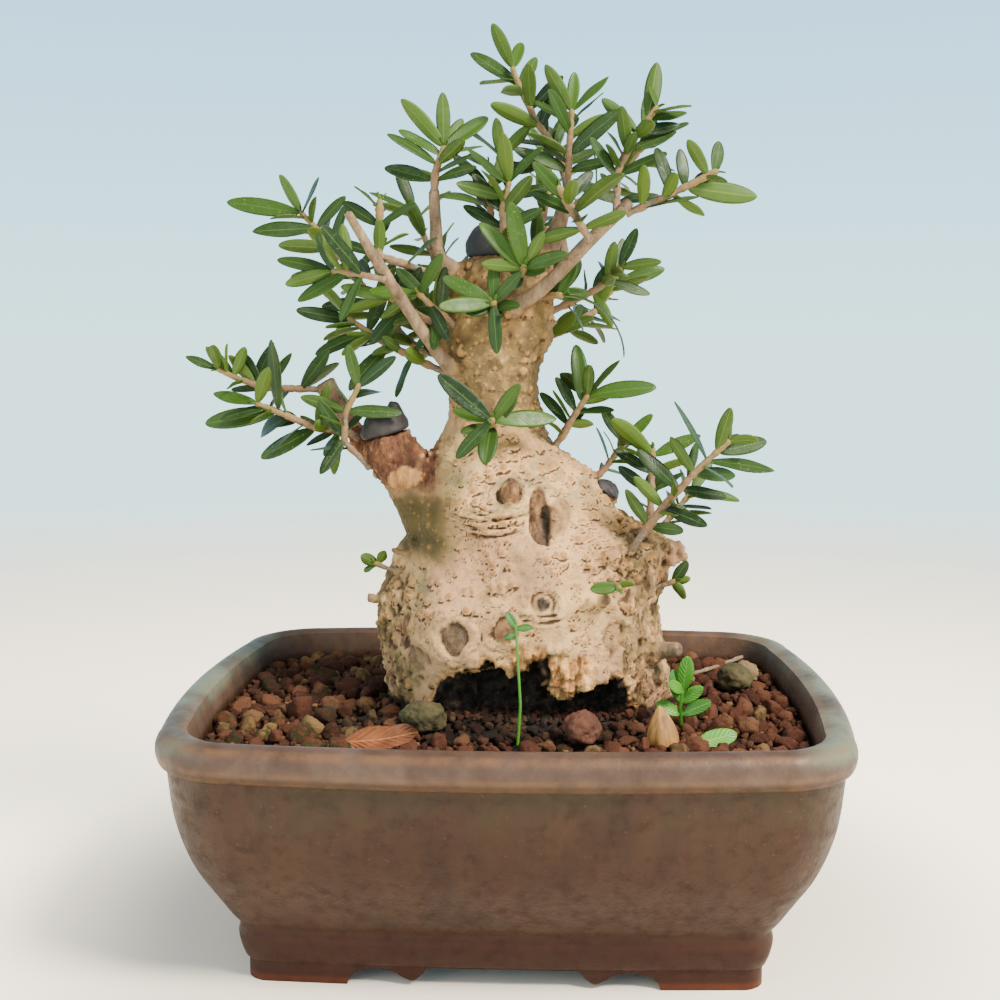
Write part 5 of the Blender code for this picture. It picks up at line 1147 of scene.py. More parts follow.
def pot_cutters():
    # The hollow between the feet, the arches between each pair of feet and the drain holes
    under = [(-UNDER_HALF_X, -UNDER_HALF_Y), (UNDER_HALF_X, -UNDER_HALF_Y),
             (UNDER_HALF_X, UNDER_HALF_Y), (-UNDER_HALF_X, UNDER_HALF_Y)]
    yield prism("under", [[(x, y, z) for x, y in under] for z in (-6.0, UNDER_Z)])
    for outline, reach, along_x in ((FOOT_ARCH_FRONT, 95, False), (FOOT_ARCH_SIDE, 115, True)):
        line = [outline[0]] + catmull(outline[1:], 4)
        line += [(-x, z) for x, z in reversed(line)]
        yield prism("arch", [[(side, a, z) if along_x else (a, side, z) for a, z in line]
                             for side in (-reach, reach)])
    for side in (-1, 1):
        ring = [(side * DRAIN_X + DRAIN_RADIUS * math.cos(a), DRAIN_RADIUS * math.sin(a)) for a in angles(40)]
        yield prism("drain", [[(x, y, z) for x, y in ring] for z in (-4.0, FLOOR_Z + 4)])


def ring_inset(x, y):
    # How far a point in plan lies inside the lip's outline, roughly
    x, y = abs(x), abs(y)
    bow_x = SIDE_BOW * max(0.0, 1 - (y / (LIP_HALF_Y - 20)) ** 2)
    bow_y = SIDE_BOW * max(0.0, 1 - (x / (LIP_HALF_X - 20)) ** 2)
    corner_x, corner_y = x - (LIP_HALF_X - CORNER_RADIUS), y - (LIP_HALF_Y - CORNER_RADIUS)
    if corner_x > 0 and corner_y > 0:
        return CORNER_RADIUS - math.hypot(corner_x, corner_y)
    return min(LIP_HALF_X + bow_x - x, LIP_HALF_Y + bow_y - y)


def glaze_masks(co):
    # Where the glaze thins, and a painted highlight lies: the lip's outer and inner edge, the moulding and
    # the foot. Then the streaks inside the rim, and the bare clay underneath
    inset = np.array([ring_inset(x, y) for x, y, _ in co])
    x, y, z = co.T
    edge = bell((z - 74.6) / 1.1) * (inset < 2.6) * 0.45 + bell((z - 69.0) / 0.9) * 0.3
    edge += bell((inset - 8.6) / 1.0) * (z > 72.0) * 0.5 + bell((z - 66.6) / 0.7) * (inset < 3.5) * 0.35
    edge += bell((z - 14.5) / 1.3) * 0.30 + bell((z - 6.4) / 0.7) * 0.35
    streak = ramp_up(z, 50.0, 66.0) * (inset > 8.0) * (z < 73.0) * 0.5
    hollow = (z < UNDER_Z + 0.4) & (np.abs(x) < UNDER_HALF_X + 0.2) & (np.abs(y) < UNDER_HALF_Y + 0.2)
    return np.stack([np.clip(edge, 0, 1), streak, (hollow | (z < 0.3)).astype(float)], 1)


def build_pot():
    rows = fine_profile()
    points = [p for z, inset in rows for p in pot_ring(z, inset)]
    around = 4 * (SIDE_STEPS + CORNER_STEPS)
    pot = new_object("pot_fine", points, loft(len(rows), around), outward=True)
    cutters = list(pot_cutters())
    for cutter in cutters:
        step = pot.modifiers.new("cut", "BOOLEAN")
        step.operation = "DIFFERENCE"
        step.object = cutter
        step.solver = "EXACT"
    pot.data = evaluated(pot)
    pot.modifiers.clear()
    for cutter in cutters:
        bpy.data.objects.remove(cutter)
    mesh = pot.data
    write_vectors(mesh, {"edge": glaze_masks(read_vectors(mesh.vertices, "co") / MM)})
    mesh.materials.append(MATS["glaze"])
    mesh.shade_smooth()
    mesh.set_sharp_from_angle(angle=math.radians(40))
    dress(pot, "glaze", "pot")


# Trunk

CUT_Z = 61.0
TRUNK_VOXEL = 0.75
# Bark edge over the hollow: x, height. It hangs lower where the torn wood is
BARK_EDGE = (
    (-26.0, 71.8), (-22.5, 75.2), (-19.5, 81.0), (-17.0, 83.6), (-12.0, 85.6), (-8.0, 85.0),
    (-6.4, 89.8), (-3.9, 89.5), (-1.0, 86.6), (1.7, 84.5), (4.4, 85.6), (8.0, 87.6), (10.2, 90.6),
    (11.6, 88.6), (12.6, 79.2), (17.0, 77.6), (20.5, 79.4), (23.3, 80.2), (26.9, 82.4), (31.0, 84.5),
    (33.0, 80.0), (35.5, 75.6), (39.0, 71.8),
)
# The open double knot, the plug above it and a small scar: x, z, half width, half height, how far
# each stands out, how dark it is, how much of it is tan wood
PLUGS = (
    (9.3, 132.6, 2.9, 8.0, -1.5, 0.9, 0.55), (15.2, 131.4, 3.6, 5.2, 1.1, 0.75, 0.75),
    (12.0, 129.4, 1.0, 6.0, -2.0, 1.0, 0.0), (10.4, 126.4, 2.1, 2.1, -1.3, 0.95, 0.2),
    (9.0, 134.4, 1.5, 4.6, 1.9, 1.0, 1.0), (0.9, 138.2, 2.1, 4.4, 1.9, 1.0, 1.0),
    (1.1, 141.8, 1.7, 1.4, 0.4, 1.0, 0.0), (-0.6, 98.0, 2.6, 3.4, 0.8, 0.9, 0.9),
)
# Folds under the knots, as curves in the front view: x of the middle, z, half width, sag
FOLDS = (
    (-7.0, 129.6, 14.0, 2.6), (-7.5, 131.6, 13.0, 2.2), (-6.5, 127.6, 12.0, 2.8),
    (-1.5, 134.2, 9.0, 3.2), (-2.0, 132.8, 10.0, 3.0), (9.5, 104.0, 7.0, 1.2), (10.5, 102.6, 7.5, 1.4),
)
# Greyish green patches on the bark: x, z, half width, half height, strength
GREY_PATCHES = (
    (2, 142, 17, 10, 1.0), (9, 115, 15, 5.5, 1.0), (-24, 112, 6, 10, 1.0), (24, 143, 8, 8, 0.7),
    (-10, 160, 9, 13, 1.2), (-13, 136, 7, 9, 0.7),
)
# Small pegs of dead wood on the front: x, z, how far they stand out, height, radius
PEGS = (
    (10.6, 107.4, 0.9, 1.4, 1.3), (13.4, 93.6, 1.3, 1.6, 2.0), (29.5, 119.0, 1.9, 5.0, 1.6),
    (24.0, 106.0, 1.2, 4.6, 1.4), (-30.5, 121.0, 2.0, 3.0, 1.2),
)


def fine_edge(angle):
    x = ROOT_X + ROOT_HALF_X * math.cos(angle)
    if math.sin(angle) > 0 or not BARK_EDGE[0][0] < x < BARK_EDGE[-1][0]:
        return HOLLOW_FLOOR_Z, 0.0
    for (x0, z0), (x1, z1) in zip(BARK_EDGE, BARK_EDGE[1:]):
        if x <= x1:
            edge = lerp(z0, z1, (x - x0) / (x1 - x0))
            break
    u = (x - HOLLOW_X) / HOLLOW_HALF
    jag = 0.9 * noise.noise(Vector((x * 0.9, 3.1, 0))) + 0.6 * noise.noise(Vector((x * 2.3, 7.7, 0)))
    return edge + jag * smooth01(2 * (1 - abs(u))), 1.25 * HOLLOW_DEPTH * smooth01(2.4 * (1 - abs(u)))


def fine_section(z):
    # The sections joined by a smooth curve instead of straight lines
    rows = TRUNK_SECTIONS
    if z <= rows[0][0] or z >= rows[-1][0]:
        return section(z)
    k = max(i for i in range(len(rows) - 1) if rows[i][0] <= z)
    a, b, c, d = rows[max(k - 1, 0)], rows[k], rows[k + 1], rows[min(k + 2, len(rows) - 1)]
    step = c[0] - b[0]
    t = (z - b[0]) / step
    out = []
    for i in range(1, 5):
        m0 = (c[i] - a[i]) / max(c[0] - a[0], 1) * step
        m1 = (d[i] - b[i]) / max(d[0] - b[0], 1) * step
        out.append((2 * t ** 3 - 3 * t * t + 1) * b[i] + (t ** 3 - 2 * t * t + t) * m0
                   + (3 * t * t - 2 * t ** 3) * c[i] + (t ** 3 - t * t) * m1)
    return tuple(out)


def fine_point(angle, z):
    left, right, front, back = fine_section(z)
    cx, cy = (left + right) / 2, (front + back) / 2
    x = (right - left) / 2 * math.cos(angle)
    y = (back - front) / 2 * math.sin(angle)
    length = math.hypot(x, y)
    fade = smooth01((z - ROOT_TOP_Z) / 8) * smooth01((209 - z) / 8)
    grow = (trunk_relief(angle, z) + 0.62 * knot_relief(cx + x, cy + y, z)) * fade
    k = (length + grow) / length
    return (cx + x * k, cy + y * k, z)


def root_point(angle, z, size=1.0):
    return (ROOT_X + ROOT_HALF_X * math.cos(angle) * size, ROOT_Y + ROOT_HALF_Y * math.sin(angle) * size, z)


def trunk_core():
    # From the cut root up: the hollow's floor and roof, the bark edge, the body and the sawn top
    turns = angles(220)
    rings = [[root_point(a, z) for a in turns] for z in (CUT_Z, ROOT_TOP_Z)]
    floor, under, lip = [], [], []
    for a in turns:
        edge, deep = fine_edge(a)
        floor.append(root_point(a, HOLLOW_FLOOR_Z, 0.985 - deep))
        x, y, _ = fine_point(a, edge)
        inward = 0.85 * deep + 0.01
        under.append((lerp(x, ROOT_X, inward), lerp(y, ROOT_Y, inward), edge + 0.3))
        lip.append(fine_point(a, edge + 0.6))
    rings += [floor, under, lip]
    top = TRUNK_SECTIONS[-1][0]
    count = 88
    for k in range(1, count + 1):
        level = lerp(HOLLOW_FLOOR_Z, top, k / count)
        fade = max(0.0, 1 - (level - HOLLOW_FLOOR_Z) / 45)
        rings.append([fine_point(a, level + (fine_edge(a)[0] - HOLLOW_FLOOR_Z) * fade + 0.6 * (1 - k / count))
                      for a in turns])
    left, right, front, back = section(top)
    cx, cy = (left + right) / 2, (front + back) / 2
    rings.append([(lerp(cx, x, 0.82), lerp(cy, y, 0.82), top + 0.9) for x, y, _ in rings[-1]])
    return [p for ring in rings for p in ring], loft(len(rings), len(turns))


def limb_shape(name, route):
    fine = catmull(route, 1 if name == "stump" else 8)
    return sweep([Vector(p[:3]) for p in fine], [p[3] for p in fine], 28, False)


def stub_shape(foot, tip, r0, r1):
    mid = tuple(lerp(a, b, 0.55) + 0.5 * math.sin(foot[0] * 1.7 + a * 0.9) for a, b in zip(foot, tip))
    return sweep([Vector(foot), Vector(mid), Vector(tip)], [r0 * 1.25, lerp(r0, r1, 0.5), r1 * 0.92], 16,
                 False)


def spike(foot, tip, radii, sides):
    return sweep([foot, foot.lerp(tip, 0.5), foot.lerp(tip, 0.85), tip], radii, sides, False)


def peg_shape(x, z, out, tall, radius):
    left, right, _, _ = fine_section(z)
    across = (x - (left + right) / 2) / ((right - left) / 2)
    skin_y = fine_point(-math.acos(across), z)[1]
    foot = Vector((x, skin_y + 1.5, z - 0.5 * tall))
    tip = Vector((x + 0.2 * tall, skin_y - out, z + 0.5 * tall))
    return spike(foot, tip, [radius, radius, radius * 0.95, radius * 0.75], 14)


def splinter_shape(k):
    # Broken dead wood behind the top shoot: upright slivers in a ragged row
    x = 8.0 + 8.0 * (k / 10) + 1.2 * math.sin(k * 2.1)
    y = 5.0 + 6.0 * abs(math.sin(k * 1.7))
    height = 212 + 8.0 * abs(math.sin(k * 1.3 + 0.5))
    radius = 1.9 + 0.6 * math.sin(k * 2.7)
    foot, tip = Vector((x, y, 201)), Vector((x + 1.5 * math.sin(k), y + 1.0, height))
    return spike(foot, tip, [radius, radius * 0.8, radius * 0.45, 0.3], 7)


def build_trunk():
    shapes = [trunk_core()]
    shapes += [limb_shape(name, route) for name, route, _ in BRANCHES]
    shapes += [stub_shape(*stub) for stub in STUBS]
    shapes += [peg_shape(*peg) for peg in PEGS]
    shapes += [splinter_shape(k) for k in range(11)]
    points, faces = [], []
    for more, more_faces in shapes:
        faces += [tuple(len(points) + i for i in face) for face in more_faces]
        points += [tuple(p) for p in more]
    core = new_object("trunk_core", points, faces, outward=True)
    step = core.modifiers.new("skin", "REMESH")
    step.mode = "VOXEL"
    step.voxel_size = TRUNK_VOXEL * MM
    step = core.modifiers.new("soften", "SMOOTH")
    step.iterations = 4
    step.factor = 0.5
    mesh = evaluated(core)
    bpy.data.objects.remove(core)
    co = read_vectors(mesh.vertices, "co").astype(float) / MM
    normal = read_vectors(mesh.vertex_normals, "vector").astype(float)
    shift, masks = bark_detail(co, normal)
    co = (co + normal * shift[:, None]) * MM
    mesh.vertices.foreach_set("co", co.astype(np.float32).ravel())
    write_vectors(mesh, {key: np.stack(values, 1) for key, values in masks.items()})
    mesh.materials.clear()
    mesh.materials.append(MATS["bark"])
    mesh.shade_smooth()
    mesh.name = "trunk_fine"
    dress(add_object("trunk_fine", mesh), "bark", "trunk")


# The trunk's skin. Each function below gives how far points move out, in millimetres, or masks
# between 0 and 1 that the bark's colour uses, or both

def fbm(co, size, octaves=3, seed=0.0):
    offset = Vector((seed, seed * 1.7, -seed))
    return np.array([noise.fractal(Vector(p) / size + offset, 1.0, 2.0, octaves) for p in co])


class Skin:
    # The points of the skin, and the noise that its details share

    def __init__(self, co, normal):
        self.co = co
        self.x, self.y, self.z = co.T
        self.front = ramp_up(-normal[:, 1], -0.1, 0.5)
        self.back = ramp_up(normal[:, 1], 0.1, 0.6)
        self.lumps = fbm(co, 15.0, 3, 1.0)
        self.middle = fbm(co, 5.5, 3, 5.0)
        self.crisp = fbm(co, 2.1, 3, 9.0)
        self.fibres = np.array([noise.noise(Vector((x * 1.1, y * 0.6, z * 0.28))) for x, y, z in co])

    def spot(self, x, z, half_x, half_z):
        # Distance in the front view, 1 at the edge of an ellipse
        return np.hypot((self.x - x) / half_x, (self.z - z) / half_z)


def limb_masks(skin):
    # How far outside the trunk's own section a point lies tells the trunk from its limbs
    x, y, z = skin.x, skin.y, skin.z
    left, right, front, back = np.array([section(min(max(v, 71.0), 207.4)) for v in z]).T
    half_x, half_y = (right - left) / 2, (back - front) / 2
    radial = np.hypot((x - (left + right) / 2) / half_x, (y - (front + back) / 2) / half_y)
    away = (radial - 1) * np.minimum(half_x, half_y)
    limb = np.maximum(ramp_up(away, 1.8, 4.5) * (z > 74), ramp_up(z, 209.2, 211.5))
    stump = limb * (x < -20) * (z < 157) * (z > 112) * ramp_up(19 - np.hypot(x + 37, y + 7), 0.0, 5.0)
    low_side = ramp_up(-x - 0.32 * (z - 120), 25.5, 30.0) * ramp_down(y, 6.0, 14.0)
    stump = np.clip(np.maximum(stump, low_side * ramp_up(z, 110.0, 116.0) * (z < 157)), 0, 1)
    return stump, limb * (1 - stump)


def rough_bark(skin, own, neck):
    # Scaly bark on the left flank low down, on the right flank and at the back, ridges on the neck
    left = ramp_up(-skin.x, 22.0, 34.0) * ramp_down(skin.z, 112.0, 124.0)
    right = ramp_up(skin.x, 24.0, 38.0) * ramp_down(skin.z, 132.0, 140.0)
    rough = np.clip(np.maximum(np.maximum(left, right), skin.back * 0.6), 0, 1) * own
    ridge = 1 - np.abs(fbm(skin.co * np.array([1, 1, 0.55]), 3.6, 3, 13.0)) * 2.4
    ridge = np.clip(ridge, -0.5, 1)
    chunk = np.clip(fbm(skin.co * np.array([1, 1, 0.5]), 2.7, 3, 21.0), -0.7, 0.9)
    shift = rough * (0.45 * ridge - 0.15 + 1.15 * chunk + 0.3 * skin.crisp)
    return shift + neck * (0.34 * ridge + 0.34 * skin.crisp), rough


def warts(skin, stump, limb, neck):
    # Ochre pimples, each with a shallow dent and painted shade under it: how far they rise, and +1 to -1
    # for their colour, below zero being the painted shade
    co, x, z = skin.co, skin.x, skin.z
    dense = ramp_up(z, 73.0, 80.0) * (0.45 + 0.55 * ramp_up(z, 104.0, 124.0)) * (1 - 0.8 * neck)
    dense = dense * (0.3 + 0.7 * ramp_up(fbm(co, 9.0, 2, 31.0), -0.35, 0.25))
    dense = dense * (1 - 0.75 * ramp_up(-x, 14.0, 20.0) * (z > 112))
    knots = np.zeros(len(co))
    for knot_x, knot_z, radius, _, _ in KNOTS:
        d = np.hypot(x - knot_x, z - knot_z) / radius
        knots = np.maximum(knots, (skin.y < 0) * ramp_up(1.7 - d, 0.0, 0.4))
    dense = dense * (1 - knots) * ((1 - limb) * (1 - 0.7 * stump))
    tree = KDTree(len(co))
    for i, p in enumerate(co):
        tree.insert(p, i)
    tree.balance()
    draw = random.Random(9)
    rise, spot = np.zeros(len(co)), np.zeros(len(co))
    taken = set()
    for _ in range(12000):
        k = draw.randrange(len(co))
        radius = lerp(0.78, 1.8, draw.random() ** 3.5)
        cell = tuple(int(v // 2.0) for v in co[k])
        if draw.random() > dense[k] or cell in taken:
            continue
        taken.add(cell)
        tall = radius * draw.uniform(0.42, 0.75)
        for p, i, gap in tree.find_range(co[k], radius * 1.6):
            d = gap / radius
            if d < 1:
                rise[i] += tall * (1 - d * d) ** 1.5
                spot[i] = max(spot[i], 1 - d)
            elif p.z < co[k][2] - 0.5 * radius:
                # Below the wart: a shallow dent, and painted shade in the colour
                dent_and_shade = (1.6 - d) / 0.6
                rise[i] -= 0.16 * radius * dent_and_shade
                spot[i] = min(spot[i], -dent_and_shade)
    return rise, spot


def folds(skin):
    # Each fold is a crease with a low roll above it
    shift = 0.0
    for mid_x, mid_z, half, sag in FOLDS:
        u = (skin.x - mid_x) / half
        d = skin.z - (mid_z + sag * (u * u - 0.5))
        fade = ramp_up(1 - np.abs(u), 0.0, 0.35) * (skin.y < -6) * skin.front
        shift = shift + fade * (0.8 * bell((d - 0.9) / 0.7) - 1.15 * bell(d / 0.5))
    return shift


def knot_rings(skin):
    # Rings round the knots, and their dark eyes
    shift, eye = 0.0, 0.0
    for knot_x, knot_z, radius, _, deep in KNOTS:
        x, z = skin.x - knot_x, skin.z - knot_z
        d = np.hypot(x, z * 0.88) / radius
        near = (skin.y < 0) * (d < 2.3) * skin.front * (0.45 if abs(knot_x) > 25 else 1.0)
        d = d * (1 + 0.26 * skin.middle + 0.12 * skin.crisp + 0.08 * np.sin(3 * np.arctan2(z, x) + knot_x))
        inner = (0.42 if knot_z == 107.2 else 0.60) + 0.08 * skin.crisp
        rings = bell((np.mod(d * 3.4, 1.0) - 0.5) / 0.12) * ramp_up(1.9 - d, 0.0, 0.7)
        rings = rings * ramp_up(d, 0.5, 0.7) * ramp_up(skin.crisp + skin.middle + 0.3, 0.0, 0.5)
        wave = np.cos(d * 17.0) * ramp_up(1.75 - d, 0.0, 0.8) * ramp_up(d, 0.35, 0.6)
        shift = shift + near * (
            0.22 * bell((d - 1.05) / 0.30) - 0.75 * bell((d - 0.66) / 0.11) + 0.20 * wave
            + (0.7 if knot_z < 130 else -0.5) * ramp_up(0.5 - d, 0.0, 0.3) - 0.5 * rings)
        dark = 1.0 if deep < 1.1 else 0.85
        eye = np.maximum(eye, near * ramp_up(inner - d, -0.08, 0.10) * dark)
        eye = np.maximum(eye, near * 0.7 * rings)
    return shift, eye


def plugged_knots(skin, eye):
    # Tan wooden plugs in long hollows, a dark crevice and a flaking lump beside it
    x, z = skin.x, skin.z
    shift = 0.0
    plug = ((x > -6) & (z > 92) & (z < 130) & (np.hypot(x - 10.8, z - 107.2) > 6)) * 0.85
    for knot_x, knot_z, wide, tall, rise, dark, tan in PLUGS:
        near = (skin.y < -6) * ramp_up(1.1 - skin.spot(knot_x, knot_z, wide, tall), 0.0, 0.35)
        shift = shift + near * (rise + (0.5 * skin.crisp if rise > 0 else 0))
        eye = eye * (1 - near) + near * dark
        plug = plug * (1 - near) + near * tan
    return shift, eye, plug


def torn_foot(skin):
    # Torn wood over the hollow, the bark's rim, the split beside it, and the hollow with its floor
    x, y, z, middle, crisp = skin.x, skin.y, skin.z, skin.middle, skin.crisp
    turns = [math.atan2((b - ROOT_Y) / ROOT_HALF_Y, (a - ROOT_X) / ROOT_HALF_X) for a, b in zip(x, y)]
    edge_z = np.array([fine_edge(turn)[0] if b < 0 else HOLLOW_FLOOR_Z for turn, b in zip(turns, y)])
    in_front = (y < -12) * 1.0
    torn = ramp_up(x, 11.8, 13.0) * ramp_down(x, 24.0, 28.0) * ramp_down(z + 1.2 * middle, 90.0, 93.0)
    beside = 0.85 * ramp_up(x, -1.0, 3.0) * (x < 11.8) * ramp_down(z + middle, 92.0, 96.0)
    torn = np.maximum(torn, beside) * in_front * ramp_up(z - edge_z, -2.0, 0.5)
    rim = bell((z - edge_z - 0.4) / 1.5) * in_front * (np.abs(x - HOLLOW_X) < HOLLOW_HALF)
    split = bell((x - 11.9 - 0.5 * np.sin(z * 0.9)) / 0.75) * in_front * (z < 92) * (z > 74)
    inside = (z < edge_z + 0.2) * (np.abs(x - HOLLOW_X) < HOLLOW_HALF + 1) * (y < 0)
    ground = ramp_down(z + 0.8 * middle, 71.5, 73.5) * (z > 60)
    shift = torn * (1.5 * np.round(skin.fibres * 3.0) / 3.0 - 0.3 + 0.4 * crisp) + rim * 0.9 * crisp
    shift += inside * (1.3 * middle + 0.9 * crisp + 0.8 * np.round(skin.fibres * 2.0) / 2.0) - 2.6 * split
    cavity = np.clip(np.maximum(inside * 1.0, np.maximum(ground * (y < 10), split)), 0, 1)
    return shift, torn, rim, np.maximum(cavity, ground * 0.7)


def cut_ends(skin):
    # Saw cuts and snapped ends are darker
    cut = 0.0
    for _, tip, _, radius in STUBS:
        d = np.linalg.norm(skin.co - np.array(Vector(tip)), axis=1) / radius
        cut = np.maximum(cut, ramp_up(1.12 - d, 0.0, 0.35))
    return cut * 0.55


def stump_skin(skin, stump, limb):
    # Flaking skin on the sawn limb, with one loose orange flake, and smooth olive skin under it
    x, y, z, middle, crisp = skin.x, skin.y, skin.z, skin.middle, skin.crisp
    upper = ramp_up(z + 2.0 * middle, 135.0, 141.0)
    flake = ramp_up(-x, 19.5, 22.5) * (z < 157.5) * upper * (1 - limb)
    flake = np.maximum(flake, stump * upper) * (1 - 0.85 * ramp_up(y + 3.5 * middle, 3.0, 13.0))
    crotch = bell(skin.spot(-26, 149, 4.5, 5.0)) * (y < 6)
    flake = np.clip(np.maximum(flake, crotch), 0, 1)
    olive_edge = 17.0 + 0.16 * (z - 117.0) + 1.5 * middle
    olive = ramp_up(-x - olive_edge, -7.0, 4.0) * ramp_up(z + 2 * middle, 113.0, 121.0)
    olive = olive * ramp_down(z, 147.0, 152.0) * ramp_down(y + 3.5 * middle, 2.0, 16.0) * (1 - flake)
    loose = np.hypot((x + 31.5) / 5.0, (z - 142.0 - 0.25 * (x + 31.5)) / 3.0) + 0.35 * middle + 0.25 * crisp
    loose = ramp_up(1.1 - loose, 0.0, 0.12) * (y < 0) * flake
    return flake, olive, loose


def grey_veil(skin):
    grey = 0.5 * ramp_up(skin.z, 124.0, 150.0) * (skin.y > 0)
    for x, z, half_x, half_z, strength in GREY_PATCHES:
        grey = grey + strength * bell(skin.spot(x, z, half_x, half_z))
    return np.clip(grey, 0, 1)


def bark_detail(co, normal):
    skin = Skin(co, normal)
    z, lumps, crisp, middle = skin.z, skin.lumps, skin.crisp, skin.middle
    stump, limb = limb_masks(skin)
    neck = ramp_up(z + 2.5 * lumps + 0.25 * skin.x, 142.0, 168.0) * (1 - limb)
    flank_shift, rough = rough_bark(skin, (1 - limb) * (1 - stump), neck)
    wart, spot = warts(skin, stump, limb, neck)
    ring_shift, eye = knot_rings(skin)
    plug_shift, eye, plug = plugged_knots(skin, eye)
    foot_shift, torn, rim, cavity = torn_foot(skin)
    flake, olive, loose = stump_skin(skin, stump, limb)
    eye = np.maximum(eye, cut_ends(skin))
    # Creases and warts against the broad form of the lumps
    small = 0.42 * middle + 0.22 * crisp + flank_shift + folds(skin) + ring_shift + plug_shift + foot_shift
    small += wart * (1 - 0.75 * olive) + flake * (0.9 * np.round(skin.fibres * 2.5) / 2.5 + 0.3 * crisp)
    stain = 0.32 * rim * ramp_up(crisp + middle, -0.3, 0.3) * (1 - torn)
    # The relief mask sets the bark's painted shade where the skin lies low and its painted highlight where it
    # stands high
    relief = np.clip(0.5 + 0.42 * small - 0.06 * torn - stain, 0, 1)
    keep = np.clip(1 - 0.75 * limb, 0, 1) * np.where(z < 64, 0.2, 1.0)
    shift = (small + 0.85 * lumps) * keep * np.where((z > 70.0) & (z < 209.0), 1, 0.4)
    tear = np.clip(np.maximum(np.maximum(torn, rim * 0.75), 0.5 * loose), 0, 1)
    spot = spot * (1 - 0.6 * olive) * (1 - limb) * (1 - tear) * (1 - cavity)
    return np.clip(shift, -3.2, 2.0) + 0.9 * loose, {
        "relief": (relief, cavity, tear),
        "spots": (spot, plug, grey_veil(skin) * (1 - 0.5 * neck)),
        "zone": (neck * (1 - cavity), olive, flake),
        "extra": (eye * (1 - cavity), np.clip(limb, 0, 1), rough),
    }


# Wound paste

# A pinched knob on the rim of the cap on the stump: place and size against its radius, and its rise
KNOB_PLACE = 0.62
KNOB_SIZE = 0.27
KNOB_RISE = 2.6


def build_paste():
    rows = catmull(((0.0, 0.93), (0.12, 1.02), (0.45, 0.98), (0.78, 0.74), (0.96, 0.38), (1.0, 0.06)), 5)
    around = 64
    for name, centre, axis, radius, height, lump in PASTE_CAPS:
        rotate = Vector(axis).to_track_quat("Z", "Y").to_matrix()
        side = rotate.transposed() @ Vector((1.0, 0.0, 0.0))
        points = []
        for rise, width in rows:
            for i in range(around):
                a = FULL_TURN * i / around
                wave = 1 + 0.05 * math.sin(3 * a + rise * 4) + 0.03 * math.sin(5 * a + 1)
                swell = lump * math.exp(-((math.cos(a) - 0.9) ** 2) * 3) * smooth01(rise * 1.4)
                swell *= smooth01(width * 2.2)
                if name == "paste_stump":
                    reach = math.hypot(width * math.cos(a) - KNOB_PLACE * side.x,
                                       width * math.sin(a) - KNOB_PLACE * side.y) / KNOB_SIZE
                    swell = 0.5 * swell - 0.12 * height * rise + KNOB_RISE * math.exp(-reach ** 4)
                local = Vector((radius * width * wave * math.cos(a), radius * width * wave * math.sin(a),
                                height * rise + swell))
                p = Vector(centre) + rotate @ local
                dent = 0.45 * noise.fractal(p / 3.6, 1.0, 2.0, 4) * smooth01(rise * 3)
                points.append(p + (p - Vector(centre)).normalized() * dent)
        cap = new_object(name + "_fine", points, loft(len(rows), around), ["paste"])
        dress(cap, "paste", name)


# Shoots

def leaf_outline(s):
    # Half width along a leaf: narrow at its stalk, widest before the middle, pointed
    if s <= 0.0 or s >= 1.0:
        return 0.06
    body = (s ** 0.72) * ((1 - s) ** 0.60) / 0.4265
    return max(body * smooth01(s * 9.0 + 0.15), 0.07)


LEAF_PLACES = (0.0, 0.05, 0.10, 0.17, 0.26, 0.36, 0.47, 0.58, 0.69, 0.79, 0.88, 0.94, 0.975)
LEAF_ACROSS = (-1.0, -0.72, -0.38, 0.0, 0.38, 0.72, 1.0)
LEAF_UNDER = (0.72, 0.38, 0.0, -0.38, -0.72)
roll_draw = random.Random(21)


def blade_lift(u, s, half, form):
    # How far a blade's folded, rolled and rippled face stands out at u across and s along it
    fold, roll, ripple, phase = form
    lift = half * (fold * abs(u) ** 1.3 - roll * max(abs(u) - 0.55, 0) ** 1.2)
    return lift + ripple * math.sin(9 * s + phase + (2 if u > 0 else 0)) * abs(u)


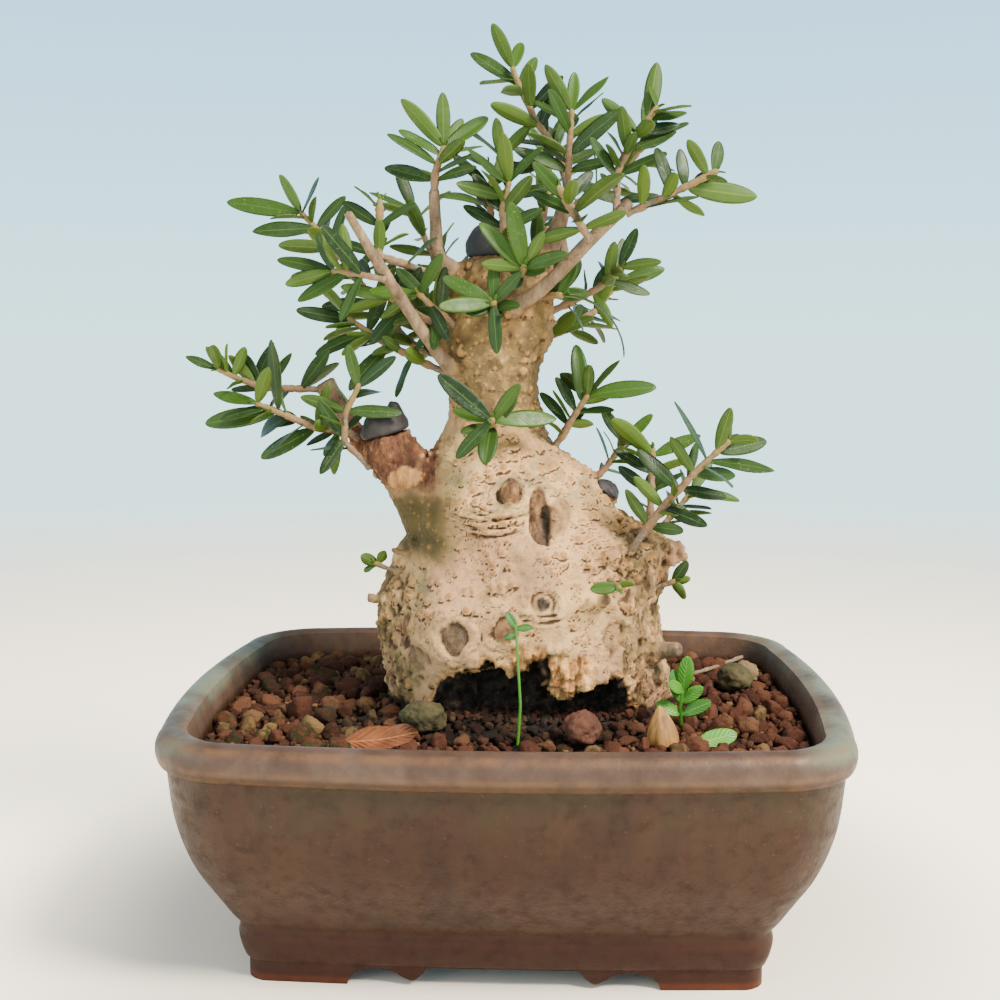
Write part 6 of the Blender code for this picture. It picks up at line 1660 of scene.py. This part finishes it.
def fine_leaf(shape, draw, out, tint, turn_up=0.0):
    # A thin blade with a folded middle, rolled margins and a midrib below, on the CAD leaf's arc
    base, along, up, length, width, bend = shape
    points, faces, index, leaf, tints = out
    sky = Vector((0, 0, 1)) - along * along.z
    if turn_up and sky.length > 0.3:
        gap = math.atan2(along.dot(up.cross(sky)), up.dot(sky))
        up = Matrix.Rotation(turn_up * max(-1.3, min(1.3, gap)), 3, along.normalized()) @ up
    side = along.cross(up).normalized()
    bend = bend if abs(bend) > 1e-3 else 1e-3
    fold = draw.uniform(0.02, 0.34)
    roll = draw.uniform(0.0, 0.28)
    twist = math.radians(draw.uniform(-16, 16))
    ripple = draw.uniform(0.0, 0.22)
    phase = draw.uniform(0, 6.28)
    start = len(points)
    form = (fold, roll, ripple, phase)
    ring = len(LEAF_ACROSS) + len(LEAF_UNDER)
    for s in LEAF_PLACES:
        a = bend * s
        mid = base + length * (along * math.sin(a) - up * (1 - math.cos(a))) / bend
        forward = along * math.cos(a) - up * math.sin(a)
        normal = up * math.cos(a) + along * math.sin(a)
        turn = Matrix.Rotation(twist * s, 3, forward)
        across, face = turn @ side, turn @ normal
        half = width / 2 * leaf_outline(s)
        thick = 0.42 if s > 0.06 else 0.7
        for u in LEAF_ACROSS:
            lift = blade_lift(u, s, half, form)
            if u == 0.0:
                lift -= 0.05
            points.append(mid + across * (u * half) + face * (lift + thick / 2 * (1 - 0.8 * abs(u))))
            leaf.append((u, s, 0.0))
        for u in LEAF_UNDER:
            lift = blade_lift(u, s, half, form)
            rib = 0.16 * (1 - s) if u == 0.0 else 0.0
            points.append(mid + across * (u * half) + face * (lift - thick / 2 * (1 - 0.6 * abs(u)) - rib))
            leaf.append((u, s, 1.0))
    tip = base + length * (along * math.sin(bend) - up * (1 - math.cos(bend))) / bend
    points.append(tip)
    leaf.append((0.0, 1.0, 0.5))
    tints.extend([tint] * (ring * len(LEAF_PLACES) + 1))
    top_faces = len(LEAF_ACROSS) - 1
    for row in range(len(LEAF_PLACES) - 1):
        for i in range(ring):
            j = (i + 1) % ring
            a, b = start + row * ring, start + (row + 1) * ring
            faces.append((a + i, b + i, b + j, a + j))
            index.append(0 if i < top_faces else 1)
    last = start + (len(LEAF_PLACES) - 1) * ring
    for i in range(ring):
        faces.append((last + i, len(points) - 1, last + (i + 1) % ring))
        index.append(0 if i < top_faces else 1)
    faces.append(tuple(range(start, start + ring)))
    index.append(1)


def shoot_leaves(wood, trees):
    # Every shoot's route and leaves, found in the order in which the shoots grew
    found = []
    for row in SHOOTS:
        kept = seated_route(row[1], row[2][0], wood)
        sisters = []
        shapes = [placed_leaf(spec, trees, sisters) for spec in leaf_specs(row, kept)]
        shapes = [shape for shape in shapes if shape]
        found.append((row, kept, shapes, sisters))
        trees.append(node_tree_of(row[0]))
    return found


def add_small_leaves(found, trees, draw):
    # Shorter leaves between the others, wherever one fits without touching
    first = len(trees) - len(found)
    more = []
    for number, (_, kept, shapes, sisters) in enumerate(found):
        total = sum(route_lengths(kept))
        if total < 9:
            continue
        others = [tree for k, tree in enumerate(trees) if k != first + number] + more
        usual = sum(shape[3] for shape in shapes) / max(len(shapes), 1)
        for _ in range(int(total / 1.5)):
            base, axis = route_at(kept, draw.uniform(0.16, 0.98))
            if min(((base - shape[0]).length for shape in shapes), default=9) < 1.5:
                continue
            across = axis.orthogonal().normalized()
            radial = Matrix.Rotation(draw.uniform(0, FULL_TURN), 3, axis) @ across
            along, up = splayed(axis, radial, math.radians(draw.uniform(38, 66)))
            length = usual * draw.uniform(0.50, 0.92)
            width = length * draw.uniform(0.32, 0.48)
            spec = (base, along, up, length, width, draw.uniform(-4, 30))
            shape = placed_leaf(spec, others, list(sisters))
            if shape is None:
                continue
            probe = BVHTree.FromPolygons(*leaf_mesh(*shape, start=0.25))
            if any(tree.overlap(probe) for tree in sisters):
                continue
            sisters.append(probe)
            more.append(probe)
            shapes.append(shape)


def build_shoot(row, kept, shapes, draw):
    name, _, radii, _, _ = row
    out = ([], [], [], [], [])
    points, faces, index, leaf, tints = out
    stem_hue = draw.random()
    # Stem: a little thicker at each pair of leaves and at its foot
    first = Vector(kept[0])
    back = (Vector(kept[1]) - first).normalized() * (1.6 + 0.5 * radii[0])
    stem_route = [tuple(first - back)] + kept
    total = sum(route_lengths(stem_route))
    fine = fine_route(stem_route, 0.7)
    count = len(fine)
    rings = []
    swells = []
    for k, p in enumerate(fine):
        t = k / (count - 1)
        nearest = min(((p - shape[0]).length for shape in shapes), default=9.0)
        swell = math.exp(-(nearest / 1.3) ** 2)
        foot = math.exp(-(t * total / 1.6) ** 2)
        rings.append(lerp(radii[0], radii[1], t) * (0.86 + 0.34 * swell + 0.30 * foot)
                     + 0.05 * math.sin(k * 1.9))
        swells.append(max(swell, 0.4 * foot))
    stem, stem_faces = sweep(fine, rings, 9)
    points.extend(stem)
    faces.extend(stem_faces)
    index.extend([2] * len(stem_faces))
    for k in range(len(stem) // 9):
        for i in range(9):
            leaf.append((i / 9, min(k / (count - 1), 1.0), 0.0))
            tints.append((stem_hue, 0.0, swells[min(k, count - 1)]))
    for shape in shapes:
        share = draw.random()
        at_tip = (shape[0] - fine[-1]).length < 2.5
        tint = (share, (0.55 if at_tip and draw.random() < 0.5 else 0.0) + draw.random() * 0.22,
                draw.random() ** 1.5)
        roll = roll_draw.random()
        fine_leaf(shape, draw, out, tint, 0.0 if "star" in name or roll < 0.6 else roll * 1.2 - 0.55)
    # Two tiny leaves and a bud at the growing tip
    ahead = (fine[-1] - fine[-3]).normalized()
    for k in range(2):
        radial = Matrix.Rotation(math.radians(draw.uniform(0, 360)), 3,
                                 ahead) @ ahead.orthogonal().normalized()
        along, up = splayed(ahead, radial, math.radians(24))
        shape = (fine[-1] - ahead * 0.2, along, up, draw.uniform(2.4, 3.6), 1.2, 0.3)
        fine_leaf(shape, draw, out, (0.9, 0.85, 0.1))
    piece = new_object(name + "_fine", points, faces, ["leaf_top", "leaf_under", "twig"],
                       index, {"leaf": leaf, "tint": tints}, outward=True)
    dress(piece, "leaf", name)


# Soil bed and its granules

SOIL_INSET = 10.35
RIM_STEPS = 720
RIM = resample(pot_ring(SOIL_EDGE_Z, SOIL_INSET), RIM_STEPS, Vector((ROOT_X, ROOT_Y)))


def rim_point(angle):
    # Where a ray from the root's centre meets the pot's inner wall
    k = angle / FULL_TURN * RIM_STEPS % RIM_STEPS
    a, b = RIM[int(k) % RIM_STEPS], RIM[(int(k) + 1) % RIM_STEPS]
    return lerp(a[0], b[0], k % 1), lerp(a[1], b[1], k % 1)


def humus_share(x, y):
    # Black humus in front of the hollow and to its left
    d = math.hypot((x - 2.0) / 38.0, (y + 34.0) / 13.0)
    side = math.hypot((x + 42.0) / 13.0, (y + 24.0) / 15.0)
    n = 0.25 * noise.noise(Vector((x * 0.12, y * 0.12, 4.0)))
    return max(smooth01(1.45 - d + n), smooth01(1.2 - side + n))


def build_bed():
    around, rows = 240, 46
    rim = [rim_point(a) for a in angles(around)]
    inner = [(ROOT_X + (ROOT_HALF_X - 0.6) * math.cos(a), ROOT_Y + (ROOT_HALF_Y - 0.6) * math.sin(a))
             for a in angles(around)]
    points = [(x, y, CUT_Z + 0.4) for x, y in rim]
    tints = [(0.0, 0.0, 0.0)] * around
    for k in range(rows):
        t = k / (rows - 1)
        for (x0, y0), (x1, y1) in zip(rim, inner):
            x, y = lerp(x0, x1, t), lerp(y0, y1, t)
            rough = 0.7 * noise.fractal(Vector((x, y, 0)) / 2.2, 1.0, 2.0, 3)
            points.append((x, y, soil_height(x, y, t) - 0.9 + rough))
            tints.append((humus_share(x, y), 0.0, 0.0))
    points += [(x, y, CUT_Z + 0.4) for x, y in inner]
    tints += [(0.0, 0.0, 0.0)] * around
    faces = loft(rows + 2, around, caps=False)
    last = (rows + 1) * around
    for i in range(around):
        j = (i + 1) % around
        faces.append((last + i, last + j, j, i))
    bed = new_object("soil_bed", points, faces, ["earth"], None, {"tint": tints}, outward=True)
    dress(bed, "granules", "soil")


def grain_shape(draw, level):
    # A crumb: a sphere knocked flat on random sides and roughened
    bm = bmesh.new()
    bmesh.ops.create_icosphere(bm, subdivisions=level, radius=1.0)
    cuts = [(Vector((draw.uniform(-1, 1), draw.uniform(-1, 1), draw.uniform(-1, 1))).normalized(),
             draw.uniform(0.5, 0.85)) for _ in range(9)]
    seed = Vector((draw.uniform(0, 50), draw.uniform(0, 50), 0))
    points = []
    for v in bm.verts:
        p = v.co.copy()
        for axis, reach in cuts:
            over = p.dot(axis) - reach
            if over > 0:
                p -= axis * over * 0.85
        p *= 1 + 0.20 * noise.fractal(p * 2.0 + seed, 0.8, 2.0, 4)
        points.append(p)
    faces = [tuple(v.index for v in f.verts) for f in bm.faces]
    bm.free()
    return points, faces


# Granules in layers, the large ones first: tries, smallest and largest radius, share of the free gap
GRAIN_LAYERS = ((5200, 2.5, 4.7, 0.86), (7000, 1.5, 2.5, 0.78), (9000, 0.8, 1.5, 0.70))
GRAIN_SHAPES = 14
GRAIN_CELL = 9
DOWN = Vector((0, 0, -1))


def cell_of(x, y):
    return int(x // GRAIN_CELL), int(y // GRAIN_CELL)


def crowded(laid, x, y, r, gap):
    i, j = cell_of(x, y)
    close = [spot for k in (-1, 0, 1) for m in (-1, 0, 1) for spot in laid.get((i + k, j + m), ())]
    return any(math.hypot(px - x, py - y) < (pr + r) * gap for px, py, pr in close)


def free_soil(x, y, r, draw, soil, wood, small):
    # Height of the soil under a granule, or None where the pot, the trunk or a small thing is
    centre = Vector((ROOT_X, ROOT_Y))
    ray = Vector((x, y)) - centre
    edge = (Vector(rim_point(math.atan2(ray.y, ray.x) % FULL_TURN)) - centre).length
    if ray.length > edge - r * 0.9:
        return None
    hit = soil.ray_cast(Vector((x, y, 200.0)), DOWN)[0]
    if hit is None or hit.z < 60:
        return None
    if math.hypot((x - ROOT_X) / ROOT_HALF_X, (y - ROOT_Y) / ROOT_HALF_Y) < 1.0 - r / 60:
        return None
    if humus_share(x, y) > 0.55 and (r > 2.6 or draw.random() < 0.25):
        return None
    near = wood.find_nearest(Vector((x, y, hit.z + r * 0.3)))[3]
    if near is not None and near < r * 0.45:
        return None
    middle = Vector((x, y, hit.z + r * 0.5))
    if any(tree.find_nearest(middle, r * 0.8 + 0.6)[0] is not None for tree in small):
        return None
    return hit.z


def soil_spots(draw, laid, soil, wood, small):
    # Place, radius and turn of each granule on the soil
    for tries, low, high, gap in GRAIN_LAYERS:
        for _ in range(tries):
            a = draw.uniform(0, FULL_TURN)
            x, y = draw.uniform(-92, 92), draw.uniform(-71, 71)
            r = lerp(low, high, draw.random() ** (0.9 if low > 2 else 1.5))
            z = free_soil(x, y, r, draw, soil, wood, small)
            if z is None or crowded(laid, x, y, r, gap):
                continue
            laid.setdefault(cell_of(x, y), []).append((x, y, r))
            yield x, y, z, r, a


def hollow_spots(draw, laid, wood):
    # Fine crumbs on the floor of the rotten hollow
    for _ in range(2600):
        x, y = draw.uniform(-24, 40), draw.uniform(-40, -12)
        r = lerp(0.7, 2.1, draw.random() ** 1.4)
        hit = wood.ray_cast(Vector((x, y, HOLLOW_FLOOR_Z + 3.5)), DOWN)[0]
        if hit is None or abs(hit.z - HOLLOW_FLOOR_Z) > 1.5 or crowded(laid, x, y, r, 0.6):
            continue
        laid.setdefault(cell_of(x, y), []).append((x, y, r))
        yield x, y, hit.z - 0.3 * r, r, draw.uniform(0, 6.28)


def grain_tint(x, y, draw):
    # Hue, moss and humus; moss grows mostly on the left and in front of the trunk
    mossy = smooth01((-x - 18) / 50) * 0.55 + 0.08 + (0.3 if y < -30 and x < 25 else 0)
    kind = draw.random()
    moss = draw.uniform(0.5, 1.0) if kind < mossy * 0.55 else 0.0
    pale = draw.random() < 0.10 + 0.25 * (moss > 0)
    hue = draw.uniform(0.88, 1.0) if pale else draw.random() * 0.85
    return hue, moss, humus_share(x, y) * draw.uniform(0.55, 1.0)


def add_grain(spot, shapes, draw, out):
    x, y, z, r, a = spot
    points, faces, tints = out
    level = 3 if r > 1.9 and y < 8 else 2
    shape, shape_faces = shapes[level][draw.randrange(GRAIN_SHAPES)]
    turn = Matrix.Rotation(a, 3, Vector((draw.uniform(-1, 1), draw.uniform(-1, 1), 1)).normalized())
    squash = Matrix.Diagonal((draw.uniform(0.85, 1.2), draw.uniform(0.75, 1.0), draw.uniform(0.65, 0.9)))
    lift = r * draw.uniform(0.05, 0.42)
    start = len(points)
    for p in shape:
        q = turn @ (squash @ p) * r
        points.append((x + q.x, y + q.y, z + q.z + lift))
    faces.extend(tuple(start + i for i in face) for face in shape_faces)
    tints.extend([grain_tint(x, y, draw)] * len(shape))


def build_granules(soil, wood, small):
    draw = random.Random(71)
    shapes = {level: [grain_shape(draw, level) for _ in range(GRAIN_SHAPES)] for level in (2, 3)}
    laid = {}
    spots = list(soil_spots(draw, laid, soil, wood, small)) + list(hollow_spots(draw, laid, wood))
    groups = {"front": ([], [], []), "back": ([], [], [])}
    for spot in spots:
        add_grain(spot, shapes, draw, groups["front" if spot[1] < 0 else "back"])
    for key, (points, faces, tints) in groups.items():
        grains = new_object("granules_" + key, points, faces, ["granules"], None, {"tint": tints})
        dress(grains, "granules")


# Small things on the soil

STONES = {"stone_mossy": "mossy_stone", "stone_red": "red_stone", "stone_round": "mossy_stone",
          "stone_tan": "tan_stone"}


def stone_fine(name, mat):
    # The CAD stone's own form, divided finely and weathered
    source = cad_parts[name]
    bm = bmesh.new()
    bm.from_mesh(source.data)
    bmesh.ops.remove_doubles(bm, verts=bm.verts, dist=1e-6)
    bmesh.ops.subdivide_edges(bm, edges=bm.edges, cuts=5, use_grid_fill=True)
    for _ in range(7):
        bmesh.ops.smooth_vert(bm, verts=bm.verts, factor=0.5,
                              use_axis_x=True, use_axis_y=True, use_axis_z=True)
    bm.normal_update()
    for v in bm.verts:
        p = v.co / MM
        rough = noise.fractal(p / 4.2, 1.0, 2.0, 3) * 0.9 + noise.fractal(p / 1.3, 0.8, 2.0, 3) * 0.35
        v.co += v.normal * (0.35 + rough) * MM
    points = [tuple(v.co / MM) for v in bm.verts]
    faces = [tuple(v.index for v in f.verts) for f in bm.faces]
    bm.free()
    stone = new_object(name + "_fine", points, faces, [mat])
    dress(stone, mat, name)


def lying_leaf(name, mat, slot, base, heading, lean, length, width, bend, curl, waves):
    # Its corner heights come from the CAD leaf, which was let down on to the soil
    low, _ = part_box(name)
    along = Vector((math.cos(math.radians(heading)), math.sin(math.radians(heading)), 0))
    up = Vector((0, -math.sin(math.radians(lean)), math.cos(math.radians(lean))))
    side = along.cross(up).normalized()
    face = side.cross(along)
    bend = math.radians(bend)
    coarse, _ = leaf_mesh(Vector((*base, 75)), along, face, length, width, bend)
    drop = low.z / MM - min(p.z for p in coarse)
    rows, cols = 30, 13
    points, leaf = [], []
    for thick in (0.25, -0.25):
        for k in range(rows):
            s = k / (rows - 1)
            a = bend * s
            mid = Vector((*base,
                          75 + drop)) + length * (along * math.sin(a) - face * (1 - math.cos(a))) / bend
            normal = face * math.cos(a) + along * math.sin(a)
            half = max(width / 2 * leaf_outline(s), 0.25)
            for j in range(cols):
                u = -1 + 2 * j / (cols - 1)
                lift = curl * half * u * u + waves * math.sin(11 * s + 2.2 * u) * abs(u)
                lift += waves * 0.8 * math.sin(17 * s + 1.0) * max(u, 0) ** 2
                points.append(mid + side * (u * half) + normal * (lift + thick * (1 - 0.7 * u * u)))
                leaf.append((u, s, 0.0))
    faces = []
    for k in range(rows - 1):
        for j in range(cols - 1):
            a = k * cols + j
            faces.append((a, a + 1, a + cols + 1, a + cols))
            b = rows * cols + a
            faces.append((b, b + cols, b + cols + 1, b + 1))
    rim = list(range(cols)) + [k * cols + cols - 1 for k in range(1, rows)]
    rim += [(rows - 1) * cols + j for j in range(cols - 2, -1, -1)]
    rim += [k * cols for k in range(rows - 2, 0, -1)]
    for a, b in zip(rim, rim[1:] + rim[:1]):
        faces.append((b, a, rows * cols + a, rows * cols + b))
    tint = [(0.8, 0.0, 0.0)] * len(points)
    blade = new_object(name + "_fine", points, faces, [mat], None, {"leaf": leaf, "tint": tint}, outward=True)
    dress(blade, slot, name)


def herb_shapes(stem, leaves, trees):
    route = [p[:3] for p in stem]
    sisters = []
    shapes = []
    for place, heading, tilt, length, width in leaves:
        base, _ = route_at(route, place)
        spec = (base, pointing(heading, tilt), VIEW_DIR + Vector((0, 0, 0.5)), length, width, 10)
        shapes.append(placed_leaf(spec, trees, sisters))
    return shapes


def herb_fine(name, stem, shapes, draw):
    # The herb's stem and blades, at the place where the CAD herb stands
    out = ([], [], [], [], [])
    points, faces, index, leaf, tints = out
    route = [p[:3] for p in stem]
    fine = fine_route(route, 0.8)
    radii = [lerp(stem[0][3], stem[-1][3], k / (len(fine) - 1)) * 0.72 for k in range(len(fine))]
    body, body_faces = sweep(fine, radii, 8)
    points.extend(body)
    faces.extend(body_faces)
    index.extend([0] * len(body_faces))
    leaf.extend([(0.5, 0.5, 0.0)] * len(body))
    tints.extend([(0.75, 0.0, 0.0)] * len(body))
    for shape in shapes:
        if shape:
            hue = draw.uniform(0.35, 1.0)
            fine_leaf(shape, draw, out, (hue * (0.2 if name == "seedling" else 1.0), 0.0, 0.0))
    index = [0] * len(faces)
    low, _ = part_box(name)
    drop = low.z / MM - min(p[2] for p in points)
    points = [(p[0], p[1], p[2] + drop) for p in points]
    herb = new_object(name + "_fine", points, faces, ["young"], index, {"leaf": leaf, "tint": tints},
                      outward=True)
    dress(herb, "young_leaf", name)


def build_husk():
    # A split seed husk: a ribbed cone with a hooked tip
    low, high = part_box("seed_husk")
    cx, cy = (low.x + high.x) / 2 / MM, (low.y + high.y) / 2 / MM
    foot, top = low.z / MM, high.z / MM
    rows, around = 26, 44
    points = []
    for k in range(rows):
        t = k / (rows - 1)
        r = 4.3 * (1 - t) ** 0.62 * (1 + 0.18 * math.sin(math.pi * t)) + 0.25
        for i in range(around):
            a = FULL_TURN * i / around
            rib = 1 + 0.06 * math.cos(7 * a + 1.4 * t) + 0.03 * math.sin(3 * a)
            lean = 1.6 * t * t
            points.append((cx + r * rib * math.cos(a) - lean * 0.6, cy + r * rib * math.sin(a) + lean * 0.3,
                           lerp(foot, top, t)))
    husk = new_object("seed_husk_fine", points, loft(rows, around), ["husk"])
    dress(husk, "husk", "seed_husk")


def build_twig():
    low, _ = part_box("dead_twig")
    drop = low.z / MM
    route = [Vector(p) for p in ((62, 40, 74), (72, 46, 75.5), (81, 53.5, 77))]
    lowest = min(p.z - r for p, r in zip(route, (0.8, 0.9, 0.6)))
    route = [p + Vector((0, 0, drop - lowest)) for p in route]
    fine = fine_route([tuple(p) for p in route], 1.0)
    radii = [0.75 + 0.12 * math.sin(k * 1.3) for k in range(len(fine))]
    points, faces = sweep(fine, radii, 10)
    leaf = [(0.0, 0.1, 0.0)] * len(points)
    twig = new_object("dead_twig_fine", points, faces, ["twig"], None,
                      {"leaf": leaf, "tint": [(0.0, 0.0, 0.2)] * len(points)})
    dress(twig, "dead_wood", "dead_twig")


def main():
    soil, wood = node_tree_of("soil"), node_tree_of("trunk")
    trees = [wood] + [node_tree_of(cap[0]) for cap in PASTE_CAPS] + [soil]
    build_pot()
    build_trunk()
    build_paste()
    draw = random.Random(5)
    found = shoot_leaves(wood, trees)
    weed = herb_shapes(WEED_STEM, WEED_LEAVES, trees)
    seedling = herb_shapes(SEEDLING_STEM, SEEDLING_LEAVES, trees)
    add_small_leaves(found, trees, draw)
    for row, kept, shapes, _ in found:
        build_shoot(row, kept, shapes, draw)
    build_bed()
    small = [node_tree_of(name) for name in (*STONES, "dry_leaf", "fallen_leaf", "seed_husk", "weed",
                                             "seedling")]
    build_granules(soil, wood, small)
    for name, mat in STONES.items():
        stone_fine(name, mat)
    lying_leaf("dry_leaf", "dry", "dry_leaf", (-47.5, -47.0), -2, 46, 25, 8.6, -34, 0.25, 0.9)
    lying_leaf("fallen_leaf", "young", "young_leaf", (55.5, -40.0), 30, 42, 13.5, 6.4, -12, 0.12, 0.1)
    herb_fine("weed", WEED_STEM, weed, draw)
    herb_fine("seedling", SEEDLING_STEM, seedling, draw)
    build_husk()
    build_twig()
    for side in ("left", "right"):
        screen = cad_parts["drain_screen_" + side]
        screen.data.materials.clear()
        screen.data.materials.append(MATS["net"])


WEED_STEM = [(52.4, -25.5, 69, 0.9), (51.8, -26.5, 75, 0.8), (52.2, -27.0, 80, 0.7)]
WEED_LEAVES = ((0.35, 150, 14, 9, 4.5), (0.35, 30, 14, 10, 4.8), (0.7, 105, 10, 11, 5.2),
               (0.7, 52, 22, 9, 4.4),
               (1.0, 84, 6, 12, 5.4), (1.0, 128, 16, 8, 4.2))
SEEDLING_STEM = [(3.8, -46.5, 68, 0.6), (4.6, -46.6, 80, 0.55), (3.2, -45.5, 103, 0.5)]
SEEDLING_LEAVES = ((0.97, 118, 8, 6, 2.6), (0.97, 10, 10, 5, 2.4), (0.93, -160, 12, 4, 2.2))

MATS = {
    "leaf_top": leaf_top_material(), "leaf_under": leaf_under_material(), "twig": twig_material(),
    "bark": bark_material(), "paste": paste_material(), "glaze": glaze_material(),
    "granules": granule_material(), "earth": earth_material(), "dry": dry_leaf_material(),
    "young": young_leaf_material(), "husk": husk_material(), "net": net_material(),
    "mossy_stone": pebble_material("mossy_stone", (0.028, 0.022, 0.010), (0.070, 0.055, 0.024),
                                   (0.130, 0.102, 0.045), 0.7),
    "red_stone": pebble_material("red_stone", (0.045, 0.017, 0.010), (0.098, 0.037, 0.021),
                                 (0.155, 0.066, 0.038), 0.0),
    "tan_stone": pebble_material("tan_stone", (0.100, 0.064, 0.034), (0.205, 0.130, 0.062),
                                 (0.360, 0.240, 0.115), 0.0),
}
main()


# Floor, light and camera

def area_light(name, location, target, size, power, color):
    lamp = bpy.data.lights.new(name, "AREA")
    lamp.shape = "DISK"
    lamp.size = size
    lamp.energy = power
    lamp.color = color
    holder = add_object(name, lamp)
    holder.location = location
    aim = Vector(target) - Vector(location)
    holder.rotation_euler = aim.to_track_quat("-Z", "Y").to_euler()


HORIZON = (0.60, 0.93, 0.97)
SKY_STRENGTH = 2.4
# Strength of the floor's painted glow round the pot
FLOOR_GLOW = 2.0


def floor_material():
    # The floor is cream round the pot and turns far off into the colour of the horizon
    p = Paint("floor_pale", 0.8, Specular_IOR_Level=0.0)
    flat = p.node("VectorMath", operation="LENGTH")
    p.put(flat.inputs[0], p.place())
    far = p.span(flat.outputs["Value"], 0.16, 0.85)
    cream = p.mix(p.span(p.noise(18, 4), 0.45, 0.7, 0.0, 0.2), (0.97, 0.875, 0.72), (0.92, 0.80, 0.64))
    p.finish(p.mix(far, cream, (0.0, 0.0, 0.0)))
    glow_hue = p.mix(p.span(flat.outputs["Value"], 0.4, 1.3), (1.0, 0.88, 0.66), HORIZON)
    p.put(p.shader.inputs["Emission Color"], glow_hue)
    # Painted light: from 0.10 to 0.20 m out the floor starts to glow cream, which brightens it and fades the
    # pot's shadow on it; under the pot it does not glow
    glow = p.span(flat.outputs["Value"], 0.10, 0.20, 0.0, FLOOR_GLOW)
    glow = p.sum("ADD", glow, p.sum("MULTIPLY", far, SKY_STRENGTH - FLOOR_GLOW))
    p.put(p.shader.inputs["Emission Strength"], glow)
    return p.mat


def build_floor():
    MATS["floor"] = floor_material()
    around = 128
    points = [(0.0, 0.0, 0.0)]
    rings = (120.0, 260.0, 600.0, 1500.0, 6000.0)
    for r in rings:
        points += [(r * math.cos(a), r * math.sin(a), 0.0) for a in angles(around)]
    faces = [(0, 1 + i, 1 + (i + 1) % around) for i in range(around)]
    for k in range(len(rings) - 1):
        a, b = 1 + k * around, 1 + (k + 1) * around
        faces += [(a + i, b + i, b + (i + 1) % around, a + (i + 1) % around) for i in range(around)]
    floor = new_object("floor", points, faces, ["floor"])


def build_sky():
    world = bpy.data.worlds.new("studio")
    bpy.context.scene.world = world
    world.use_nodes = True
    tree = world.node_tree
    sky = tree.nodes["Background"]
    coord = tree.nodes.new("ShaderNodeTexCoord")
    split = tree.nodes.new("ShaderNodeSeparateXYZ")
    ramp = tree.nodes.new("ShaderNodeValToRGB")
    tree.links.new(coord.outputs["Generated"], split.inputs[0])
    tree.links.new(split.outputs["Z"], ramp.inputs["Fac"])
    tree.links.new(ramp.outputs["Color"], sky.inputs["Color"])
    stops = ((0.0, HORIZON), (0.13, (0.44, 0.78, 0.94)), (0.26, (0.345, 0.62, 0.88)),
             (0.45, (0.26, 0.27, 0.29)), (1.0, (0.29, 0.29, 0.29)))
    band = ramp.color_ramp
    while len(band.elements) < len(stops):
        band.elements.new(0.5)
    for element, (at, color) in zip(band.elements, stops):
        element.position = at
        element.color = (*color, 1.0)
    sky.inputs["Strength"].default_value = SKY_STRENGTH


def build_stage():
    build_floor()
    build_sky()
    area_light("key", (0.60, -0.45, 0.85), (0, 0, 0.13), 0.35, 34.0, (1.0, 0.93, 0.82))
    area_light("fill", (-0.8, -0.6, 0.5), (0, 0, 0.13), 0.9, 5.0, (1.0, 0.97, 0.93))


def build_camera():
    camera = bpy.data.cameras.new("camera")
    camera.lens = 47.58
    camera.sensor_width = 36.0
    camera.sensor_fit = "HORIZONTAL"
    camera.clip_start = 0.01
    holder = add_object("camera", camera)
    right = Vector((0.99909, 0.04261, 0.0)).normalized()
    back = Vector((0.04231, -0.99198, 0.11911)).normalized()
    up = back.cross(right).normalized()
    place = Matrix((right, up, back)).transposed().to_4x4()
    place.translation = Vector((0.01438, -0.41215, 0.18303))
    holder.matrix_world = place
    bpy.context.scene.camera = holder


build_stage()
build_camera()
